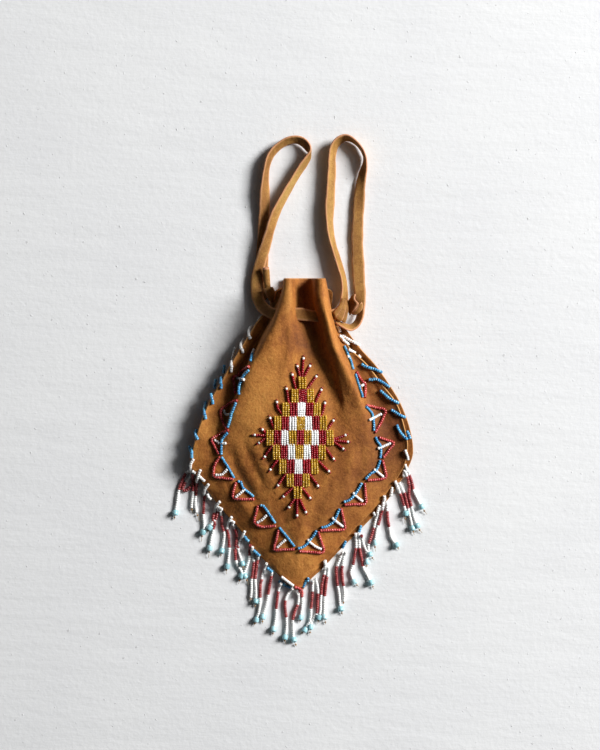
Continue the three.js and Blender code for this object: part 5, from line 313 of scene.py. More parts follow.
STRANDS = [
    {'k': 1, 'p': [[-82.12, -5.23, 4.2], [-83.15, -6.07, 2.55], [-84.17, -6.9, 1.4], [-85.17, -7.75, 1.2], [-86.11, -8.65, 1.2], [-86.79, -9.74, 1.2], [-87.34, -10.93, 1.2], [-87.85, -12.14, 1.2], [-88.35, -13.36, 1.2], [-88.84, -14.58, 1.2], [-89.41, -15.75, 1.2], [-89.95, -16.94, 1.2], [-90.37, -18.21, 1.2], [-90.64, -19.54, 1.2], [-90.97, -20.81, 1.2], [-91.18, -22.1, 1.2], [-91.38, -23.4, 1.2], [-91.58, -24.71, 1.2], [-91.78, -26.01, 1.2], [-91.98, -27.31, 1.2], [-92.18, -28.61, 1.2], [-92.38, -29.92, 1.2], [-92.58, -31.22, 1.2], [-92.78, -32.52, 1.2], [-92.98, -33.82, 1.2], [-93.17, -35.13, 1.2], [-93.31, -36.43, 1.2], [-93.36, -37.7, 1.23], [-93.5, -38.77, 2.22], [-93.88, -40.27, 1.23], [-94.26, -41.58, 1.2], [-94.64, -42.85, 0.74]], 'br': [('W', 0.0, 5.06), ('R', 6.46, 18.33), ('W', 19.86, 33.82), ('T', 36.53, 36.53), ('K', 40.9, 40.9)]},
    {'k': 2, 'p': [[-81.58, -8.77, 4.2], [-82.02, -9.96, 2.61], [-82.67, -11.03, 1.44], [-83.4, -12.06, 1.2], [-84.22, -13.03, 1.2], [-85.13, -13.92, 1.2], [-86.02, -14.83, 1.2], [-86.75, -15.87, 1.2], [-87.33, -17.0, 1.2], [-87.87, -18.13, 1.2], [-88.2, -19.25, 1.2], [-87.96, -20.27, 1.2], [-87.05, -20.94, 1.2], [-85.86, -21.04, 1.2], [-84.74, -20.58, 1.2], [-83.8, -19.77, 1.2], [-83.09, -18.75, 1.2], [-82.66, -17.61, 1.2], [-82.16, -16.41, 0.74]], 'br': [('W', 0.0, 7.61), ('R', 9.67, 21.83), ('K', 23.0, 23.0)]},
    {'k': 3, 'p': [[-80.08, -8.12, 6.85], [-80.01, -9.5, 5.48], [-80.16, -10.79, 3.89], [-80.26, -12.0, 2.51], [-80.3, -13.27, 1.53], [-80.33, -14.55, 1.2], [-80.33, -15.82, 1.2], [-80.29, -17.09, 1.2], [-80.35, -18.4, 1.2], [-80.43, -19.67, 1.2], [-80.45, -20.94, 1.2], [-80.48, -22.22, 1.2], [-80.54, -23.48, 1.2], [-80.63, -24.7, 1.2], [-80.78, -25.96, 1.2], [-80.93, -27.23, 1.2], [-81.05, -28.5, 1.2], [-81.17, -29.78, 1.2], [-81.31, -31.05, 1.2], [-81.41, -32.32, 1.2], [-81.43, -33.6, 1.2], [-81.31, -34.87, 1.2], [-81.11, -36.13, 1.2], [-80.85, -37.38, 0.74]], 'br': [('R', 0.0, 15.08), ('W', 16.42, 27.91), ('K', 29.44, 29.44)]},
    {'k': 4, 'p': [[-73.94, -4.58, 11.65], [-74.52, -5.74, 11.32], [-75.08, -6.92, 10.9], [-75.57, -8.14, 10.5], [-75.92, -9.42, 10.06], [-76.28, -10.85, 9.42], [-76.73, -12.39, 7.42], [-77.0, -13.69, 5.75], [-77.26, -14.96, 4.13], [-77.51, -16.22, 2.53], [-77.69, -17.48, 1.39], [-77.69, -18.72, 1.2], [-77.79, -19.99, 1.2], [-77.92, -21.26, 1.2], [-78.05, -22.54, 1.2], [-78.14, -23.82, 1.2], [-78.25, -25.1, 1.2], [-78.39, -26.38, 1.2], [-78.54, -27.65, 1.2], [-78.65, -28.91, 1.2], [-78.55, -30.16, 1.2], [-78.49, -31.43, 1.2], [-78.44, -32.71, 1.2], [-78.32, -33.99, 1.2], [-78.1, -35.25, 1.2], [-77.81, -36.49, 1.2], [-77.47, -37.73, 1.2], [-77.11, -38.96, 1.2], [-76.73, -40.18, 1.2], [-76.32, -41.4, 1.2], [-75.85, -42.59, 1.2], [-75.31, -43.75, 0.74]], 'br': [('W', 0.0, 12.57), ('R', 13.6, 24.16), ('W', 25.77, 36.91), ('K', 39.77, 39.77)]},
    {'k': 5, 'p': [[-67.95, -15.55, 10.09], [-68.84, -16.59, 9.49], [-69.78, -17.68, 8.74], [-70.82, -19.08, 8.01], [-71.41, -20.32, 6.29], [-71.71, -21.6, 4.64], [-71.83, -22.91, 3.0], [-71.89, -24.22, 1.62], [-71.91, -25.53, 1.2], [-71.94, -26.81, 1.2], [-72.05, -27.94, 1.2], [-72.13, -29.22, 1.2], [-72.2, -30.53, 1.2], [-72.26, -31.84, 1.2], [-72.32, -33.16, 1.2], [-72.38, -34.47, 1.2], [-72.44, -35.78, 1.2], [-72.49, -37.09, 1.2], [-72.54, -38.41, 1.2], [-72.58, -39.72, 1.2], [-72.58, -41.03, 1.2], [-72.45, -42.31, 1.2], [-72.17, -43.54, 1.2], [-72.07, -44.84, 1.2], [-72.05, -46.15, 1.2], [-72.09, -47.46, 1.2], [-72.21, -48.77, 1.2], [-72.42, -50.07, 1.2], [-72.68, -51.36, 1.2], [-72.97, -52.65, 1.2], [-73.3, -53.98, 1.23], [-73.67, -55.58, 2.22], [-73.79, -56.56, 1.23], [-73.85, -57.81, 1.2], [-73.88, -59.11, 0.74]], 'br': [('W', 0.0, 12.26), ('R', 13.57, 27.0), ('W', 28.42, 37.95), ('T', 41.35, 41.35), ('K', 44.73, 44.73)]},
    {'k': 6, 'p': [[-61.01, -33.65, 4.2], [-61.32, -34.89, 2.6], [-61.5, -36.16, 1.36], [-61.77, -37.38, 1.2], [-62.18, -38.55, 1.2], [-62.62, -39.71, 1.2], [-62.99, -40.86, 1.2], [-63.17, -41.91, 1.2], [-63.4, -42.93, 1.2], [-65.95, -44.69, 1.2], [-66.24, -45.36, 1.2], [-66.56, -46.4, 1.2], [-67.0, -47.52, 1.2], [-67.7, -48.54, 1.2], [-68.39, -49.51, 1.23], [-68.81, -50.31, 2.22], [-69.33, -51.83, 1.2], [-69.69, -53.12, 0.74]], 'br': [('W', 0.0, 3.28), ('R', 4.24, 10.22), ('W', 11.63, 14.72), ('T', 18.33, 18.33), ('K', 21.47, 21.47)]},
    {'k': 7, 'p': [[-59.68, -28.52, 8.82], [-60.64, -29.53, 8.21], [-61.67, -30.67, 7.46], [-62.57, -31.93, 5.52], [-63.3, -33.11, 3.79], [-63.62, -34.37, 2.16], [-63.85, -35.65, 1.26], [-64.13, -36.93, 1.2], [-64.54, -38.16, 1.2], [-64.98, -39.4, 1.2], [-65.35, -40.64, 1.2], [-65.55, -41.72, 1.2], [-65.55, -42.52, 1.27], [-63.78, -45.17, 1.2], [-63.98, -46.16, 1.2], [-64.33, -47.29, 1.2], [-64.73, -48.48, 1.2], [-64.96, -49.75, 1.2], [-65.18, -51.03, 1.2], [-65.41, -52.3, 1.2], [-65.71, -53.56, 1.2], [-66.19, -54.72, 1.2], [-66.45, -55.98, 1.2], [-66.64, -57.27, 1.2], [-66.8, -58.55, 1.2], [-66.97, -59.84, 1.2], [-67.17, -61.13, 1.2], [-67.38, -62.41, 1.2], [-67.62, -63.69, 1.2], [-67.85, -64.97, 1.2], [-68.07, -66.24, 1.2], [-68.28, -67.47, 1.23], [-68.43, -68.48, 2.22], [-68.63, -70.05, 1.2], [-68.79, -71.4, 0.74]], 'br': [('W', 0.0, 12.74), ('R', 13.82, 26.24), ('W', 27.63, 37.95), ('T', 41.15, 41.15), ('K', 44.24, 44.24)]},
    {'k': 8, 'p': [[-59.71, -35.7, 4.2], [-59.62, -36.87, 2.74], [-59.41, -38.11, 1.49], [-59.19, -39.37, 1.2], [-58.95, -40.63, 1.2], [-58.83, -41.9, 1.2], [-58.82, -43.18, 1.2], [-58.81, -44.46, 1.2], [-58.77, -45.74, 1.2], [-58.65, -47.02, 1.2], [-58.41, -48.27, 1.2], [-58.07, -49.51, 1.2], [-57.67, -50.73, 1.2], [-57.27, -51.94, 1.2], [-56.89, -53.13, 1.2], [-56.88, -54.39, 1.2], [-56.98, -55.67, 1.2], [-57.12, -56.94, 1.2], [-57.28, -58.22, 1.2], [-57.46, -59.49, 1.2], [-57.67, -60.75, 1.2], [-57.9, -62.02, 1.2], [-58.15, -63.28, 1.2], [-58.4, -64.54, 1.2], [-58.67, -65.8, 1.23], [-58.96, -67.1, 2.22], [-59.23, -68.31, 1.23], [-59.51, -69.55, 1.2], [-59.8, -70.8, 0.74]], 'br': [('W', 0.0, 4.65), ('R', 5.88, 16.75), ('W', 18.22, 28.68), ('T', 32.21, 32.21), ('K', 35.98, 35.98)]},
    {'k': 9, 'p': [[-50.99, -39.99, 8.07], [-51.78, -41.2, 7.35], [-52.66, -42.63, 6.45], [-53.33, -43.83, 4.73], [-53.85, -45.04, 3.09], [-54.24, -46.29, 1.66], [-54.54, -47.56, 1.2], [-54.74, -48.84, 1.2], [-54.78, -50.14, 1.2], [-54.56, -51.41, 1.2], [-54.2, -52.66, 1.2], [-53.83, -53.85, 1.2], [-53.66, -55.14, 1.2], [-53.55, -56.44, 1.2], [-53.45, -57.74, 1.2], [-53.36, -59.05, 1.2], [-53.29, -60.35, 1.2], [-53.24, -61.66, 1.2], [-53.21, -62.96, 1.2], [-53.2, -64.27, 1.2], [-53.21, -65.58, 1.2], [-53.24, -66.88, 1.2], [-53.37, -68.18, 1.2], [-53.51, -69.48, 1.2], [-53.66, -70.78, 1.2], [-53.81, -72.08, 1.2], [-53.97, -73.38, 1.2], [-54.13, -74.67, 1.2], [-54.31, -75.97, 1.2], [-54.53, -77.26, 1.2], [-54.82, -78.52, 1.2], [-55.14, -79.76, 1.23], [-55.34, -80.86, 2.22], [-55.4, -82.34, 1.2], [-55.37, -83.69, 0.74]], 'br': [('W', 0.0, 12.93), ('R', 14.2, 26.75), ('W', 27.96, 38.17), ('T', 41.57, 41.57), ('K', 44.5, 44.5)]},
    {'k': 10, 'p': [[-50.65, -45.62, 4.2], [-50.13, -46.8, 2.59], [-49.61, -47.98, 1.41], [-49.1, -49.16, 1.2], [-48.58, -50.33, 1.2], [-48.16, -51.5, 1.2], [-48.0, -52.77, 1.2], [-47.92, -54.05, 1.2], [-47.87, -55.34, 1.2], [-47.83, -56.63, 1.2], [-47.82, -57.92, 1.2], [-47.88, -59.2, 1.2], [-48.15, -60.44, 1.2], [-48.41, -61.58, 1.2], [-48.38, -62.4, 1.2], [-46.35, -64.78, 1.2], [-46.29, -65.62, 1.2], [-46.19, -66.68, 1.2], [-45.91, -67.85, 1.2], [-45.49, -69.05, 1.2], [-45.05, -70.26, 1.2], [-44.62, -71.48, 1.2], [-44.19, -72.69, 1.2], [-43.81, -73.92, 1.2], [-43.48, -75.15, 1.2], [-43.21, -76.32, 1.26], [-43.05, -77.07, 2.22], [-42.83, -78.7, 1.2], [-42.64, -79.86, 0.74]], 'br': [('W', 0.0, 4.84), ('R', 6.3, 18.23), ('W', 20.55, 29.81), ('T', 33.05, 33.05), ('K', 36.16, 36.16)]},
    {'k': 11, 'p': [[-41.24, -50.75, 8.03], [-41.91, -51.99, 7.21], [-42.68, -53.48, 6.45], [-43.32, -54.68, 4.75], [-43.91, -55.84, 3.13], [-44.46, -57.0, 1.69], [-44.98, -58.18, 1.2], [-45.44, -59.36, 1.2], [-45.74, -60.54, 1.2], [-46.01, -61.68, 1.2], [-46.16, -62.53, 1.2], [-48.54, -64.62, 1.24], [-48.7, -65.43, 1.2], [-48.6, -66.52, 1.2], [-48.6, -67.77, 1.2], [-48.69, -69.05, 1.2], [-48.69, -70.33, 1.2], [-48.57, -71.61, 1.2], [-48.33, -72.88, 1.2], [-48.04, -74.13, 1.2], [-47.68, -75.37, 1.2], [-47.24, -76.56, 1.2], [-46.5, -77.59, 1.2], [-45.87, -78.7, 1.2], [-45.04, -79.7, 1.2], [-44.33, -80.68, 1.2], [-43.91, -81.56, 1.2], [-43.74, -82.27, 1.23], [-41.51, -84.42, 1.2], [-41.28, -85.09, 1.2], [-40.75, -86.14, 1.2], [-40.2, -87.27, 1.24], [-39.78, -88.4, 2.22], [-39.19, -89.62, 1.25], [-38.91, -90.82, 1.2], [-38.4, -92.0, 0.74]], 'br': [('W', 0.0, 14.85), ('R', 16.35, 26.49), ('W', 28.15, 37.71), ('T', 41.24, 41.24), ('K', 45.14, 45.14)]},
    {'k': 12, 'p': [[-37.34, -61.25, 6.26], [-37.36, -62.63, 4.53], [-37.5, -63.94, 2.88], [-37.64, -65.27, 1.56], [-37.86, -66.58, 1.2], [-38.03, -67.9, 1.2], [-37.99, -69.21, 1.2], [-38.03, -70.53, 1.2], [-38.11, -71.83, 1.2], [-38.41, -73.09, 1.2], [-38.83, -74.34, 1.2], [-39.29, -75.57, 1.2], [-39.74, -76.8, 1.2], [-40.01, -78.09, 1.2], [-40.51, -79.28, 1.2], [-40.91, -80.5, 1.2], [-41.45, -81.42, 1.2], [-41.54, -82.18, 1.2], [-43.74, -84.5, 1.2], [-44.01, -85.11, 1.2], [-44.56, -86.12, 1.23], [-44.99, -87.05, 2.22], [-45.52, -88.53, 1.23], [-45.93, -89.84, 1.2], [-46.31, -91.11, 0.74]], 'br': [('R', 0.0, 9.87), ('W', 11.32, 22.89), ('T', 27.19, 27.19), ('K', 31.6, 31.6)]},
    {'k': 13, 'p': [[-35.35, -62.49, 6.81], [-35.83, -64.07, 5.82], [-36.01, -65.4, 4.14], [-35.88, -66.69, 2.53], [-35.65, -67.95, 1.44], [-35.55, -69.2, 1.2], [-35.35, -70.46, 1.2], [-35.12, -71.72, 1.2], [-34.93, -72.99, 1.2], [-34.78, -74.27, 1.2], [-34.73, -75.53, 1.2], [-34.91, -76.77, 1.2], [-35.1, -78.04, 1.2], [-35.27, -79.31, 1.2], [-35.43, -80.58, 1.2], [-35.59, -81.85, 1.2], [-35.76, -83.12, 1.2], [-35.95, -84.39, 1.2], [-36.16, -85.66, 1.2], [-36.34, -86.94, 1.2], [-36.49, -88.21, 1.2], [-36.67, -89.49, 1.2], [-36.53, -90.75, 1.2], [-36.51, -92.03, 1.2], [-36.6, -93.31, 1.2], [-36.57, -94.6, 1.2], [-36.58, -95.88, 1.2], [-36.67, -97.16, 1.2], [-36.8, -98.44, 1.2], [-36.96, -99.72, 1.2], [-37.14, -100.99, 1.2], [-37.32, -102.26, 1.2], [-37.48, -103.54, 1.2], [-37.62, -104.82, 0.74]], 'br': [('W', 0.0, 13.29), ('R', 14.86, 26.1), ('W', 27.78, 40.97), ('K', 42.48, 42.48)]},
    {'k': 14, 'p': [[-31.47, -69.83, 4.2], [-31.52, -71.1, 2.6], [-31.62, -72.37, 1.42], [-31.89, -73.59, 1.2], [-32.16, -74.83, 1.2], [-32.36, -76.1, 1.2], [-32.54, -77.36, 1.2], [-32.74, -78.63, 1.2], [-32.91, -79.9, 1.2], [-33.07, -81.17, 1.2], [-33.24, -82.44, 1.2], [-33.41, -83.71, 1.2], [-33.6, -84.98, 1.2], [-33.8, -86.23, 1.2], [-33.95, -87.46, 1.2], [-33.77, -88.6, 1.2], [-33.63, -89.85, 1.2], [-33.52, -91.12, 1.2], [-33.41, -92.39, 1.2], [-33.32, -93.67, 1.2], [-33.25, -94.94, 1.2], [-33.2, -96.22, 1.2], [-33.18, -97.5, 1.2], [-33.19, -98.78, 1.2], [-33.23, -100.06, 1.2], [-33.26, -101.34, 1.2], [-33.3, -102.61, 1.2], [-33.35, -103.84, 1.23], [-33.45, -104.87, 2.22], [-33.69, -106.37, 1.23], [-33.93, -107.67, 1.2], [-34.17, -108.94, 0.74]], 'br': [('W', 0.0, 3.15), ('R', 4.53, 17.96), ('W', 19.5, 32.12), ('T', 35.42, 35.42), ('K', 39.69, 39.69)]},
    {'k': 15, 'p': [[-25.03, -75.0, 6.04], [-25.54, -76.19, 4.42], [-26.05, -77.39, 2.79], [-26.53, -78.6, 1.51], [-26.98, -79.82, 1.2], [-27.41, -81.05, 1.2], [-27.82, -82.29, 1.2], [-28.19, -83.53, 1.2], [-28.51, -84.79, 1.2], [-28.74, -86.07, 1.2], [-28.91, -87.36, 1.2], [-29.13, -88.62, 1.2], [-29.63, -89.73, 1.2], [-29.82, -90.99, 1.2], [-29.91, -92.29, 1.2], [-29.97, -93.59, 1.2], [-30.01, -94.89, 1.2], [-30.05, -96.19, 1.2], [-30.08, -97.49, 1.2], [-30.1, -98.79, 1.2], [-30.12, -100.09, 1.2], [-30.12, -101.4, 1.2], [-30.1, -102.69, 1.2], [-30.03, -103.97, 1.2], [-30.14, -105.26, 1.2], [-30.3, -106.55, 1.2], [-30.48, -107.84, 1.2], [-30.68, -109.13, 1.2], [-30.9, -110.41, 1.2], [-31.14, -111.69, 1.2], [-31.39, -112.97, 1.2], [-31.66, -114.24, 1.2], [-31.97, -115.51, 1.2], [-32.36, -116.75, 1.2], [-32.84, -117.97, 1.23], [-33.4, -119.24, 2.22], [-33.88, -120.36, 1.23], [-34.4, -121.54, 1.2], [-34.92, -122.73, 0.74]], 'br': [('W', 0.0, 14.39), ('R', 15.86, 28.32), ('W', 29.85, 41.88), ('T', 45.75, 45.75), ('K', 49.52, 49.52)]},
    {'k': 16, 'p': [[-21.28, -81.96, 4.2], [-21.4, -83.24, 2.6], [-21.52, -84.51, 1.42], [-21.69, -85.78, 1.2], [-21.92, -87.03, 1.2], [-22.17, -88.28, 1.2], [-22.43, -89.54, 1.2], [-22.67, -90.79, 1.2], [-22.92, -92.05, 1.2], [-23.15, -93.3, 1.2], [-23.37, -94.56, 1.2], [-23.58, -95.82, 1.2], [-23.78, -97.08, 1.2], [-23.97, -98.35, 1.2], [-24.13, -99.61, 1.2], [-24.19, -100.84, 1.2], [-24.44, -102.08, 1.2], [-24.73, -103.32, 1.2], [-25.04, -104.56, 1.2], [-25.36, -105.8, 1.2], [-25.67, -107.04, 1.2], [-25.99, -108.27, 1.2], [-26.32, -109.51, 1.2], [-26.65, -110.74, 1.2], [-26.98, -111.98, 1.2], [-27.3, -113.21, 1.2], [-27.63, -114.44, 1.2], [-27.92, -115.64, 1.23], [-28.09, -116.64, 2.22], [-28.22, -118.17, 1.23], [-28.28, -119.49, 1.2], [-28.32, -120.78, 0.74]], 'br': [('W', 0.0, 3.24), ('R', 4.53, 17.65), ('W', 19.13, 31.59), ('T', 35.38, 35.38), ('K', 39.66, 39.66)]},
    {'k': 17, 'p': [[-14.31, -90.28, 4.2], [-14.8, -91.48, 2.58], [-15.28, -92.69, 1.41], [-15.72, -93.91, 1.2], [-16.07, -95.16, 1.2], [-16.34, -96.42, 1.2], [-16.65, -97.68, 1.2], [-16.87, -98.95, 1.2], [-17.05, -100.24, 1.2], [-17.22, -101.52, 1.2], [-17.37, -102.81, 1.2], [-17.5, -104.1, 1.2], [-17.62, -105.39, 1.2], [-17.74, -106.69, 1.2], [-17.84, -107.98, 1.2], [-17.93, -109.27, 1.2], [-17.97, -110.56, 1.2], [-17.97, -111.83, 1.2], [-18.07, -113.12, 1.2], [-18.21, -114.41, 1.2], [-18.35, -115.7, 1.2], [-18.5, -116.99, 1.2], [-18.66, -118.28, 1.2], [-18.83, -119.56, 1.2], [-19.03, -120.84, 1.2], [-19.28, -122.12, 1.2], [-19.54, -123.39, 1.2], [-19.82, -124.65, 1.23], [-20.07, -125.89, 2.22], [-20.3, -127.2, 1.23], [-20.49, -128.49, 1.2], [-20.68, -129.77, 0.74]], 'br': [('W', 0.0, 7.26), ('R', 8.43, 20.2), ('W', 21.73, 32.78), ('T', 36.31, 36.31), ('K', 40.26, 40.26)]},
    {'k': 18, 'p': [[-5.47, -93.8, 5.5], [-6.4, -94.7, 3.88], [-7.32, -95.61, 2.27], [-8.14, -96.6, 1.25], [-8.85, -97.68, 1.2], [-9.49, -98.81, 1.2], [-10.06, -99.97, 1.2], [-10.53, -101.16, 1.2], [-10.85, -102.41, 1.2], [-11.07, -103.68, 1.2], [-11.35, -104.92, 1.2], [-11.49, -106.18, 1.2], [-11.46, -107.47, 1.2], [-11.39, -108.76, 1.2], [-11.28, -110.05, 1.2], [-11.15, -111.33, 1.2], [-10.97, -112.62, 1.2], [-10.76, -113.89, 1.2], [-10.55, -115.17, 1.2], [-10.35, -116.44, 1.2], [-10.25, -117.73, 1.2], [-10.26, -119.02, 1.2], [-10.26, -120.31, 1.2], [-10.26, -121.61, 1.2], [-10.28, -122.9, 1.2], [-10.34, -124.19, 1.2], [-10.46, -125.48, 1.2], [-10.65, -126.76, 1.2], [-10.88, -128.03, 1.2], [-11.12, -129.31, 1.2], [-11.39, -130.65, 1.23], [-11.62, -132.28, 2.22], [-11.57, -133.19, 1.23], [-11.29, -134.38, 1.2], [-10.94, -135.62, 0.74]], 'br': [('W', 0.0, 12.42), ('R', 13.79, 25.05), ('W', 26.63, 37.42), ('T', 40.78, 40.78), ('K', 44.03, 44.03)]},
    {'k': 19, 'p': [[-1.56, -97.86, 4.2], [-1.44, -99.02, 2.74], [-1.36, -100.29, 1.49], [-1.3, -101.58, 1.2], [-1.28, -102.87, 1.2], [-1.37, -104.16, 1.2], [-1.62, -105.43, 1.2], [-2.01, -106.66, 1.2], [-2.49, -107.86, 1.2], [-3.0, -109.05, 1.2], [-3.53, -110.23, 1.2], [-4.02, -111.43, 1.2], [-4.46, -112.64, 1.2], [-4.82, -113.89, 1.2], [-5.13, -115.14, 1.2], [-5.39, -116.41, 1.2], [-5.59, -117.68, 1.2], [-5.57, -118.94, 1.2], [-5.47, -120.22, 1.2], [-5.43, -121.51, 1.2], [-5.42, -122.81, 1.2], [-5.4, -124.1, 1.2], [-5.38, -125.4, 1.2], [-5.36, -126.69, 1.2], [-5.33, -127.99, 1.2], [-5.28, -129.28, 1.2], [-5.18, -130.58, 1.2], [-5.01, -131.92, 1.23], [-4.65, -133.44, 2.22], [-4.3, -134.39, 1.23], [-3.76, -135.51, 1.2], [-3.15, -136.65, 1.2], [-2.55, -137.79, 0.74]], 'br': [('W', 0.0, 9.18), ('R', 10.73, 21.07), ('W', 22.7, 33.05), ('T', 36.79, 36.79), ('K', 41.49, 41.49)]},
    {'k': 20, 'p': [[-0.69, -95.59, 4.2], [-0.04, -96.83, 2.45], [0.56, -98.02, 1.34], [0.98, -99.26, 1.2], [1.31, -100.53, 1.2], [1.61, -101.81, 1.2], [1.75, -103.1, 1.2], [1.7, -104.41, 1.2], [1.58, -105.72, 1.2], [1.44, -107.02, 1.2], [1.29, -108.33, 1.2], [1.14, -109.64, 1.2], [0.98, -110.94, 1.2], [0.81, -112.24, 1.2], [0.62, -113.54, 1.2], [0.44, -114.84, 1.2], [0.24, -116.11, 1.23], [0.06, -117.26, 2.22], [-0.2, -118.71, 1.2], [-0.45, -120.03, 0.74]], 'br': [('R', 0.0, 6.05), ('W', 8.04, 18.61), ('T', 22.1, 22.1), ('K', 25.0, 25.0)]},
    {'k': 21, 'p': [[9.33, -87.81, 4.2], [9.42, -88.99, 2.72], [9.38, -90.28, 1.48], [9.33, -91.58, 1.2], [9.28, -92.89, 1.2], [9.26, -94.19, 1.2], [9.24, -95.5, 1.2], [9.19, -96.8, 1.2], [9.03, -98.09, 1.2], [8.93, -99.4, 1.2], [8.86, -100.7, 1.2], [8.79, -102.01, 1.2], [8.69, -103.31, 1.2], [8.56, -104.61, 1.2], [8.4, -105.91, 1.2], [8.24, -107.21, 1.2], [8.09, -108.51, 1.2], [7.96, -109.81, 1.2], [7.95, -111.11, 1.2], [7.95, -112.42, 1.2], [7.95, -113.72, 1.2], [7.92, -115.02, 1.2], [7.72, -116.25, 1.2], [7.31, -117.29, 1.2], [7.15, -118.05, 1.2], [8.43, -120.98, 1.2], [8.1, -121.91, 1.2], [7.76, -123.03, 1.2], [7.69, -124.61, 2.22], [7.53, -125.56, 1.23], [7.41, -126.8, 1.2], [7.3, -128.09, 1.2], [7.19, -129.4, 0.74]], 'br': [('W', 0.0, 9.31), ('R', 10.68, 22.14), ('W', 23.72, 33.7), ('T', 37.15, 37.15), ('K', 41.89, 41.89)]},
    {'k': 22, 'p': [[11.2, -86.31, 4.2], [11.49, -87.64, 2.5], [11.92, -88.86, 1.37], [12.33, -90.07, 1.2], [12.66, -91.31, 1.2], [12.9, -92.57, 1.2], [13.07, -93.84, 1.2], [13.21, -95.11, 1.2], [13.31, -96.39, 1.2], [13.33, -97.66, 1.2], [13.3, -98.92, 1.2], [13.16, -100.15, 1.2], [13.05, -101.41, 1.2], [12.98, -102.69, 1.2], [12.93, -103.96, 1.2], [12.9, -105.23, 1.2], [12.91, -106.49, 1.2], [12.93, -107.74, 1.2], [12.89, -108.98, 1.2], [12.77, -110.21, 1.2], [12.6, -111.46, 1.2], [12.35, -112.7, 1.2], [11.98, -113.87, 1.2], [11.44, -114.93, 1.2], [10.69, -115.92, 1.2], [10.04, -116.93, 1.2], [9.61, -117.94, 1.2], [9.21, -118.84, 1.2], [6.39, -120.13, 1.2], [5.98, -120.78, 1.2], [5.63, -121.84, 1.2], [4.93, -122.85, 1.2], [4.3, -123.96, 1.2], [3.59, -125.05, 1.23], [2.77, -126.12, 2.22], [1.93, -126.98, 1.23], [0.97, -127.82, 1.2], [-0.0, -128.65, 0.74]], 'br': [('W', 0.0, 12.48), ('R', 13.91, 27.37), ('W', 29.11, 40.1), ('T', 43.77, 43.77), ('K', 47.49, 47.49)]},
    {'k': 23, 'p': [[18.06, -73.35, 6.85], [18.47, -75.01, 5.75], [18.74, -76.32, 4.08], [18.53, -77.54, 3.38], [18.5, -78.85, 3.35], [18.46, -80.15, 1.74], [18.42, -81.44, 1.2], [18.27, -82.72, 1.2], [18.01, -83.98, 1.2], [17.7, -85.23, 1.2], [17.29, -86.43, 1.2], [16.88, -87.62, 1.2], [16.62, -88.87, 1.2], [16.41, -90.15, 1.2], [16.24, -91.43, 1.2], [16.09, -92.71, 1.2], [15.97, -93.99, 1.2], [15.86, -95.28, 1.2], [15.77, -96.56, 1.2], [15.74, -97.86, 1.2], [15.71, -99.15, 1.2], [15.57, -100.43, 1.2], [15.45, -101.71, 1.2], [15.36, -103.0, 1.2], [15.31, -104.3, 1.2], [15.26, -105.59, 1.2], [15.26, -106.89, 1.2], [15.25, -108.2, 1.2], [15.18, -109.53, 1.2], [15.03, -110.85, 1.2], [14.84, -112.14, 1.2], [14.6, -113.4, 1.2], [14.25, -114.63, 1.2], [13.82, -115.82, 1.2], [13.63, -117.08, 1.23], [13.49, -118.32, 2.22], [13.34, -119.64, 1.2], [13.19, -120.93, 0.74]], 'br': [('W', 0.0, 12.35), ('R', 13.73, 27.4), ('W', 28.92, 41.75), ('T', 45.14, 45.14), ('K', 47.78, 47.78)]},
    {'k': 24, 'p': [[20.65, -77.94, 4.2], [20.75, -79.18, 2.65], [20.83, -80.42, 1.5], [20.83, -81.66, 1.2], [20.81, -82.93, 1.2], [20.71, -84.21, 1.2], [20.44, -85.45, 1.2], [19.98, -86.61, 1.2], [19.7, -87.85, 1.2], [19.54, -89.13, 1.2], [19.4, -90.41, 1.2], [19.26, -91.69, 1.2], [19.12, -92.96, 1.2], [18.97, -94.24, 1.2], [18.82, -95.52, 1.2], [18.67, -96.8, 1.2], [18.52, -98.08, 1.2], [18.38, -99.36, 1.2], [18.26, -100.64, 1.2], [18.21, -101.92, 1.2], [18.19, -103.21, 1.2], [18.17, -104.49, 1.2], [18.16, -105.78, 1.2], [18.14, -107.07, 1.2], [18.12, -108.36, 1.2], [18.1, -109.64, 1.2], [18.07, -110.93, 1.2], [18.06, -112.22, 1.2], [18.07, -113.51, 1.2], [18.13, -114.86, 1.23], [18.28, -116.48, 2.22], [18.4, -117.42, 1.23], [18.59, -118.63, 1.2], [18.81, -119.89, 1.2], [19.03, -121.15, 0.74]], 'br': [('W', 0.0, 8.2), ('R', 9.59, 22.72), ('W', 24.38, 35.86), ('T', 39.24, 39.24), ('K', 43.8, 43.8)]},
    {'k': 25, 'p': [[31.69, -66.38, 4.2], [31.3, -67.57, 2.63], [30.91, -68.77, 1.44], [30.53, -69.98, 1.2], [30.11, -71.2, 1.2], [29.66, -72.42, 1.2], [29.21, -73.63, 1.2], [28.74, -74.84, 1.2], [28.25, -76.05, 1.2], [27.74, -77.23, 1.2], [27.16, -78.35, 1.2], [26.87, -79.57, 1.2], [26.84, -80.86, 1.2], [26.88, -82.15, 1.2], [26.96, -83.45, 1.2], [27.06, -84.75, 1.2], [27.17, -86.04, 1.2], [27.31, -87.33, 1.2], [27.45, -88.63, 1.2], [27.6, -89.92, 1.2], [27.77, -91.2, 1.2], [27.97, -92.48, 1.2], [28.34, -93.68, 1.2], [28.59, -94.94, 1.2], [28.77, -96.23, 1.2], [28.93, -97.52, 1.2], [29.08, -98.81, 1.2], [29.23, -100.1, 1.2], [29.37, -101.39, 1.2], [29.5, -102.69, 1.2], [29.64, -103.98, 1.2], [29.77, -105.27, 1.2], [29.93, -106.56, 1.2], [30.11, -107.85, 1.2], [30.36, -109.13, 1.23], [30.65, -110.42, 2.22], [30.93, -111.66, 1.23], [31.24, -112.92, 1.2], [31.55, -114.19, 0.74]], 'br': [('W', 0.0, 12.36), ('R', 13.87, 27.43), ('W', 29.08, 42.06), ('T', 45.58, 45.58), ('K', 49.44, 49.44)]},
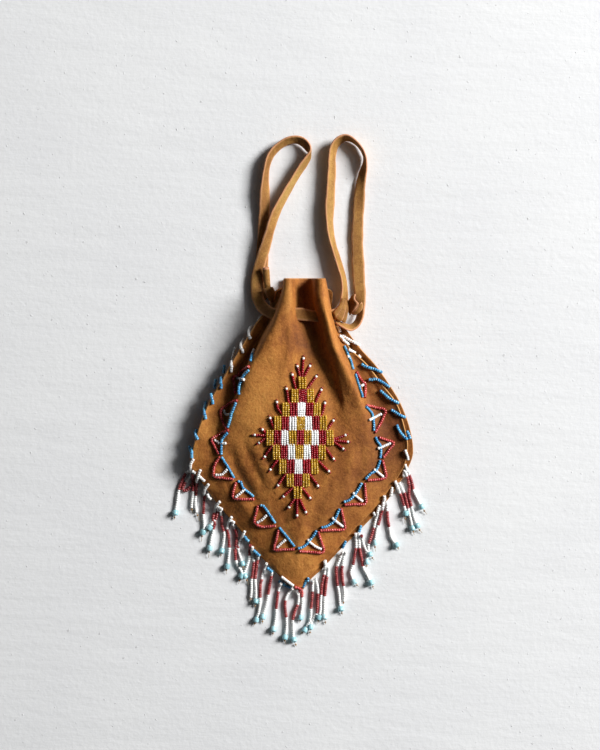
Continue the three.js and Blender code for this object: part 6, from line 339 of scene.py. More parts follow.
    {'k': 26, 'p': [[34.1, -66.38, 4.2], [33.72, -67.66, 2.53], [33.33, -68.93, 1.38], [32.96, -70.2, 1.2], [32.67, -71.47, 1.2], [32.44, -72.75, 1.2], [32.23, -74.03, 1.2], [32.03, -75.32, 1.2], [31.82, -76.6, 1.2], [31.59, -77.87, 1.2], [31.26, -79.11, 1.2], [31.18, -80.39, 1.2], [31.2, -81.69, 1.2], [31.27, -82.99, 1.2], [31.36, -84.29, 1.2], [31.49, -85.58, 1.2], [31.63, -86.87, 1.2], [31.79, -88.16, 1.2], [31.95, -89.45, 1.2], [32.12, -90.74, 1.2], [32.31, -92.02, 1.2], [32.54, -93.29, 1.2], [32.9, -94.48, 1.2], [33.02, -95.76, 1.2], [33.06, -97.06, 1.2], [33.07, -98.36, 1.2], [33.05, -99.66, 1.2], [32.97, -100.95, 1.2], [32.84, -102.25, 1.2], [32.67, -103.54, 1.2], [32.48, -104.82, 1.2], [32.22, -106.09, 0.74]], 'br': [('W', 0.0, 11.67), ('R', 13.34, 26.99), ('W', 28.65, 38.88), ('K', 40.34, 40.34)]},
    {'k': 27, 'p': [[41.15, -52.5, 4.2], [41.44, -53.82, 3.8], [41.51, -55.11, 2.18], [41.61, -56.36, 1.2], [41.77, -57.65, 1.2], [41.89, -58.94, 1.2], [41.93, -60.25, 1.2], [41.93, -61.55, 1.2], [41.91, -62.84, 1.2], [41.79, -64.12, 1.2], [41.44, -65.33, 1.2], [41.14, -66.58, 1.2], [40.96, -67.86, 1.2], [40.81, -69.15, 1.2], [40.65, -70.44, 1.2], [40.45, -71.72, 1.2], [40.24, -73.0, 1.2], [40.0, -74.28, 1.2], [39.75, -75.55, 1.2], [39.47, -76.82, 1.2], [39.07, -78.05, 1.2], [38.63, -79.27, 1.2], [38.19, -80.49, 1.2], [37.9, -81.74, 1.2], [37.9, -83.01, 1.2], [38.19, -84.27, 1.2], [38.64, -85.48, 1.2], [39.15, -86.67, 1.2], [39.69, -87.85, 1.2], [40.29, -88.98, 1.23], [40.97, -89.99, 2.22], [41.85, -91.04, 1.23], [42.77, -91.98, 1.2], [43.68, -92.9, 0.74]], 'br': [('W', 0.0, 11.99), ('R', 13.65, 24.74), ('W', 26.33, 35.02), ('T', 38.85, 38.85), ('K', 42.89, 42.89)]},
    {'k': 28, 'p': [[43.56, -52.66, 4.2], [43.6, -53.93, 2.61], [43.81, -55.25, 1.46], [43.98, -56.54, 1.2], [44.16, -57.83, 1.2], [44.29, -59.13, 1.2], [44.34, -60.42, 1.2], [44.35, -61.72, 1.2], [44.34, -63.01, 1.2], [44.39, -64.3, 1.2], [44.59, -65.57, 1.2], [44.87, -66.84, 1.2], [45.16, -68.11, 1.2], [45.44, -69.37, 1.2], [45.72, -70.64, 1.2], [45.99, -71.91, 1.2], [46.25, -73.19, 1.2], [46.5, -74.46, 1.2], [46.74, -75.74, 1.2], [46.95, -77.02, 1.2], [47.14, -78.29, 1.2], [47.51, -79.54, 1.2], [48.24, -80.75, 1.2], [48.93, -81.81, 1.2], [49.53, -82.96, 1.2], [50.11, -84.12, 1.2], [50.66, -85.3, 1.2], [51.21, -86.47, 1.2], [51.78, -87.64, 1.2], [52.43, -88.76, 1.2], [53.12, -89.84, 1.23], [53.7, -90.93, 2.22], [54.18, -92.2, 1.23], [54.56, -93.45, 1.2], [54.92, -94.7, 0.74]], 'br': [('W', 0.0, 11.83), ('R', 13.37, 25.64), ('W', 27.34, 36.76), ('T', 40.2, 40.2), ('K', 44.21, 44.21)]},
    {'k': 29, 'p': [[45.86, -54.24, 4.2], [46.07, -55.5, 2.6], [46.36, -56.78, 1.39], [46.57, -58.02, 1.2], [46.81, -59.25, 1.2], [47.16, -60.47, 1.2], [47.59, -61.67, 1.2], [48.07, -62.84, 1.2], [48.5, -63.98, 1.2], [48.75, -65.06, 1.2], [49.04, -65.54, 1.21], [51.67, -67.26, 1.2], [51.89, -68.26, 1.2], [52.31, -69.2, 1.25], [53.01, -70.04, 2.22], [53.86, -71.16, 1.23], [54.66, -72.19, 1.2], [55.45, -73.2, 0.74]], 'br': [('R', 0.0, 1.52), ('W', 3.03, 14.2), ('T', 17.61, 17.61), ('K', 21.72, 21.72)]},
    {'k': 30, 'p': [[59.46, -31.67, 4.39], [58.93, -32.86, 4.36], [58.41, -34.04, 4.34], [58.02, -35.27, 4.3], [57.82, -36.55, 4.26], [57.71, -37.84, 4.24], [57.54, -39.13, 2.62], [57.28, -40.4, 1.43], [56.96, -41.65, 1.2], [56.62, -42.91, 1.2], [56.29, -44.16, 1.2], [55.98, -45.42, 1.2], [55.68, -46.69, 1.2], [55.38, -47.95, 1.2], [55.05, -49.21, 1.2], [54.65, -50.44, 1.2], [54.25, -51.67, 1.2], [53.86, -52.91, 1.2], [53.47, -54.15, 1.2], [53.09, -55.39, 1.2], [52.71, -56.63, 1.2], [52.33, -57.87, 1.2], [51.96, -59.12, 1.2], [51.58, -60.36, 1.2], [51.22, -61.6, 1.2], [50.93, -62.83, 1.2], [50.94, -63.98, 1.2], [51.19, -64.99, 1.2], [49.5, -67.66, 1.2], [49.45, -68.26, 1.2], [49.7, -69.35, 1.2], [49.76, -70.58, 1.2], [49.82, -71.86, 1.2], [49.87, -73.15, 1.2], [49.99, -74.47, 1.23], [50.04, -75.88, 2.22], [49.8, -77.01, 1.22], [49.55, -78.16, 1.2], [49.33, -79.19, 0.74]], 'br': [('W', 0.0, 18.2), ('R', 19.79, 30.78), ('W', 32.35, 42.41), ('T', 45.72, 45.72), ('K', 49.39, 49.39)]},
    {'k': 31, 'p': [[62.55, -24.19, 8.17], [62.6, -25.81, 7.58], [62.47, -27.19, 5.85], [62.25, -28.48, 4.7], [62.11, -29.78, 4.5], [61.94, -31.06, 4.48], [61.8, -32.36, 4.43], [61.61, -33.64, 4.39], [61.45, -34.93, 2.77], [61.27, -36.21, 1.5], [61.02, -37.47, 1.2], [60.59, -38.66, 1.2], [60.26, -39.91, 1.2], [59.97, -41.17, 1.2], [59.67, -42.44, 1.2], [59.35, -43.7, 1.2], [59.02, -44.95, 1.2], [58.66, -46.2, 1.2], [58.29, -47.44, 1.2], [57.91, -48.68, 1.2], [57.53, -49.92, 1.2], [57.25, -51.18, 1.2], [57.02, -52.46, 1.2], [56.81, -53.74, 1.2], [56.61, -55.02, 1.2], [56.41, -56.31, 1.2], [56.23, -57.59, 1.2], [56.07, -58.88, 1.2], [55.96, -60.17, 1.2], [55.89, -61.49, 1.23], [55.92, -62.88, 2.22], [56.06, -64.07, 1.23], [56.27, -65.33, 1.2], [56.5, -66.6, 0.74]], 'br': [('W', 0.0, 12.64), ('R', 14.06, 25.16), ('W', 26.8, 35.98), ('T', 39.14, 39.14), ('K', 42.86, 42.86)]},
    {'k': 32, 'p': [[64.59, -29.16, 4.56], [64.78, -30.4, 3.0], [65.0, -31.65, 1.62], [65.17, -32.92, 1.2], [65.25, -34.2, 1.2], [65.26, -35.48, 1.2], [65.26, -36.76, 1.2], [65.26, -38.04, 1.2], [65.33, -39.32, 1.2], [65.41, -40.6, 1.2], [65.52, -41.87, 1.2], [65.65, -43.15, 1.2], [65.83, -44.41, 1.2], [66.06, -45.67, 1.2], [66.32, -46.93, 1.2], [66.58, -48.18, 1.2], [66.82, -49.44, 1.2], [67.03, -50.71, 1.2], [67.22, -51.97, 1.2], [67.41, -53.24, 1.2], [67.66, -54.49, 1.2], [68.03, -55.71, 1.2], [68.58, -56.86, 1.2], [69.28, -57.93, 1.2], [70.05, -58.95, 1.2], [70.82, -59.97, 1.2], [71.57, -61.0, 1.2], [72.28, -62.03, 1.23], [72.85, -62.96, 2.22], [73.5, -64.27, 1.2], [74.03, -65.48, 0.74]], 'br': [('W', 0.0, 7.94), ('R', 9.37, 19.76), ('W', 21.51, 32.02), ('T', 35.58, 35.58), ('K', 38.47, 38.47)]},
    {'k': 33, 'p': [[70.32, -13.23, 8.77], [71.18, -14.81, 8.25], [71.76, -16.07, 6.52], [72.29, -17.27, 5.62], [72.82, -18.46, 5.52], [73.34, -19.64, 3.9], [73.87, -20.83, 2.27], [74.39, -22.02, 1.26], [74.9, -23.21, 1.2], [75.39, -24.41, 1.2], [75.86, -25.62, 1.2], [76.29, -26.84, 1.2], [76.62, -28.1, 1.2], [76.93, -29.36, 1.2], [77.24, -30.62, 1.2], [77.6, -31.86, 1.2], [78.01, -33.09, 1.2], [78.41, -34.31, 1.2], [78.76, -35.55, 1.2], [78.99, -36.81, 1.2], [79.03, -38.09, 1.2], [78.91, -39.37, 1.2], [78.77, -40.61, 1.23], [78.68, -41.64, 2.22], [78.58, -43.2, 1.23], [78.51, -44.54, 1.2], [78.45, -45.85, 0.74]], 'br': [('W', 0.0, 13.31), ('R', 14.73, 23.05), ('W', 24.44, 26.09), ('T', 29.41, 29.41), ('K', 33.77, 33.77)]},
    {'k': 34, 'p': [[78.0, -5.92, 7.63], [78.51, -7.24, 7.4], [79.03, -8.43, 7.18], [79.51, -9.63, 5.56], [80.04, -10.81, 3.95], [80.44, -12.04, 2.33], [80.73, -13.3, 1.32], [81.09, -14.55, 1.2], [81.4, -15.82, 1.2], [81.64, -17.11, 1.2], [81.69, -18.41, 1.2], [81.65, -19.72, 1.2], [81.57, -21.02, 1.2], [81.49, -22.33, 1.2], [81.45, -23.64, 1.2], [81.51, -24.94, 1.2], [81.68, -26.23, 1.2], [81.96, -27.51, 1.2], [82.29, -28.78, 1.2], [82.6, -30.05, 1.2], [82.9, -31.32, 1.2], [83.2, -32.59, 1.2], [83.52, -33.86, 1.2], [83.86, -35.12, 1.2], [84.24, -36.37, 1.2], [84.53, -37.65, 1.2], [84.8, -38.93, 1.2], [85.08, -40.2, 1.2], [85.4, -41.47, 1.2], [85.8, -42.71, 1.2], [86.28, -43.93, 1.2], [86.8, -45.13, 1.2], [87.31, -46.33, 1.2], [87.76, -47.55, 1.2], [88.22, -48.74, 1.23], [88.82, -49.7, 2.22], [89.71, -50.86, 1.23], [90.64, -51.82, 1.2], [91.57, -52.74, 0.74]], 'br': [('W', 0.0, 4.06), ('R', 5.48, 29.58), ('W', 31.24, 42.03), ('T', 45.51, 45.51), ('K', 49.76, 49.76)]},
    {'k': 35, 'p': [[73.73, -14.53, 6.03], [74.33, -15.68, 5.94], [74.92, -16.84, 4.31], [75.52, -18.0, 2.69], [76.11, -19.16, 1.46], [76.71, -20.32, 1.2], [77.3, -21.48, 1.2], [77.88, -22.64, 1.2], [78.4, -23.83, 1.2], [78.78, -25.07, 1.2], [79.04, -26.34, 1.2], [79.28, -27.62, 1.2], [79.53, -28.9, 1.2], [79.82, -30.17, 1.2], [80.12, -31.43, 1.2], [80.44, -32.7, 1.2], [80.81, -33.95, 1.2], [81.16, -35.21, 1.2], [81.4, -36.49, 1.2], [81.6, -37.77, 1.2], [81.87, -39.05, 1.2], [82.15, -40.32, 1.2], [82.43, -41.59, 1.2], [82.72, -42.86, 1.2], [83.01, -44.13, 1.2], [83.31, -45.4, 1.2], [83.6, -46.67, 1.2], [83.89, -47.94, 1.2], [84.19, -49.26, 1.23], [84.5, -50.82, 2.22], [84.81, -51.79, 1.23], [85.15, -53.0, 1.2], [85.5, -54.24, 0.74]], 'br': [('W', 0.0, 10.26), ('R', 11.84, 22.29), ('W', 24.13, 34.66), ('T', 38.28, 38.28), ('K', 41.7, 41.7)]},
    {'k': 36, 'p': [[80.41, -5.77, 7.72], [80.69, -7.03, 6.12], [81.18, -8.24, 4.49], [81.72, -9.42, 2.86], [82.25, -10.62, 1.54], [82.69, -11.85, 1.2], [83.14, -13.1, 1.2], [83.51, -14.35, 1.2], [83.82, -15.61, 1.2], [84.09, -16.88, 1.2], [84.38, -18.15, 1.2], [84.67, -19.42, 1.2], [84.98, -20.68, 1.2], [85.35, -21.92, 1.2], [85.93, -23.07, 1.2], [86.5, -24.24, 1.2], [87.05, -25.42, 1.2], [87.6, -26.6, 1.2], [88.15, -27.78, 1.2], [88.72, -28.96, 1.2], [89.32, -30.11, 1.2], [89.99, -31.23, 1.2], [90.68, -32.33, 1.2], [91.3, -33.47, 1.2], [91.87, -34.58, 1.23], [92.42, -35.46, 2.22], [93.35, -36.72, 1.23], [94.19, -37.78, 1.2], [95.01, -38.8, 0.74]], 'br': [('W', 0.0, 4.23), ('R', 5.78, 16.88), ('W', 18.78, 28.92), ('T', 32.15, 32.15), ('K', 36.53, 36.53)]},
]
CREASES = [
    ([[-62.49, 8.51], [-53.66, -16.85], [-44.77, -31.03]], -0.7, 2.4),
    ([[-53.41, 13.13], [-44.64, -10.72], [-32.79, -27.08]], -0.6, 2.2),
    ([[-41.51, 17.65], [-34.16, -3.12], [-25.32, -20.98]], -0.6, 2.0),
    ([[19.71, 82.57], [22.72, 67.86], [24.23, 54.57]], -0.8, 1.8),
    ([[24.14, 70.8], [27.88, 53.11], [29.39, 38.32]], -0.55, 2.0),
    ([[13.17, 97.46], [16.12, 82.66], [19.07, 70.82]], -0.6, 2.0),
    ([[-28.19, 13.25], [-23.77, 1.42], [-20.83, -6.0]], -0.6, 1.8),
    ([[-17.86, 8.84], [-22.3, -1.54], [-28.25, -10.53]], 0.5, 1.8),
    ([[53.35, 82.74], [62.23, 67.88], [71.12, 53.03]], 0.6, 1.8),
    ([[41.47, 84.23], [51.91, 64.91], [60.85, 48.54]], -0.6, 1.8),
    ([[-6.02, 104.57], [-7.5, 87.69], [-10.45, 67.86]], 0.5, 2.2),
    ([[-54.88, 20.53], [-47.58, -4.76], [-35.78, -27.12], [-23.91, -42.03]], -0.9, 4.5),
    ([[-62.5, 1.07], [-50.7, -21.32], [-35.83, -37.68]], 0.8, 4.5),
    ([[-44.44, 25.05], [-37.12, 1.33], [-28.28, -16.52]], -0.8, 4.0),
    ([[-28.19, 17.69], [-22.3, 1.42], [-16.42, -14.94]], -0.7, 3.0),
    ([[-0.15, 82.61], [0.59, 72.29], [-0.15, 63.44]], -0.5, 3.5),
    ([[17.52, 87.74], [21.99, 67.86], [24.97, 44.23], [24.22, 25.04]], -0.9, 4.2),
    ([[8.74, 91.57], [13.17, 75.27], [16.11, 56.04]], 0.6, 3.4),
    ([[33.09, 23.55], [38.32, 1.29], [32.49, -24.11]], 0.7, 5.0),
    ([[45.69, 17.59], [45.76, 1.23], [36.98, -27.18]], -0.8, 4.5),
    ([[38.52, 75.32], [47.43, 55.99], [56.33, 38.15]], -0.6, 3.0),
    ([[-36.61, 82.77], [-46.25, 63.42], [-53.63, 45.59], [-58.03, 26.32]], -0.6, 3.4),
    ([[-0.15, -30.6], [0.59, -49.43], [-0.89, -72.13]], 0.6, 4.5),
    ([[13.18, -26.93], [10.24, -45.71], [4.32, -68.37]], -0.6, 4.0),
    ([[-13.48, -30.65], [-10.55, -49.45], [-6.11, -69.1]], -0.6, 4.0),
    ([[-18.0, 121.44], [-20.66, 102.28], [-28.02, 79.58]], -0.5, 2.4),
    ([[62.34, 45.56], [68.29, 29.2], [71.29, 9.84]], 0.6, 3.4),
]
KNOTS = {'left': [[[-26.74, 130.16, 8.2, -20.74, 131.29, 6.6], [-26.06, 127.82, 8.8, -19.24, 128.68, 6.6], [-25.03, 124.87, 8.2, -18.81, 125.65, 6.0], [-23.57, 122.2, 6.4, -19.58, 121.99, 4.4], [-22.12, 120.36, 4.2, -20.5, 120.25, 3.2]], [[-20.51, 128.16, 2.2, -18.57, 128.53, 2.2], [-20.06, 124.41, 2.4, -14.74, 126.27, 2.6], [-22.59, 119.5, 3.4, -13.9, 120.94, 4.6], [-21.95, 114.92, 5.6, -14.61, 115.96, 7.4]]], 'right': [[[30.77, 122.43, 10.8, 32.84, 121.52, 11.2], [28.46, 117.09, 14.0, 31.26, 114.84, 14.6], [25.61, 113.32, 15.6, 27.83, 109.91, 15.8], [24.43, 111.84, 15.6, 26.05, 107.84, 15.6]], [[32.1, 122.12, 11.2, 34.21, 121.13, 10.0], [30.67, 115.87, 14.8, 33.52, 114.45, 13.4], [27.82, 110.35, 16.0, 31.71, 107.44, 14.6], [25.91, 107.99, 15.6, 29.8, 105.38, 14.0]], [[33.18, 121.59, 9.8, 35.16, 120.48, 8.0], [33.22, 114.89, 13.4, 35.51, 114.39, 11.2], [31.42, 108.48, 14.4, 34.3, 106.64, 12.0], [29.95, 105.99, 13.6, 33.58, 104.73, 11.4]], [[39.29, 124.58, 9.4, 40.87, 125.51, 13.2], [36.3, 121.55, 7.4, 40.54, 121.69, 14.0], [35.12, 118.14, 7.0, 43.47, 118.23, 15.0], [35.62, 113.5, 7.6, 40.92, 114.42, 14.0], [37.09, 110.04, 8.4, 38.36, 111.59, 10.6]], [[43.11, 117.8, 14.8, 45.82, 119.62, 13.8], [41.8, 115.9, 14.2, 46.68, 116.94, 10.6], [40.05, 113.57, 13.2, 45.54, 113.72, 9.4], [38.21, 111.29, 10.6, 41.41, 110.63, 8.4]]]}
# Front panel ellipses of darker (-) and paler (+) colour: partly the hide's own tone, partly painted shade (the neck
# valley, the right wing) and painted light (the left face).
FRONT_TONE_AND_PAINTED_LIGHT = [
    (67.9, 17.6, 19.5, 37.5, -12, -1.0),
    (53.1, 50.9, 9.0, 25.5, 25, -0.35),
    (40.6, -8.3, 18.0, 15.0, 0, -0.3),
    (-31.2, 43.5, 12.0, 36.0, -22, 0.75),
    (-9.0, 121.2, 3.8, 19.5, 0, 0.55),
    (-6.1, -71.2, 15.0, 18.0, 0, 0.45),
    (-69.7, 23.5, 9.0, 15.0, 0, 0.25),
    (2.8, 127.1, 5.2, 12.0, 0, -0.95),
    (12.4, 127.1, 3.8, 10.5, 0, -0.2),
    (-0.1, 93.0, 10.5, 12.0, 0, -0.45),
    (22.1, 99.0, 3.8, 22.5, 8, 0.35),
    (38.3, 32.4, 9.0, 25.5, 12, -0.3),
    (-47.5, -4.6, 12.0, 16.5, 30, -0.3),
    (-0.1, -41.6, 19.5, 9.0, 0, -0.25),
    (-28.3, -12.0, 10.5, 13.5, 0, 0.25),
    (28.0, -30.5, 19.5, 19.5, 0, -0.4),
    (-3.1, 95.2, 18.0, 13.5, 0, -0.35),
]
# Lace and knot ellipses of darker and paler colour: partly the leather's own tone, partly painted shade where a lace
# lies in shadow or a fold turns from the light, and painted light on lit legs.
LACE_TONE_AND_PAINTED_LIGHT = [
    (-28.5, 185.2, 6.8, 36.0, 0, -0.75),
    (-22.6, 226.2, 6.0, 12.0, 0, -0.35),
    (-6.1, 203.8, 9.0, 25.5, -25, 0.5),
    (1.3, 238.9, 9.0, 6.0, 0, -0.2),
    (-31.5, 132.9, 6.8, 19.5, 0, -0.4),
    (-24.0, 112.7, 9.0, 7.5, 0, -0.7),
    (22.3, 177.7, 5.2, 46.5, 0, 0.3),
    (32.7, 132.1, 4.5, 12.0, 0, 0.2),
    (43.9, 177.7, 6.0, 45.0, 0, -0.25),
    (45.4, 226.2, 6.0, 15.0, 0, -0.1),
    (2.8, 111.2, 9.0, 6.0, 0, -0.55),
    (33.5, 112.7, 10.5, 7.5, 0, -0.35),
    (39.4, 117.9, 4.5, 6.0, 0, -0.8),
]
ROLL = [[-25.32, 145.92, 8.6], [-25.04, 142.41, 7.6], [-24.61, 137.25, 6.6], [-24.03, 132.07, 6.0], [-23.44, 128.37, 5.4]]
RIGHT_END = [
    [32.11, 100.58, 16.0, 32.91, 104.07, 8.6],
    [29.15, 102.35, 16.0, 29.72, 104.89, 11.0],
    [26.22, 104.46, 15.0, 26.71, 105.86, 13.0],
]

LEATHER = 1.4
LACE_T = 1.5


# --------------------------------------------------------------- small helpers
def catmull(A, s):
    A = np.asarray(A, float)
    n = len(A)
    s = np.asarray(s, float)
    i = np.clip(np.floor(s).astype(int), 0, n - 2)
    t = (s - i).reshape((-1,) + (1,) * (A.ndim - 1))
    p1, p2 = A[i], A[i + 1]
    p0 = np.where((i > 0).reshape(t.shape), A[np.maximum(i - 1, 0)], 2 * p1 - p2)
    p3 = np.where((i + 2 < n).reshape(t.shape), A[np.minimum(i + 2, n - 1)], 2 * p2 - p1)
    return 0.5 * (2 * p1 + (p2 - p0) * t + (2 * p0 - 5 * p1 + 4 * p2 - p3) * t * t + (3 * p1 - p0 - 3 * p2 + p3) * t ** 3)


def net(control, nu, nv):
    rows = catmull(control, np.linspace(0, len(control) - 1, nv + 1))
    cols = catmull(np.swapaxes(rows, 0, 1), np.linspace(0, control.shape[1] - 1, nu + 1))
    return np.swapaxes(cols, 0, 1)


def unit(a):
    return a / np.maximum(np.linalg.norm(a, axis=-1, keepdims=True), 1e-12)


def normals(G):
    du, dv = np.gradient(G, axis=1), -np.gradient(G, axis=0)
    return unit(np.cross(du, dv))


def noise2(x, y, seed, scale):
    """Smooth value noise, scale in mm."""
    r = np.random.default_rng(seed)
    T = r.random((64, 64))
    u, v = x / scale + 17.3, y / scale + 9.1
    i, j = np.floor(u).astype(int), np.floor(v).astype(int)
    f, g = u - i, v - j
    f, g = f * f * f * (f * (f * 6 - 15) + 10), g * g * g * (g * (g * 6 - 15) + 10)
    a, b = T[i % 64, j % 64], T[(i + 1) % 64, j % 64]
    c, d = T[i % 64, (j + 1) % 64], T[(i + 1) % 64, (j + 1) % 64]
    return (a * (1 - f) + b * f) * (1 - g) + (c * (1 - f) + d * f) * g - 0.5


def mesh_from(name, verts, faces, mats, mat_index=None, attrs=None, smooth=True):
    """verts in mm, faces an (n, 4) or (n, 3) array or a list of such arrays."""
    blocks = faces if isinstance(faces, list) else [faces]
    blocks = [np.asarray(b, int) for b in blocks if len(b)]
    me = bpy.data.meshes.new(name)
    verts = np.asarray(verts, float) * MM
    me.vertices.add(len(verts))
    me.vertices.foreach_set("co", verts.ravel())
    loops = np.concatenate([b.ravel() for b in blocks])
    sizes = np.concatenate([np.full(len(b), b.shape[1]) for b in blocks])
    me.loops.add(len(loops))
    me.loops.foreach_set("vertex_index", loops)
    me.polygons.add(len(sizes))
    me.polygons.foreach_set("loop_start", np.r_[0, np.cumsum(sizes)[:-1]])
    if mat_index is not None:
        me.polygons.foreach_set("material_index", np.asarray(mat_index, int))
    me.polygons.foreach_set("use_smooth", np.full(len(sizes), smooth))
    for key, val in (attrs or {}).items():
        at = me.attributes.new(key, "FLOAT", "POINT")
        at.data.foreach_set("value", np.asarray(val, float))
    me.update()
    me.validate()
    ob = bpy.data.objects.new(name, me)
    bpy.context.scene.collection.objects.link(ob)
    for m in mats:
        me.materials.append(m)
    return ob


def resample(P, step=None, n=None):
    P = np.asarray(P, float)
    fine = catmull(P, np.linspace(0, len(P) - 1, (len(P) - 1) * 12 + 1))
    s = np.r_[0, np.cumsum(np.linalg.norm(np.diff(fine[:, :3], axis=0), axis=1))]
    if n is None:
        n = max(1, int(round(s[-1] / step)))
    at = np.linspace(0, s[-1], n + 1)
    return np.stack([np.interp(at, s, fine[:, k]) for k in range(fine.shape[1])], 1), at


def hide_tone(X, Y, fields):
    """Broad fields of darker (-) and paler (+) colour, partly the hide's own tone and partly painted shade and painted
    light. Each is an ellipse: x, y, half sizes, turn, amount.
    """
    t = np.zeros_like(X)
    for x, y, rx, ry, turn, v in fields:
        c, s_ = math.cos(math.radians(turn)), math.sin(math.radians(turn))
        a, b = ((X - x) * c + (Y - y) * s_) / rx, (-(X - x) * s_ + (Y - y) * c) / ry
        t += v * np.exp(-(a * a + b * b))
    return np.clip(t, -1, 1)


# ------------------------------------------------------------------- materials
def srgb(r, g, b):
    f = lambda c: (c / 255 / 12.92) if c / 255 <= 0.04045 else ((c / 255 + 0.055) / 1.055) ** 2.4
    return (f(r), f(g), f(b), 1.0)


class Nodes:
    def __init__(self, name):
        self.m = bpy.data.materials.new(name)
        self.m.use_nodes = True
        self.t = self.m.node_tree
        self.t.nodes.clear()
        self.out = self.t.nodes.new("ShaderNodeOutputMaterial")
        self.p = self.t.nodes.new("ShaderNodeBsdfPrincipled")
        self.link(self.p.outputs[0], self.out.inputs[0])

    def link(self, a, b):
        self.t.links.new(a, b)

    def new(self, kind, **kw):
        n = self.t.nodes.new(kind)
        for k, v in kw.items():
            setattr(n, k, v)
        return n

    def coords(self):
        if not hasattr(self, "_c"):
            self._c = self.new("ShaderNodeTexCoord").outputs["Object"]
        return self._c

    def noise(self, scale, detail=3.0, rough=0.55, stretch=None, distortion=0.0):
        n = self.new("ShaderNodeTexNoise")
        n.inputs["Scale"].default_value = scale
        n.inputs["Detail"].default_value = detail
        n.inputs["Roughness"].default_value = rough
        n.inputs["Distortion"].default_value = distortion
        if stretch:
            mp = self.new("ShaderNodeMapping")
            mp.inputs["Scale"].default_value = stretch
            self.link(self.coords(), mp.inputs[0])
            self.link(mp.outputs[0], n.inputs["Vector"])
        else:
            self.link(self.coords(), n.inputs["Vector"])
        return n.outputs["Fac"]

    def ramp(self, fac, stops, mode="LINEAR"):
        r = self.new("ShaderNodeValToRGB")
        r.color_ramp.interpolation = mode
        e = r.color_ramp.elements
        while len(e) < len(stops):
            e.new(0.5)
        for k, (pos, col) in enumerate(stops):
            e[k].position = pos
            e[k].color = col if hasattr(col, "__len__") else (col, col, col, 1)
        self.link(fac, r.inputs[0])
        return r.outputs[0]

    def mix(self, fac, a, b, blend="MIX"):
        n = self.new("ShaderNodeMix", data_type="RGBA", blend_type=blend)
        for sock, val in ((n.inputs[0], fac), (n.inputs[6], a), (n.inputs[7], b)):
            if isinstance(val, (int, float)):
                sock.default_value = val
            elif isinstance(val, tuple):
                sock.default_value = val
            else:
                self.link(val, sock)
        return n.outputs[2]

    def math(self, op, a, b=0.0, c=0.0):
        n = self.new("ShaderNodeMath", operation=op)
        for sock, val in zip(n.inputs, (a, b, c)):
            if isinstance(val, (int, float)):
                sock.default_value = val
            else:
                self.link(val, sock)
        return n.outputs[0]

    def attr(self, name):
        n = self.new("ShaderNodeAttribute", attribute_name=name)
        return n.outputs["Fac"]

    def bump(self, height, strength, distance, normal=None):
        b = self.new("ShaderNodeBump")
        b.inputs["Strength"].default_value = strength
        b.inputs["Distance"].default_value = distance
        self.link(height, b.inputs["Height"])
        if normal is not None:
            self.link(normal, b.inputs["Normal"])
        return b.outputs[0]


def leather(name, dark, mid, light, nap=1.0, edge=None, wear=None, deep_tone_and_painted_shade=None, pale_tone_and_painted_light=None):
    k = Nodes(name)
    big = k.noise(24, 4, 0.6)
    mid_n = k.noise(95, 5, 0.66, distortion=0.3)
    grain = k.noise(520, 4, 0.62)
    fine = k.noise(1500, 3, 0.6)
    streak = k.noise(60, 4, 0.6, stretch=(3.0, 0.55, 1.0), distortion=0.4)
    base = k.ramp(big, [(0.30, dark), (0.5, mid), (0.70, light)])
    base = k.mix(0.44, base, k.ramp(mid_n, [(0.34, dark), (0.5, mid), (0.66, light)]))
    base = k.mix(0.24, base, k.ramp(streak, [(0.36, dark), (0.5, mid), (0.64, light)]))
    # hide tone with painted shade and painted light: broad darker, redder fields (partly painted shade) and paler,
    # yellower ones (partly painted light)
    if deep_tone_and_painted_shade is not None:
        t = k.math("ADD", k.attr("tone"), k.math("MULTIPLY", k.math("SUBTRACT", mid_n, 0.5), 0.5))
        base = k.mix(k.ramp(k.math("MULTIPLY", t, -1.0), [(0.0, 0.0), (1.0, 0.9)]), base, deep_tone_and_painted_shade)
        base = k.mix(k.ramp(t, [(0.0, 0.0), (1.0, 0.9)]), base, pale_tone_and_painted_light)
    # nap: lighter and darker fibres at two sizes
    base = k.mix(0.42, base, k.ramp(grain, [(0.32, 0.26), (0.5, 0.5), (0.68, 0.76)]), "SOFT_LIGHT")
    base = k.mix(0.50, base, k.ramp(fine, [(0.3, 0.22), (0.5, 0.5), (0.7, 0.80)]), "SOFT_LIGHT")
    # scuffs, small dark spots
    spot = k.ramp(k.noise(240, 2, 0.5), [(0.66, 0.0), (0.74, 1.0)])
    base = k.mix(k.math("MULTIPLY", spot, 0.25), base, dark)
    if wear is not None:
        w = k.math("MULTIPLY", k.attr("wear"), k.ramp(k.noise(300, 4, 0.6), [(0.3, 0.35), (0.65, 1.0)]))
        base = k.mix(w, base, wear)
    if edge is not None:
        e = k.attr("edge")
        fibres = k.mix(k.ramp(k.noise(900, 3, 0.6), [(0.35, 0.0), (0.65, 1.0)]), edge, mid)
        base = k.mix(e, base, k.mix(0.35, edge, fibres))
    k.link(base, k.p.inputs["Base Color"])
    k.link(k.ramp(mid_n, [(0.3, 0.70), (0.7, 0.86)]), k.p.inputs["Roughness"])
    k.p.inputs["Specular IOR Level"].default_value = 0.28
    k.p.inputs["Sheen Weight"].default_value = 0.05
    k.p.inputs["Sheen Roughness"].default_value = 0.45
    k.p.inputs["Sheen Tint"].default_value = srgb(225, 185, 130)
    b1 = k.bump(grain, 0.42 * nap, 0.0007)
    b2 = k.bump(fine, 0.28 * nap, 0.0003, b1)
    b3 = k.bump(mid_n, 0.55 * nap, 0.0018, b2)
    k.link(b3, k.p.inputs["Normal"])
    return k.m


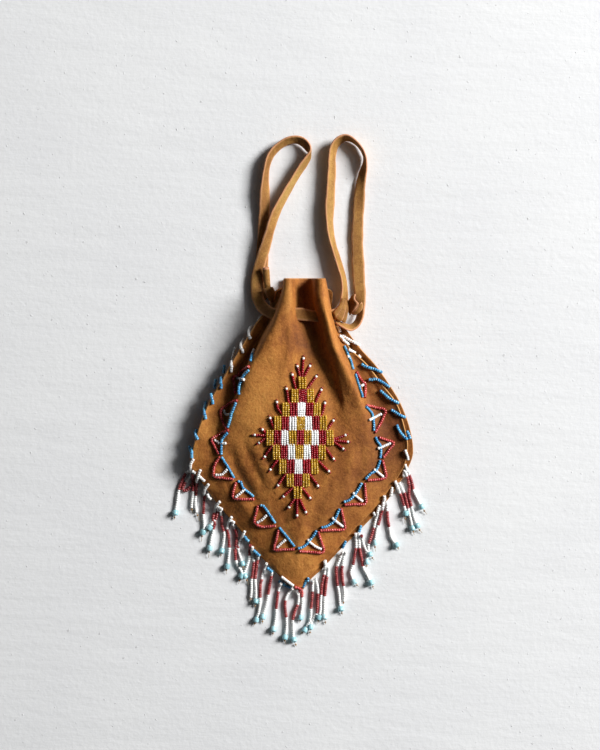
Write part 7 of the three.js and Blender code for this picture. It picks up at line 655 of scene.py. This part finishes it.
def bead_glass(name, base, tip, rough=0.16, coat=0.3):
    """Opaque glass: base colour with a small change from bead to bead."""
    k = Nodes(name)
    r = k.attr("bead")
    dark = tuple(c * (0.93 if min(base[:3]) > 0.8 else 0.72) for c in base[:3]) + (1.0,)
    col = k.ramp(r, [(0.0, dark), (0.45, base), (1.0, tip)])
    swirl = k.noise(900, 2, 0.5)
    col = k.mix(0.22, col, k.ramp(swirl, [(0.35, dark), (0.6, tip)]))
    k.link(col, k.p.inputs["Base Color"])
    k.link(k.ramp(k.noise(600, 2, 0.5), [(0.3, rough * 0.8), (0.7, rough * 1.5)]), k.p.inputs["Roughness"])
    k.p.inputs["IOR"].default_value = 1.52
    k.p.inputs["Specular IOR Level"].default_value = 0.5
    k.p.inputs["Coat Weight"].default_value = coat
    k.p.inputs["Coat Roughness"].default_value = 0.08
    k.link(k.bump(k.noise(700, 2, 0.5), 0.15, 0.0001), k.p.inputs["Normal"])
    return k.m


# For the front and the laces, the last two colours are darker hide that also serves as painted shade and paler hide
# that also serves as painted light.
M_FRONT = leather("leather_front", srgb(122, 69, 26), srgb(166, 102, 44), srgb(196, 132, 63), 1.0, srgb(226, 174, 113), srgb(214, 157, 92), srgb(104, 55, 26), srgb(206, 143, 70))
M_BACK = leather("leather_back", srgb(116, 67, 26), srgb(156, 96, 42), srgb(186, 122, 58), 1.0, srgb(216, 160, 99), srgb(200, 141, 79))
M_LACE = leather("leather_lace", srgb(118, 78, 34), srgb(158, 111, 54), srgb(190, 146, 80), 0.8, srgb(222, 158, 126), srgb(206, 160, 96), srgb(112, 66, 30), srgb(200, 166, 98))
WHITE = bead_glass("bead_white", srgb(250, 250, 248), srgb(255, 255, 254), 0.22, 0.15)
BLUE = bead_glass("bead_blue", srgb(62, 150, 208), srgb(118, 194, 232), 0.2, 0.2)
ROSE = bead_glass("bead_rose", srgb(182, 52, 56), srgb(224, 104, 98), 0.22, 0.2)
BRICK = bead_glass("bead_brick", srgb(146, 50, 54), srgb(184, 88, 86), 0.25, 0.15)
CRIMSON = bead_glass("bead_crimson", srgb(136, 6, 20), srgb(176, 22, 38), 0.3, 0.06)
OCHRE = bead_glass("bead_ochre", srgb(186, 136, 22), srgb(222, 180, 70), 0.2, 0.15)
TURQ = bead_glass("bead_turquoise", srgb(160, 218, 228), srgb(204, 240, 246), 0.25, 0.2)
THREAD = bead_glass("thread_waxed", srgb(150, 132, 104), srgb(206, 192, 164), 0.6, 0.0)
GOLD = bead_glass("bead_gold", srgb(134, 88, 34), srgb(176, 128, 62), 0.25)
COLOURS = {"S": THREAD, "W": WHITE, "B": BLUE, "R": ROSE, "K": BRICK, "C": CRIMSON, "Y": OCHRE, "T": TURQ, "G": GOLD}

# ---------------------------------------------------------------------- camera
cam = bpy.data.objects.new("camera", bpy.data.cameras.new("camera"))
bpy.context.scene.collection.objects.link(cam)
cam.location = (AIM[0] * MM, AIM[1] * MM, CAMERA_HEIGHT * MM)
cam.rotation_euler = (0, 0, 0)
cam.data.sensor_width = 36.0
cam.data.lens = 36.0 * CAMERA_HEIGHT / 562.5
cam.data.clip_start = 0.05
cam.data.clip_end = 20.0
bpy.context.scene.camera = cam


# ----------------------------------------------------------------------- laces
def ribbon(name, stations, mats, thick=LACE_T, step=1.6, taper=(1.0, 1.0), seed=1, cup=0.25):
    S, at = resample(np.asarray(stations, float), step)
    a, b = S[:, :3], S[:, 3:6]
    c, w = (a + b) / 2, np.linalg.norm(b - a, axis=1)
    across = unit(b - a)
    along = unit(np.gradient(c, axis=0))
    n = unit(np.cross(along, across))
    wob = 1 + 0.05 * np.sin(at / 9.0 + seed) + 0.035 * np.sin(at / 3.7 + 2 * seed) + 0.02 * np.sin(at / 1.6 + 3 * seed)
    k = np.ones(len(at))
    k[:3] *= np.linspace(taper[0], 1, 3)
    k[-3:] *= np.linspace(1, taper[1], 3)
    hw = w / 2 * wob * k
    ht = thick / 2 * (1 + 0.08 * np.sin(at / 5.3 + seed)) 
    prof = []
    m = 5
    for q in np.linspace(-1, 1, m + 2)[1:-1]:
        prof.append((q * 0.93, 1.0, 0.0))
    prof += [(0.985, 0.72, 0.6), (1.0, 0.0, 1.0), (0.985, -0.72, 0.6)]
    for q in np.linspace(1, -1, m + 2)[1:-1]:
        prof.append((q * 0.93, -1.0, 0.0))
    prof += [(-0.985, -0.72, 0.6), (-1.0, 0.0, 1.0), (-0.985, 0.72, 0.6)]
    prof = [(u, v, e) for u, v, e in prof]
    V, E, W = [], [], []
    for (u, v, e) in prof:
        bow = cup * (1 - u * u)
        V.append(c + across * (hw * u)[:, None] + n * (ht * v + bow)[:, None])
        E.append(np.full(len(at), e))
        W.append(np.clip(np.abs(u) ** 6 * 0.8 + 0.0 * at, 0, 1) * np.ones(len(at)))
    K = len(prof)
    V = np.stack(V, 1)
    L = len(at)
    idx = np.arange(L * K).reshape(L, K)
    q = np.stack([idx[:-1], np.roll(idx, -1, 1)[:-1], np.roll(idx, -1, 1)[1:], idx[1:]], -1).reshape(-1, 4)
    # end caps: strips across the flat section
    tri = []
    for row, flip in ((idx[0], False), (idx[-1], True)):
        order = list(row)
        for i in range(1, K - 1):
            t = (order[0], order[i + 1], order[i])
            tri.append(t if not flip else t[::-1])
    verts = V.reshape(-1, 3)
    # tone attribute: lace tone fields, partly painted shade and painted light
    ob = mesh_from(name, verts, [q, np.array(tri)], mats, attrs={"edge": np.stack(E, 1).ravel(), "wear": np.stack(W, 1).ravel(), "tone": hide_tone(verts[:, 0], verts[:, 1], LACE_TONE_AND_PAINTED_LIGHT)})
    fix_outward(ob)
    return ob, c


def fix_outward(ob):
    import bmesh
    bm = bmesh.new()
    bm.from_mesh(ob.data)
    bmesh.ops.recalc_face_normals(bm, faces=bm.faces)
    bm.to_mesh(ob.data)
    bm.free()


def join_stations(*tables):
    out = list(tables[0])
    for t in tables[1:]:
        out += list(t[1:]) if np.linalg.norm(np.array(t[0][:3]) - np.array(out[-1][:3])) < 2.0 else list(t)
    return out


def roll(name, axis, radius, mats, turns=1.45, thick=1.15):
    """A strip rolled up lengthwise into a tube, its free edge showing, open at both ends."""
    C, at = resample(np.asarray(axis, float), 1.0)
    t = unit(np.gradient(C, axis=0))
    side = unit(np.cross(t, np.array([0, 0, 1.0])))
    up = unit(np.cross(side, t))
    m = 30
    th = np.linspace(-0.35 * math.pi, (2 * turns - 0.35) * math.pi, m)
    shrink = (th - th[0]) / (2 * math.pi) * (thick * 1.12)
    out, inn = radius - shrink, radius - shrink - thick
    rr = np.concatenate([out, inn[::-1]])
    aa = np.concatenate([th, th[::-1]])
    K, L = len(rr), len(C)
    swell = 1 + 0.05 * np.sin(at / 3.1) - 0.06 * np.linspace(0, 1, L)
    V = C[:, None] + (rr * np.cos(aa))[None, :, None] * side[:, None] * swell[:, None, None] + 0.8 * (rr * np.sin(aa))[None, :, None] * up[:, None] * swell[:, None, None]
    e = np.zeros((L, K))
    e[:2] = 0.9
    e[:, [0, K - 1]] = 0.7
    idx = np.arange(L * K).reshape(L, K)
    q = np.stack([idx[:-1], np.roll(idx, -1, 1)[:-1], np.roll(idx, -1, 1)[1:], idx[1:]], -1).reshape(-1, 4)
    caps = []
    for row, flip in ((idx[0], False), (idx[-1], True)):
        for i in range(m - 1):
            f = (row[i], row[i + 1], row[K - 2 - i], row[K - 1 - i])
            caps.append(f if flip else f[::-1])
    verts = V.reshape(-1, 3)
    # tone attribute: lace tone fields, partly painted shade and painted light
    ob = mesh_from(name, verts, [q, np.array(caps)], mats, attrs={"edge": e.ravel(), "wear": 0.1 * np.ones(L * K), "tone": hide_tone(verts[:, 0], verts[:, 1], LACE_TONE_AND_PAINTED_LIGHT)})
    fix_outward(ob)
    return ob


left, left_c = ribbon("lace_left", join_stations(LEFT_A, LEFT_B), [M_LACE], seed=1)
right, right_c = ribbon("lace_right", join_stations(RIGHT_A, RIGHT_B, RIGHT_END), [M_LACE], seed=4)
knot_parts = {}
for side, bands in KNOTS.items():
    for i, st in enumerate(bands):
        ob, _ = ribbon(f"lace_{side}_knot_{i}", st, [M_LACE], step=0.9, seed=7 + i, thick=1.2, cup=0.5)
        knot_parts.setdefault(side, []).append(ob)
knot_parts["left"].append(roll("lace_left_tail", ROLL, 3.05, [M_LACE]))
for ob in [left, right] + [o for v in knot_parts.values() for o in v]:
    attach(ob, "root")
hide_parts("drawstring_left")
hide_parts("drawstring_right")


# -------------------------------------------------------------- leather panels
def creases(X, Y):
    z = np.zeros_like(X)
    for pts, amp, wid in CREASES:
        pts = np.array(pts, float)
        best = np.full(X.shape, 1e9)
        tt = np.zeros_like(X)
        total = len(pts) - 1
        for i in range(total):
            a, b = pts[i], pts[i + 1]
            d = b - a
            t = np.clip(((X - a[0]) * d[0] + (Y - a[1]) * d[1]) / (d @ d), 0, 1)
            r = np.hypot(X - a[0] - t * d[0], Y - a[1] - t * d[1])
            hit = r < best
            best = np.where(hit, r, best)
            tt = np.where(hit, (i + t) / total, tt)
        fade = np.clip(np.minimum(tt, 1 - tt) * 5, 0, 1)
        z += amp * fade * np.exp(-(best / wid) ** 2)
    return z


def rim_fade(nu, nv, n, reach=0.07):
    u, v = np.linspace(0, 1, nu + 1)[None, :], np.linspace(0, 1, nv + 1)[:, None]
    e = np.minimum(np.minimum(u, 1 - u) / reach, (1 - v) / reach)
    return np.clip(e, 0, 1) ** 1.2 * np.ones((nv + 1, nu + 1))


def panel(name, outer, thickness, mats, fade, up, wrinkle):
    """A hide panel with real thickness. up is +1 where the outer face looks up."""
    nv, nu = outer.shape[0] - 1, outer.shape[1] - 1
    N = normals(outer)
    if (N[nv // 2, nu // 2, 2] > 0) != (up > 0):
        N = -N
    outer = outer + N * (wrinkle * fade)[..., None]
    inner = outer - N * thickness
    mid_round = 0.16
    w = nu + 1
    # rounded cut edge
    V = np.concatenate([outer.reshape(-1, 3), inner.reshape(-1, 3)])
    idx = np.arange(w * (nv + 1)).reshape(nv + 1, w)
    base = w * (nv + 1)
    a, b, c, d = idx[:-1, :-1].ravel(), idx[:-1, 1:].ravel(), idx[1:, 1:].ravel(), idx[1:, :-1].ravel()
    top = np.stack([a, d, c, b], 1)
    bot = np.stack([base + a, base + b, base + c, base + d], 1)
    rim = np.concatenate([idx[0, :-1], idx[:-1, -1], idx[-1, :0:-1], idx[:0:-1, 0]])
    nxt = np.roll(rim, -1)
    # an extra ring half way through the thickness, bulging out slightly
    ctr = (V[rim] + V[base + rim]) / 2
    tang = unit(V[nxt] - V[np.roll(rim, 1)])
    nn = unit(V[rim] - V[base + rim])
    out = unit(np.cross(tang, nn))
    cen = V[:base].mean(0)
    sign = np.sign(((ctr - cen) * out).sum(1))
    ring = ctr + out * (sign * mid_round)[:, None]
    r0 = 2 * base
    V = np.concatenate([V, ring])
    m = len(rim)
    k, k2 = np.arange(m), (np.arange(m) + 1) % m
    side = np.concatenate([np.stack([rim[k], rim[k2], r0 + k2, r0 + k], 1), np.stack([r0 + k, r0 + k2, base + rim[k2], base + rim[k]], 1)])
    edge = np.zeros(len(V))
    edge[r0:] = 1.0
    edge[rim] = 0.35
    edge[base + rim] = 0.35
    wear = np.zeros(len(V))
    near = np.clip(1 - fade * 3.4, 0, 1) ** 3 * 0.7
    wear[:base] = near.ravel()
    tone = np.zeros(len(V))
    # front panel only: tone fields that are partly the hide's tone, partly painted shade and painted light
    tone[:base] = hide_tone(outer[..., 0], outer[..., 1], FRONT_TONE_AND_PAINTED_LIGHT if up > 0 and name.startswith("front") else []).ravel()
    ob = mesh_from(name, V, [top, bot, side], mats, attrs={"edge": edge, "wear": wear, "tone": tone})
    fix_outward(ob)
    return ob, outer, inner


NU, NV = 176, 196
fo = net(FRONT, NU, NV)
X, Y = fo[..., 0], fo[..., 1]
fade_f = rim_fade(NU, NV, 1)
wr = 1.3 * noise2(X, Y, 3, 34) + 0.95 * noise2(X, Y, 5, 17) + 0.42 * noise2(X, Y, 8, 8) + 0.16 * noise2(X * 1.6, Y * 0.8, 12, 4.5) + creases(X, Y)
front, fo, fi = panel("front_leather", fo, LEATHER, [M_FRONT], fade_f, 1, wr)
bo = net(BACK, 120, 150)
bo[..., 2] = np.maximum(bo[..., 2], 0.0)
bi = bo + np.array([0, 0, LEATHER])
fade_b = rim_fade(120, 150, 1)
back, bi_v, bo_v = panel("back_leather", bi, LEATHER, [M_BACK], fade_b, 1, 0.25 * np.abs(noise2(bi[..., 0], bi[..., 1], 9, 22)))
for ob, node, sl in ((front, "front_panel", "leather_front"), (back, "back_panel", "leather_back")):
    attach(ob, "root")
    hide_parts(node)


def bvh_of(grids):
    verts, faces, off = [], [], 0
    for G in grids:
        nv, nu = G.shape[0] - 1, G.shape[1] - 1
        idx = np.arange((nu + 1) * (nv + 1)).reshape(nv + 1, nu + 1) + off
        verts.append(G.reshape(-1, 3))
        faces.append(np.stack([idx[:-1, :-1].ravel(), idx[1:, :-1].ravel(), idx[1:, 1:].ravel(), idx[:-1, 1:].ravel()], 1))
        off += (nu + 1) * (nv + 1)
    return BVHTree.FromPolygons([tuple(v) for v in np.concatenate(verts)], [tuple(f) for f in np.concatenate(faces)])


SURF = bvh_of([fo, bi_v])


def drop(x, y):
    hit, n, _, _ = SURF.ray_cast(Vector((x, y, 200.0)), Vector((0, 0, -1)))
    if hit is None:
        return None, None
    n = np.array(n)
    if n[2] < 0:
        n = -n
    return np.array(hit), n


# ----------------------------------------------------------------------- beads
def bead_template(rings=10, sections=7, hole=0.30):
    """Unit bead: outer radius 1 round the X axis, half length 1."""
    V = []
    for i in range(rings):
        a = 2 * math.pi * i / rings
        for j in range(sections):
            t = 2 * math.pi * j / sections
            cx, sx = math.cos(t), math.sin(t)
            rr = (1 + hole) / 2 + (1 - hole) / 2 * math.copysign(abs(cx) ** 0.42, cx)
            xx = math.copysign(abs(sx) ** 0.5, sx)
            V.append((xx, rr * math.cos(a), rr * math.sin(a)))
    F = []
    for i in range(rings):
        for j in range(sections):
            i2, j2 = (i + 1) % rings, (j + 1) % sections
            F.append((i * sections + j, i * sections + j2, i2 * sections + j2, i2 * sections + j))
    return np.array(V), np.array(F)


BV, BF = bead_template()
TV, TF = bead_template(16, 12, 0.16)


class Beads:
    """Collects beads, then makes one mesh of them."""

    def __init__(self, name):
        self.name, self.rows, self.threads = name, [], []

    def add(self, p, axis, radius, half, colour, big=False):
        p = np.array(p, float)
        p[2] = max(p[2], (radius if abs(unit(np.array(axis, float))[2]) < 0.5 else half) * 1.05)
        self.rows.append((p, unit(np.array(axis, float)), radius, half, colour, big))

    def build(self):
        cols = sorted({r[4] for r in self.rows} | ({"S"} if self.threads else set()))
        V, F, M, R, off = [], [], [], [], 0
        for p, ax, rad, half, col, big in self.rows:
            tv, tf = (TV, TF) if big else (BV, BF)
            ref = np.array([0, 0, 1.0]) if abs(ax[2]) < 0.9 else np.array([1.0, 0, 0])
            y = unit(np.cross(ref, ax))
            z = np.cross(ax, y)
            spin = RNG.random() * 2 * math.pi
            y, z = y * math.cos(spin) + z * math.sin(spin), -y * math.sin(spin) + z * math.cos(spin)
            k = 1 + 0.045 * (RNG.random() - 0.5) * 2
            pts = p + np.outer(tv[:, 0] * half, ax) + np.outer(tv[:, 1] * rad * k, y) + np.outer(tv[:, 2] * rad * k, z)
            V.append(pts)
            F.append(tf + off)
            M += [cols.index(col)] * len(tf)
            R += [RNG.random()] * len(tv)
            off += len(tv)
        for path, rad in self.threads:
            path = np.asarray(path, float)
            ax = unit(np.gradient(path, axis=0))
            ref = np.array([0.3, 0.2, 0.93])
            y = unit(np.cross(ref, ax))
            z = np.cross(ax, y)
            m = 6
            ring = [path + rad * (y * math.cos(q) + z * math.sin(q)) for q in np.linspace(0, 2 * math.pi, m, endpoint=False)]
            ring = np.stack(ring, 1).reshape(-1, 3)
            idx = np.arange(len(path) * m).reshape(len(path), m)
            V.append(ring)
            f = np.stack([idx[:-1], np.roll(idx, -1, 1)[:-1], np.roll(idx, -1, 1)[1:], idx[1:]], -1).reshape(-1, 4)
            F.append(f + off)
            M += [cols.index("S")] * len(f)
            R += [0.5] * len(ring)
            off += len(ring)
        ob = mesh_from(self.name, np.concatenate(V), np.concatenate(F), [COLOURS[c] for c in cols], M, {"bead": R})
        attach(ob, "root")
        return ob


def string(beads, P, colour, radius=1.02, pitch=1.62, jitter=0.05, colours=None, fill=1.04):
    """Beads threaded along a 3-D polyline."""
    P = np.asarray(P, float)
    s = np.r_[0, np.cumsum(np.linalg.norm(np.diff(P, axis=0), axis=1))]
    n = max(1, int(round(s[-1] / pitch)))
    step = s[-1] / n
    for i in range(n):
        at = (i + 0.5) * step
        c = np.array([np.interp(at, s, P[:, k]) for k in range(3)])
        a = np.array([np.interp(max(at - 0.8, 0), s, P[:, k]) for k in range(3)])
        b = np.array([np.interp(min(at + 0.8, s[-1]), s, P[:, k]) for k in range(3)])
        ax = b - a + RNG.normal(0, 0.05, 3)
        c = c + RNG.normal(0, jitter, 3) * np.array([1, 1, 0.5])
        beads.add(c, ax, radius, step / 2 * fill, colours[i] if colours else colour)
    return n


def laid(path, lift=0.95, step=0.8, arch=0.0, floor_z=1.1):
    """A plan path laid on the leather; past the rim it bends down."""
    P, at = resample(np.asarray(path, float)[:, :2], step)
    out, last = [], None
    hits = [drop(x, y) for x, y in P]
    for i, ((x, y), (h, n)) in enumerate(zip(P, hits)):
        if h is None:
            # nearest hit along the path
            js = [j for j, q in enumerate(hits) if q[0] is not None]
            if js:
                j = min(js, key=lambda q: abs(q - i))
                d = abs(j - i) * step
                z = hits[j][0][2] + lift - 0.55 * d - 0.10 * d * d
            else:
                z = floor_z + 4
            out.append([x, y, max(z, floor_z)])
        else:
            t = at[i] / max(at[-1], 1e-6)
            out.append(list(h + n * (lift + arch * math.sin(math.pi * t))))
    return np.array(out)


ORDER = ["Y", "YCY", "YCWCY", "YCWYWCY", "YCWYCYWCY", "YCWYWCY", "YCWCY", "YCY", "Y"]
med = Beads("medallion_beads")
for row, line, colours in zip(LOZENGE, [r["line"] for r in LOZENGE], ORDER):
    L, _ = resample(np.array(line), n=60)
    n = row["n"]
    cells = np.linspace(0, 60, n + 1)
    for c in range(n):
        strands = 4 if (n > 1 and c in (n // 2,)) and n != 9 else 3
        for q in range(strands):
            at = cells[c] + (q + 0.5) / strands * (cells[c + 1] - cells[c])
            x, y = (np.interp(at, np.arange(61), L[:, 0]), np.interp(at, np.arange(61), L[:, 1]))
            half = row["depth"] / 2 - 0.15 + RNG.normal(0, 0.15)
            x += RNG.normal(0, 0.08)
            lean = RNG.normal(0, 0.15)
            path = [(x - lean, y + half), (x, y), (x + lean, y - half)]
            width = (cells[c + 1] - cells[c]) / 60 * np.linalg.norm(L[-1] - L[0]) / strands
            string(med, laid(path, 0.9, 0.8, 0.75), colours[c], min(0.98, max(0.86, width * 0.52)), 1.5, 0.04)
for i, ray in enumerate(RAYS):
    P = laid(ray, 0.95, 0.8)
    s = np.r_[0, np.cumsum(np.linalg.norm(np.diff(P, axis=0), axis=1))]
    n = max(4, int(round(s[-1] / 1.6)))
    cols = ["C"] * (n - 2) + ["W", "C"] if n > 5 else ["C"] * (n - 1) + ["W"]
    string(med, P, "C", 0.98, s[-1] / n, 0.05, colours=["C"] * (n - 1) + ["W"])
    tip = P[-1] + unit(P[-1] - P[-2]) * 0.9
    med.add(tip + [0, 0, -0.1], P[-1] - P[-2], 0.72, 0.45, "C")
medallion = med.build()
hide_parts("beaded_medallion")

for key, lines in TRIANGLES:
    bd = Beads(f"border_beads_{key}")
    for col, path in lines:
        P = laid(path, 0.98, 0.8)
        string(bd, P, {"R": "R", "B": "B", "W": "W"}[col], 1.04, 1.66, 0.06)
    ob = bd.build()
    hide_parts(f"border_triangle_{key}")

def taut(P):
    """Thread under tension: never below the straight line between its high points."""
    s = np.r_[0, np.cumsum(np.linalg.norm(np.diff(P[:, :2], axis=0), axis=1))]
    hull = []
    for i in range(len(P)):
        while len(hull) >= 2:
            a, b = hull[-2], hull[-1]
            if (P[b, 2] - P[a, 2]) * (s[i] - s[a]) <= (P[i, 2] - P[a, 2]) * (s[b] - s[a]):
                hull.pop()
            else:
                break
        hull.append(i)
    Q = P.copy()
    Q[:, 2] = np.interp(s, s[hull], P[hull, 2])
    return Q


for side, table in (("left", EDGE_LEFT), ("right", EDGE_RIGHT)):
    bd = Beads(f"seam_beads_{side}")
    for col, path in table:
        string(bd, taut(laid(path, 1.15, 0.8)), col, 1.16, 1.66, 0.05)
    for s2, col, path in SEAM_BITS:
        if s2 == side:
            string(bd, taut(laid(path, 1.15, 0.8)), col, 1.14, 1.66, 0.05)
    ob = bd.build()
    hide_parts(f"seam_stitches_{side}")

PAIR = {21: "21_22", 22: "21_22", 23: "23_24", 24: "23_24", 25: "25_26", 26: "25_26", 27: "27_28", 28: "27_28"}
groups = {}
for st in STRANDS:
    groups.setdefault(PAIR.get(st["k"], "%02d" % st["k"]), []).append(st)
for key, sts in groups.items():
    bd = Beads(f"fringe_beads_{key}")
    for st in sts:
        P = np.array(st["p"])
        s = np.r_[0, np.cumsum(np.linalg.norm(np.diff(P, axis=0), axis=1))]
        at_pos = lambda d: np.array([np.interp(d, s, P[:, k]) for k in range(3)])
        runs = [list(r) for r in st["br"]]
        for r0, r1 in zip(runs[:-1], runs[1:]):
            if r0[0] in "WR" and r1[0] in "WR":
                r0[2] = r1[1] = (r0[2] + r1[1]) / 2
            elif r0[0] in "WR" and r1[0] == "T":
                r0[2] = r1[1] - 1.95
            elif r0[0] in "WR" and r1[0] == "K":
                r0[2] = min(r1[1] - 1.2, r0[2] + 0.9)
        bd.threads.append((P, 0.2))
        for col, a, b in runs:
            if col == "T":
                m = (a + b) / 2
                bd.add(at_pos(m), at_pos(min(m + 1, s[-1])) - at_pos(m - 1), 2.12 * (1 + RNG.normal(0, 0.03)), 1.85, "T", big=True)
            elif col == "K":
                n = max(1, int(round((b - a) / 1.1)))
                for i in range(n):
                    d = a + (i + 0.5) * (b - a) / n
                    bd.add(at_pos(d), at_pos(min(d + 0.5, s[-1])) - at_pos(max(d - 0.5, 0)), 0.68, 0.5, "G")
            else:
                seg = [at_pos(d) for d in np.linspace(a, b, max(3, int((b - a) / 0.8)))]
                string(bd, seg, {"W": "W", "R": "K"}.get(col, col), 1.22 if col == "R" else 1.14, 1.66, 0.03)
    ob = bd.build()
    node = f"fringe_pair_{key}" if "_" in key else f"fringe_strand_{key}"
    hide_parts(node)

# ------------------------------------------------------------- floor and light
k = Nodes("floor")
speck = k.ramp(k.noise(330, 2, 0.5), [(0.71, 0.0), (0.75, 1.0)])
base = k.ramp(k.noise(9, 4, 0.55), [(0.3, srgb(236, 237, 239)), (0.7, srgb(241, 242, 243))])
base = k.mix(k.math("MULTIPLY", speck, 0.30), base, srgb(170, 170, 168))
k.link(base, k.p.inputs["Base Color"])
k.p.inputs["Roughness"].default_value = 0.85
k.p.inputs["Specular IOR Level"].default_value = 0.2
plaster = k.bump(k.noise(260, 5, 0.6), 0.35, 0.0006)
trowel = k.bump(k.noise(34, 4, 0.6, stretch=(0.35, 1.6, 1.0)), 0.25, 0.0030, plaster)
pit = k.bump(speck, 0.5, 0.0006, trowel)
k.link(pit, k.p.inputs["Normal"])
g = 6.0
floor = bpy.data.objects.new("floor", bpy.data.meshes.new("floor"))
floor.data.from_pydata([(-g, -g, -0.0002), (g, -g, -0.0002), (g, g, -0.0002), (-g, g, -0.0002)], [], [(0, 1, 2, 3)])
floor.data.materials.append(k.m)
bpy.context.scene.collection.objects.link(floor)

world = bpy.data.worlds.new("world")
bpy.context.scene.world = world
world.use_nodes = True
world.node_tree.nodes["Background"].inputs[0].default_value = (0.94, 0.97, 1.0, 1)
world.node_tree.nodes["Background"].inputs[1].default_value = 0.03


def area(name, az, el, dist, size, watts, colour):
    """Rectangular light aimed at the middle of the bag. az from +X towards +Y."""
    ob = bpy.data.objects.new(name, bpy.data.lights.new(name, "AREA"))
    ob.data.shape = "RECTANGLE"
    ob.data.size, ob.data.size_y = size
    ob.data.energy = watts
    ob.data.color = colour
    az, el = math.radians(az), math.radians(el)
    d = Vector((math.cos(el) * math.cos(az), math.cos(el) * math.sin(az), math.sin(el)))
    ob.location = d * dist + Vector((0, 0.03, 0))
    ob.rotation_euler = d.to_track_quat("Z", "Y").to_euler()
    bpy.context.scene.collection.objects.link(ob)


area("window", 25, 31, 4.0, (1.35, 1.35), 272.0, (1.0, 0.995, 0.985))
area("window_wide", 24, 46, 4.2, (3.0, 2.2), 13.0, (0.97, 0.985, 1.0))

sc = bpy.context.scene
sc.view_settings.view_transform = "Standard"
sc.view_settings.look = "None"
sc.view_settings.exposure = 0.0
sc.view_settings.gamma = 1.0

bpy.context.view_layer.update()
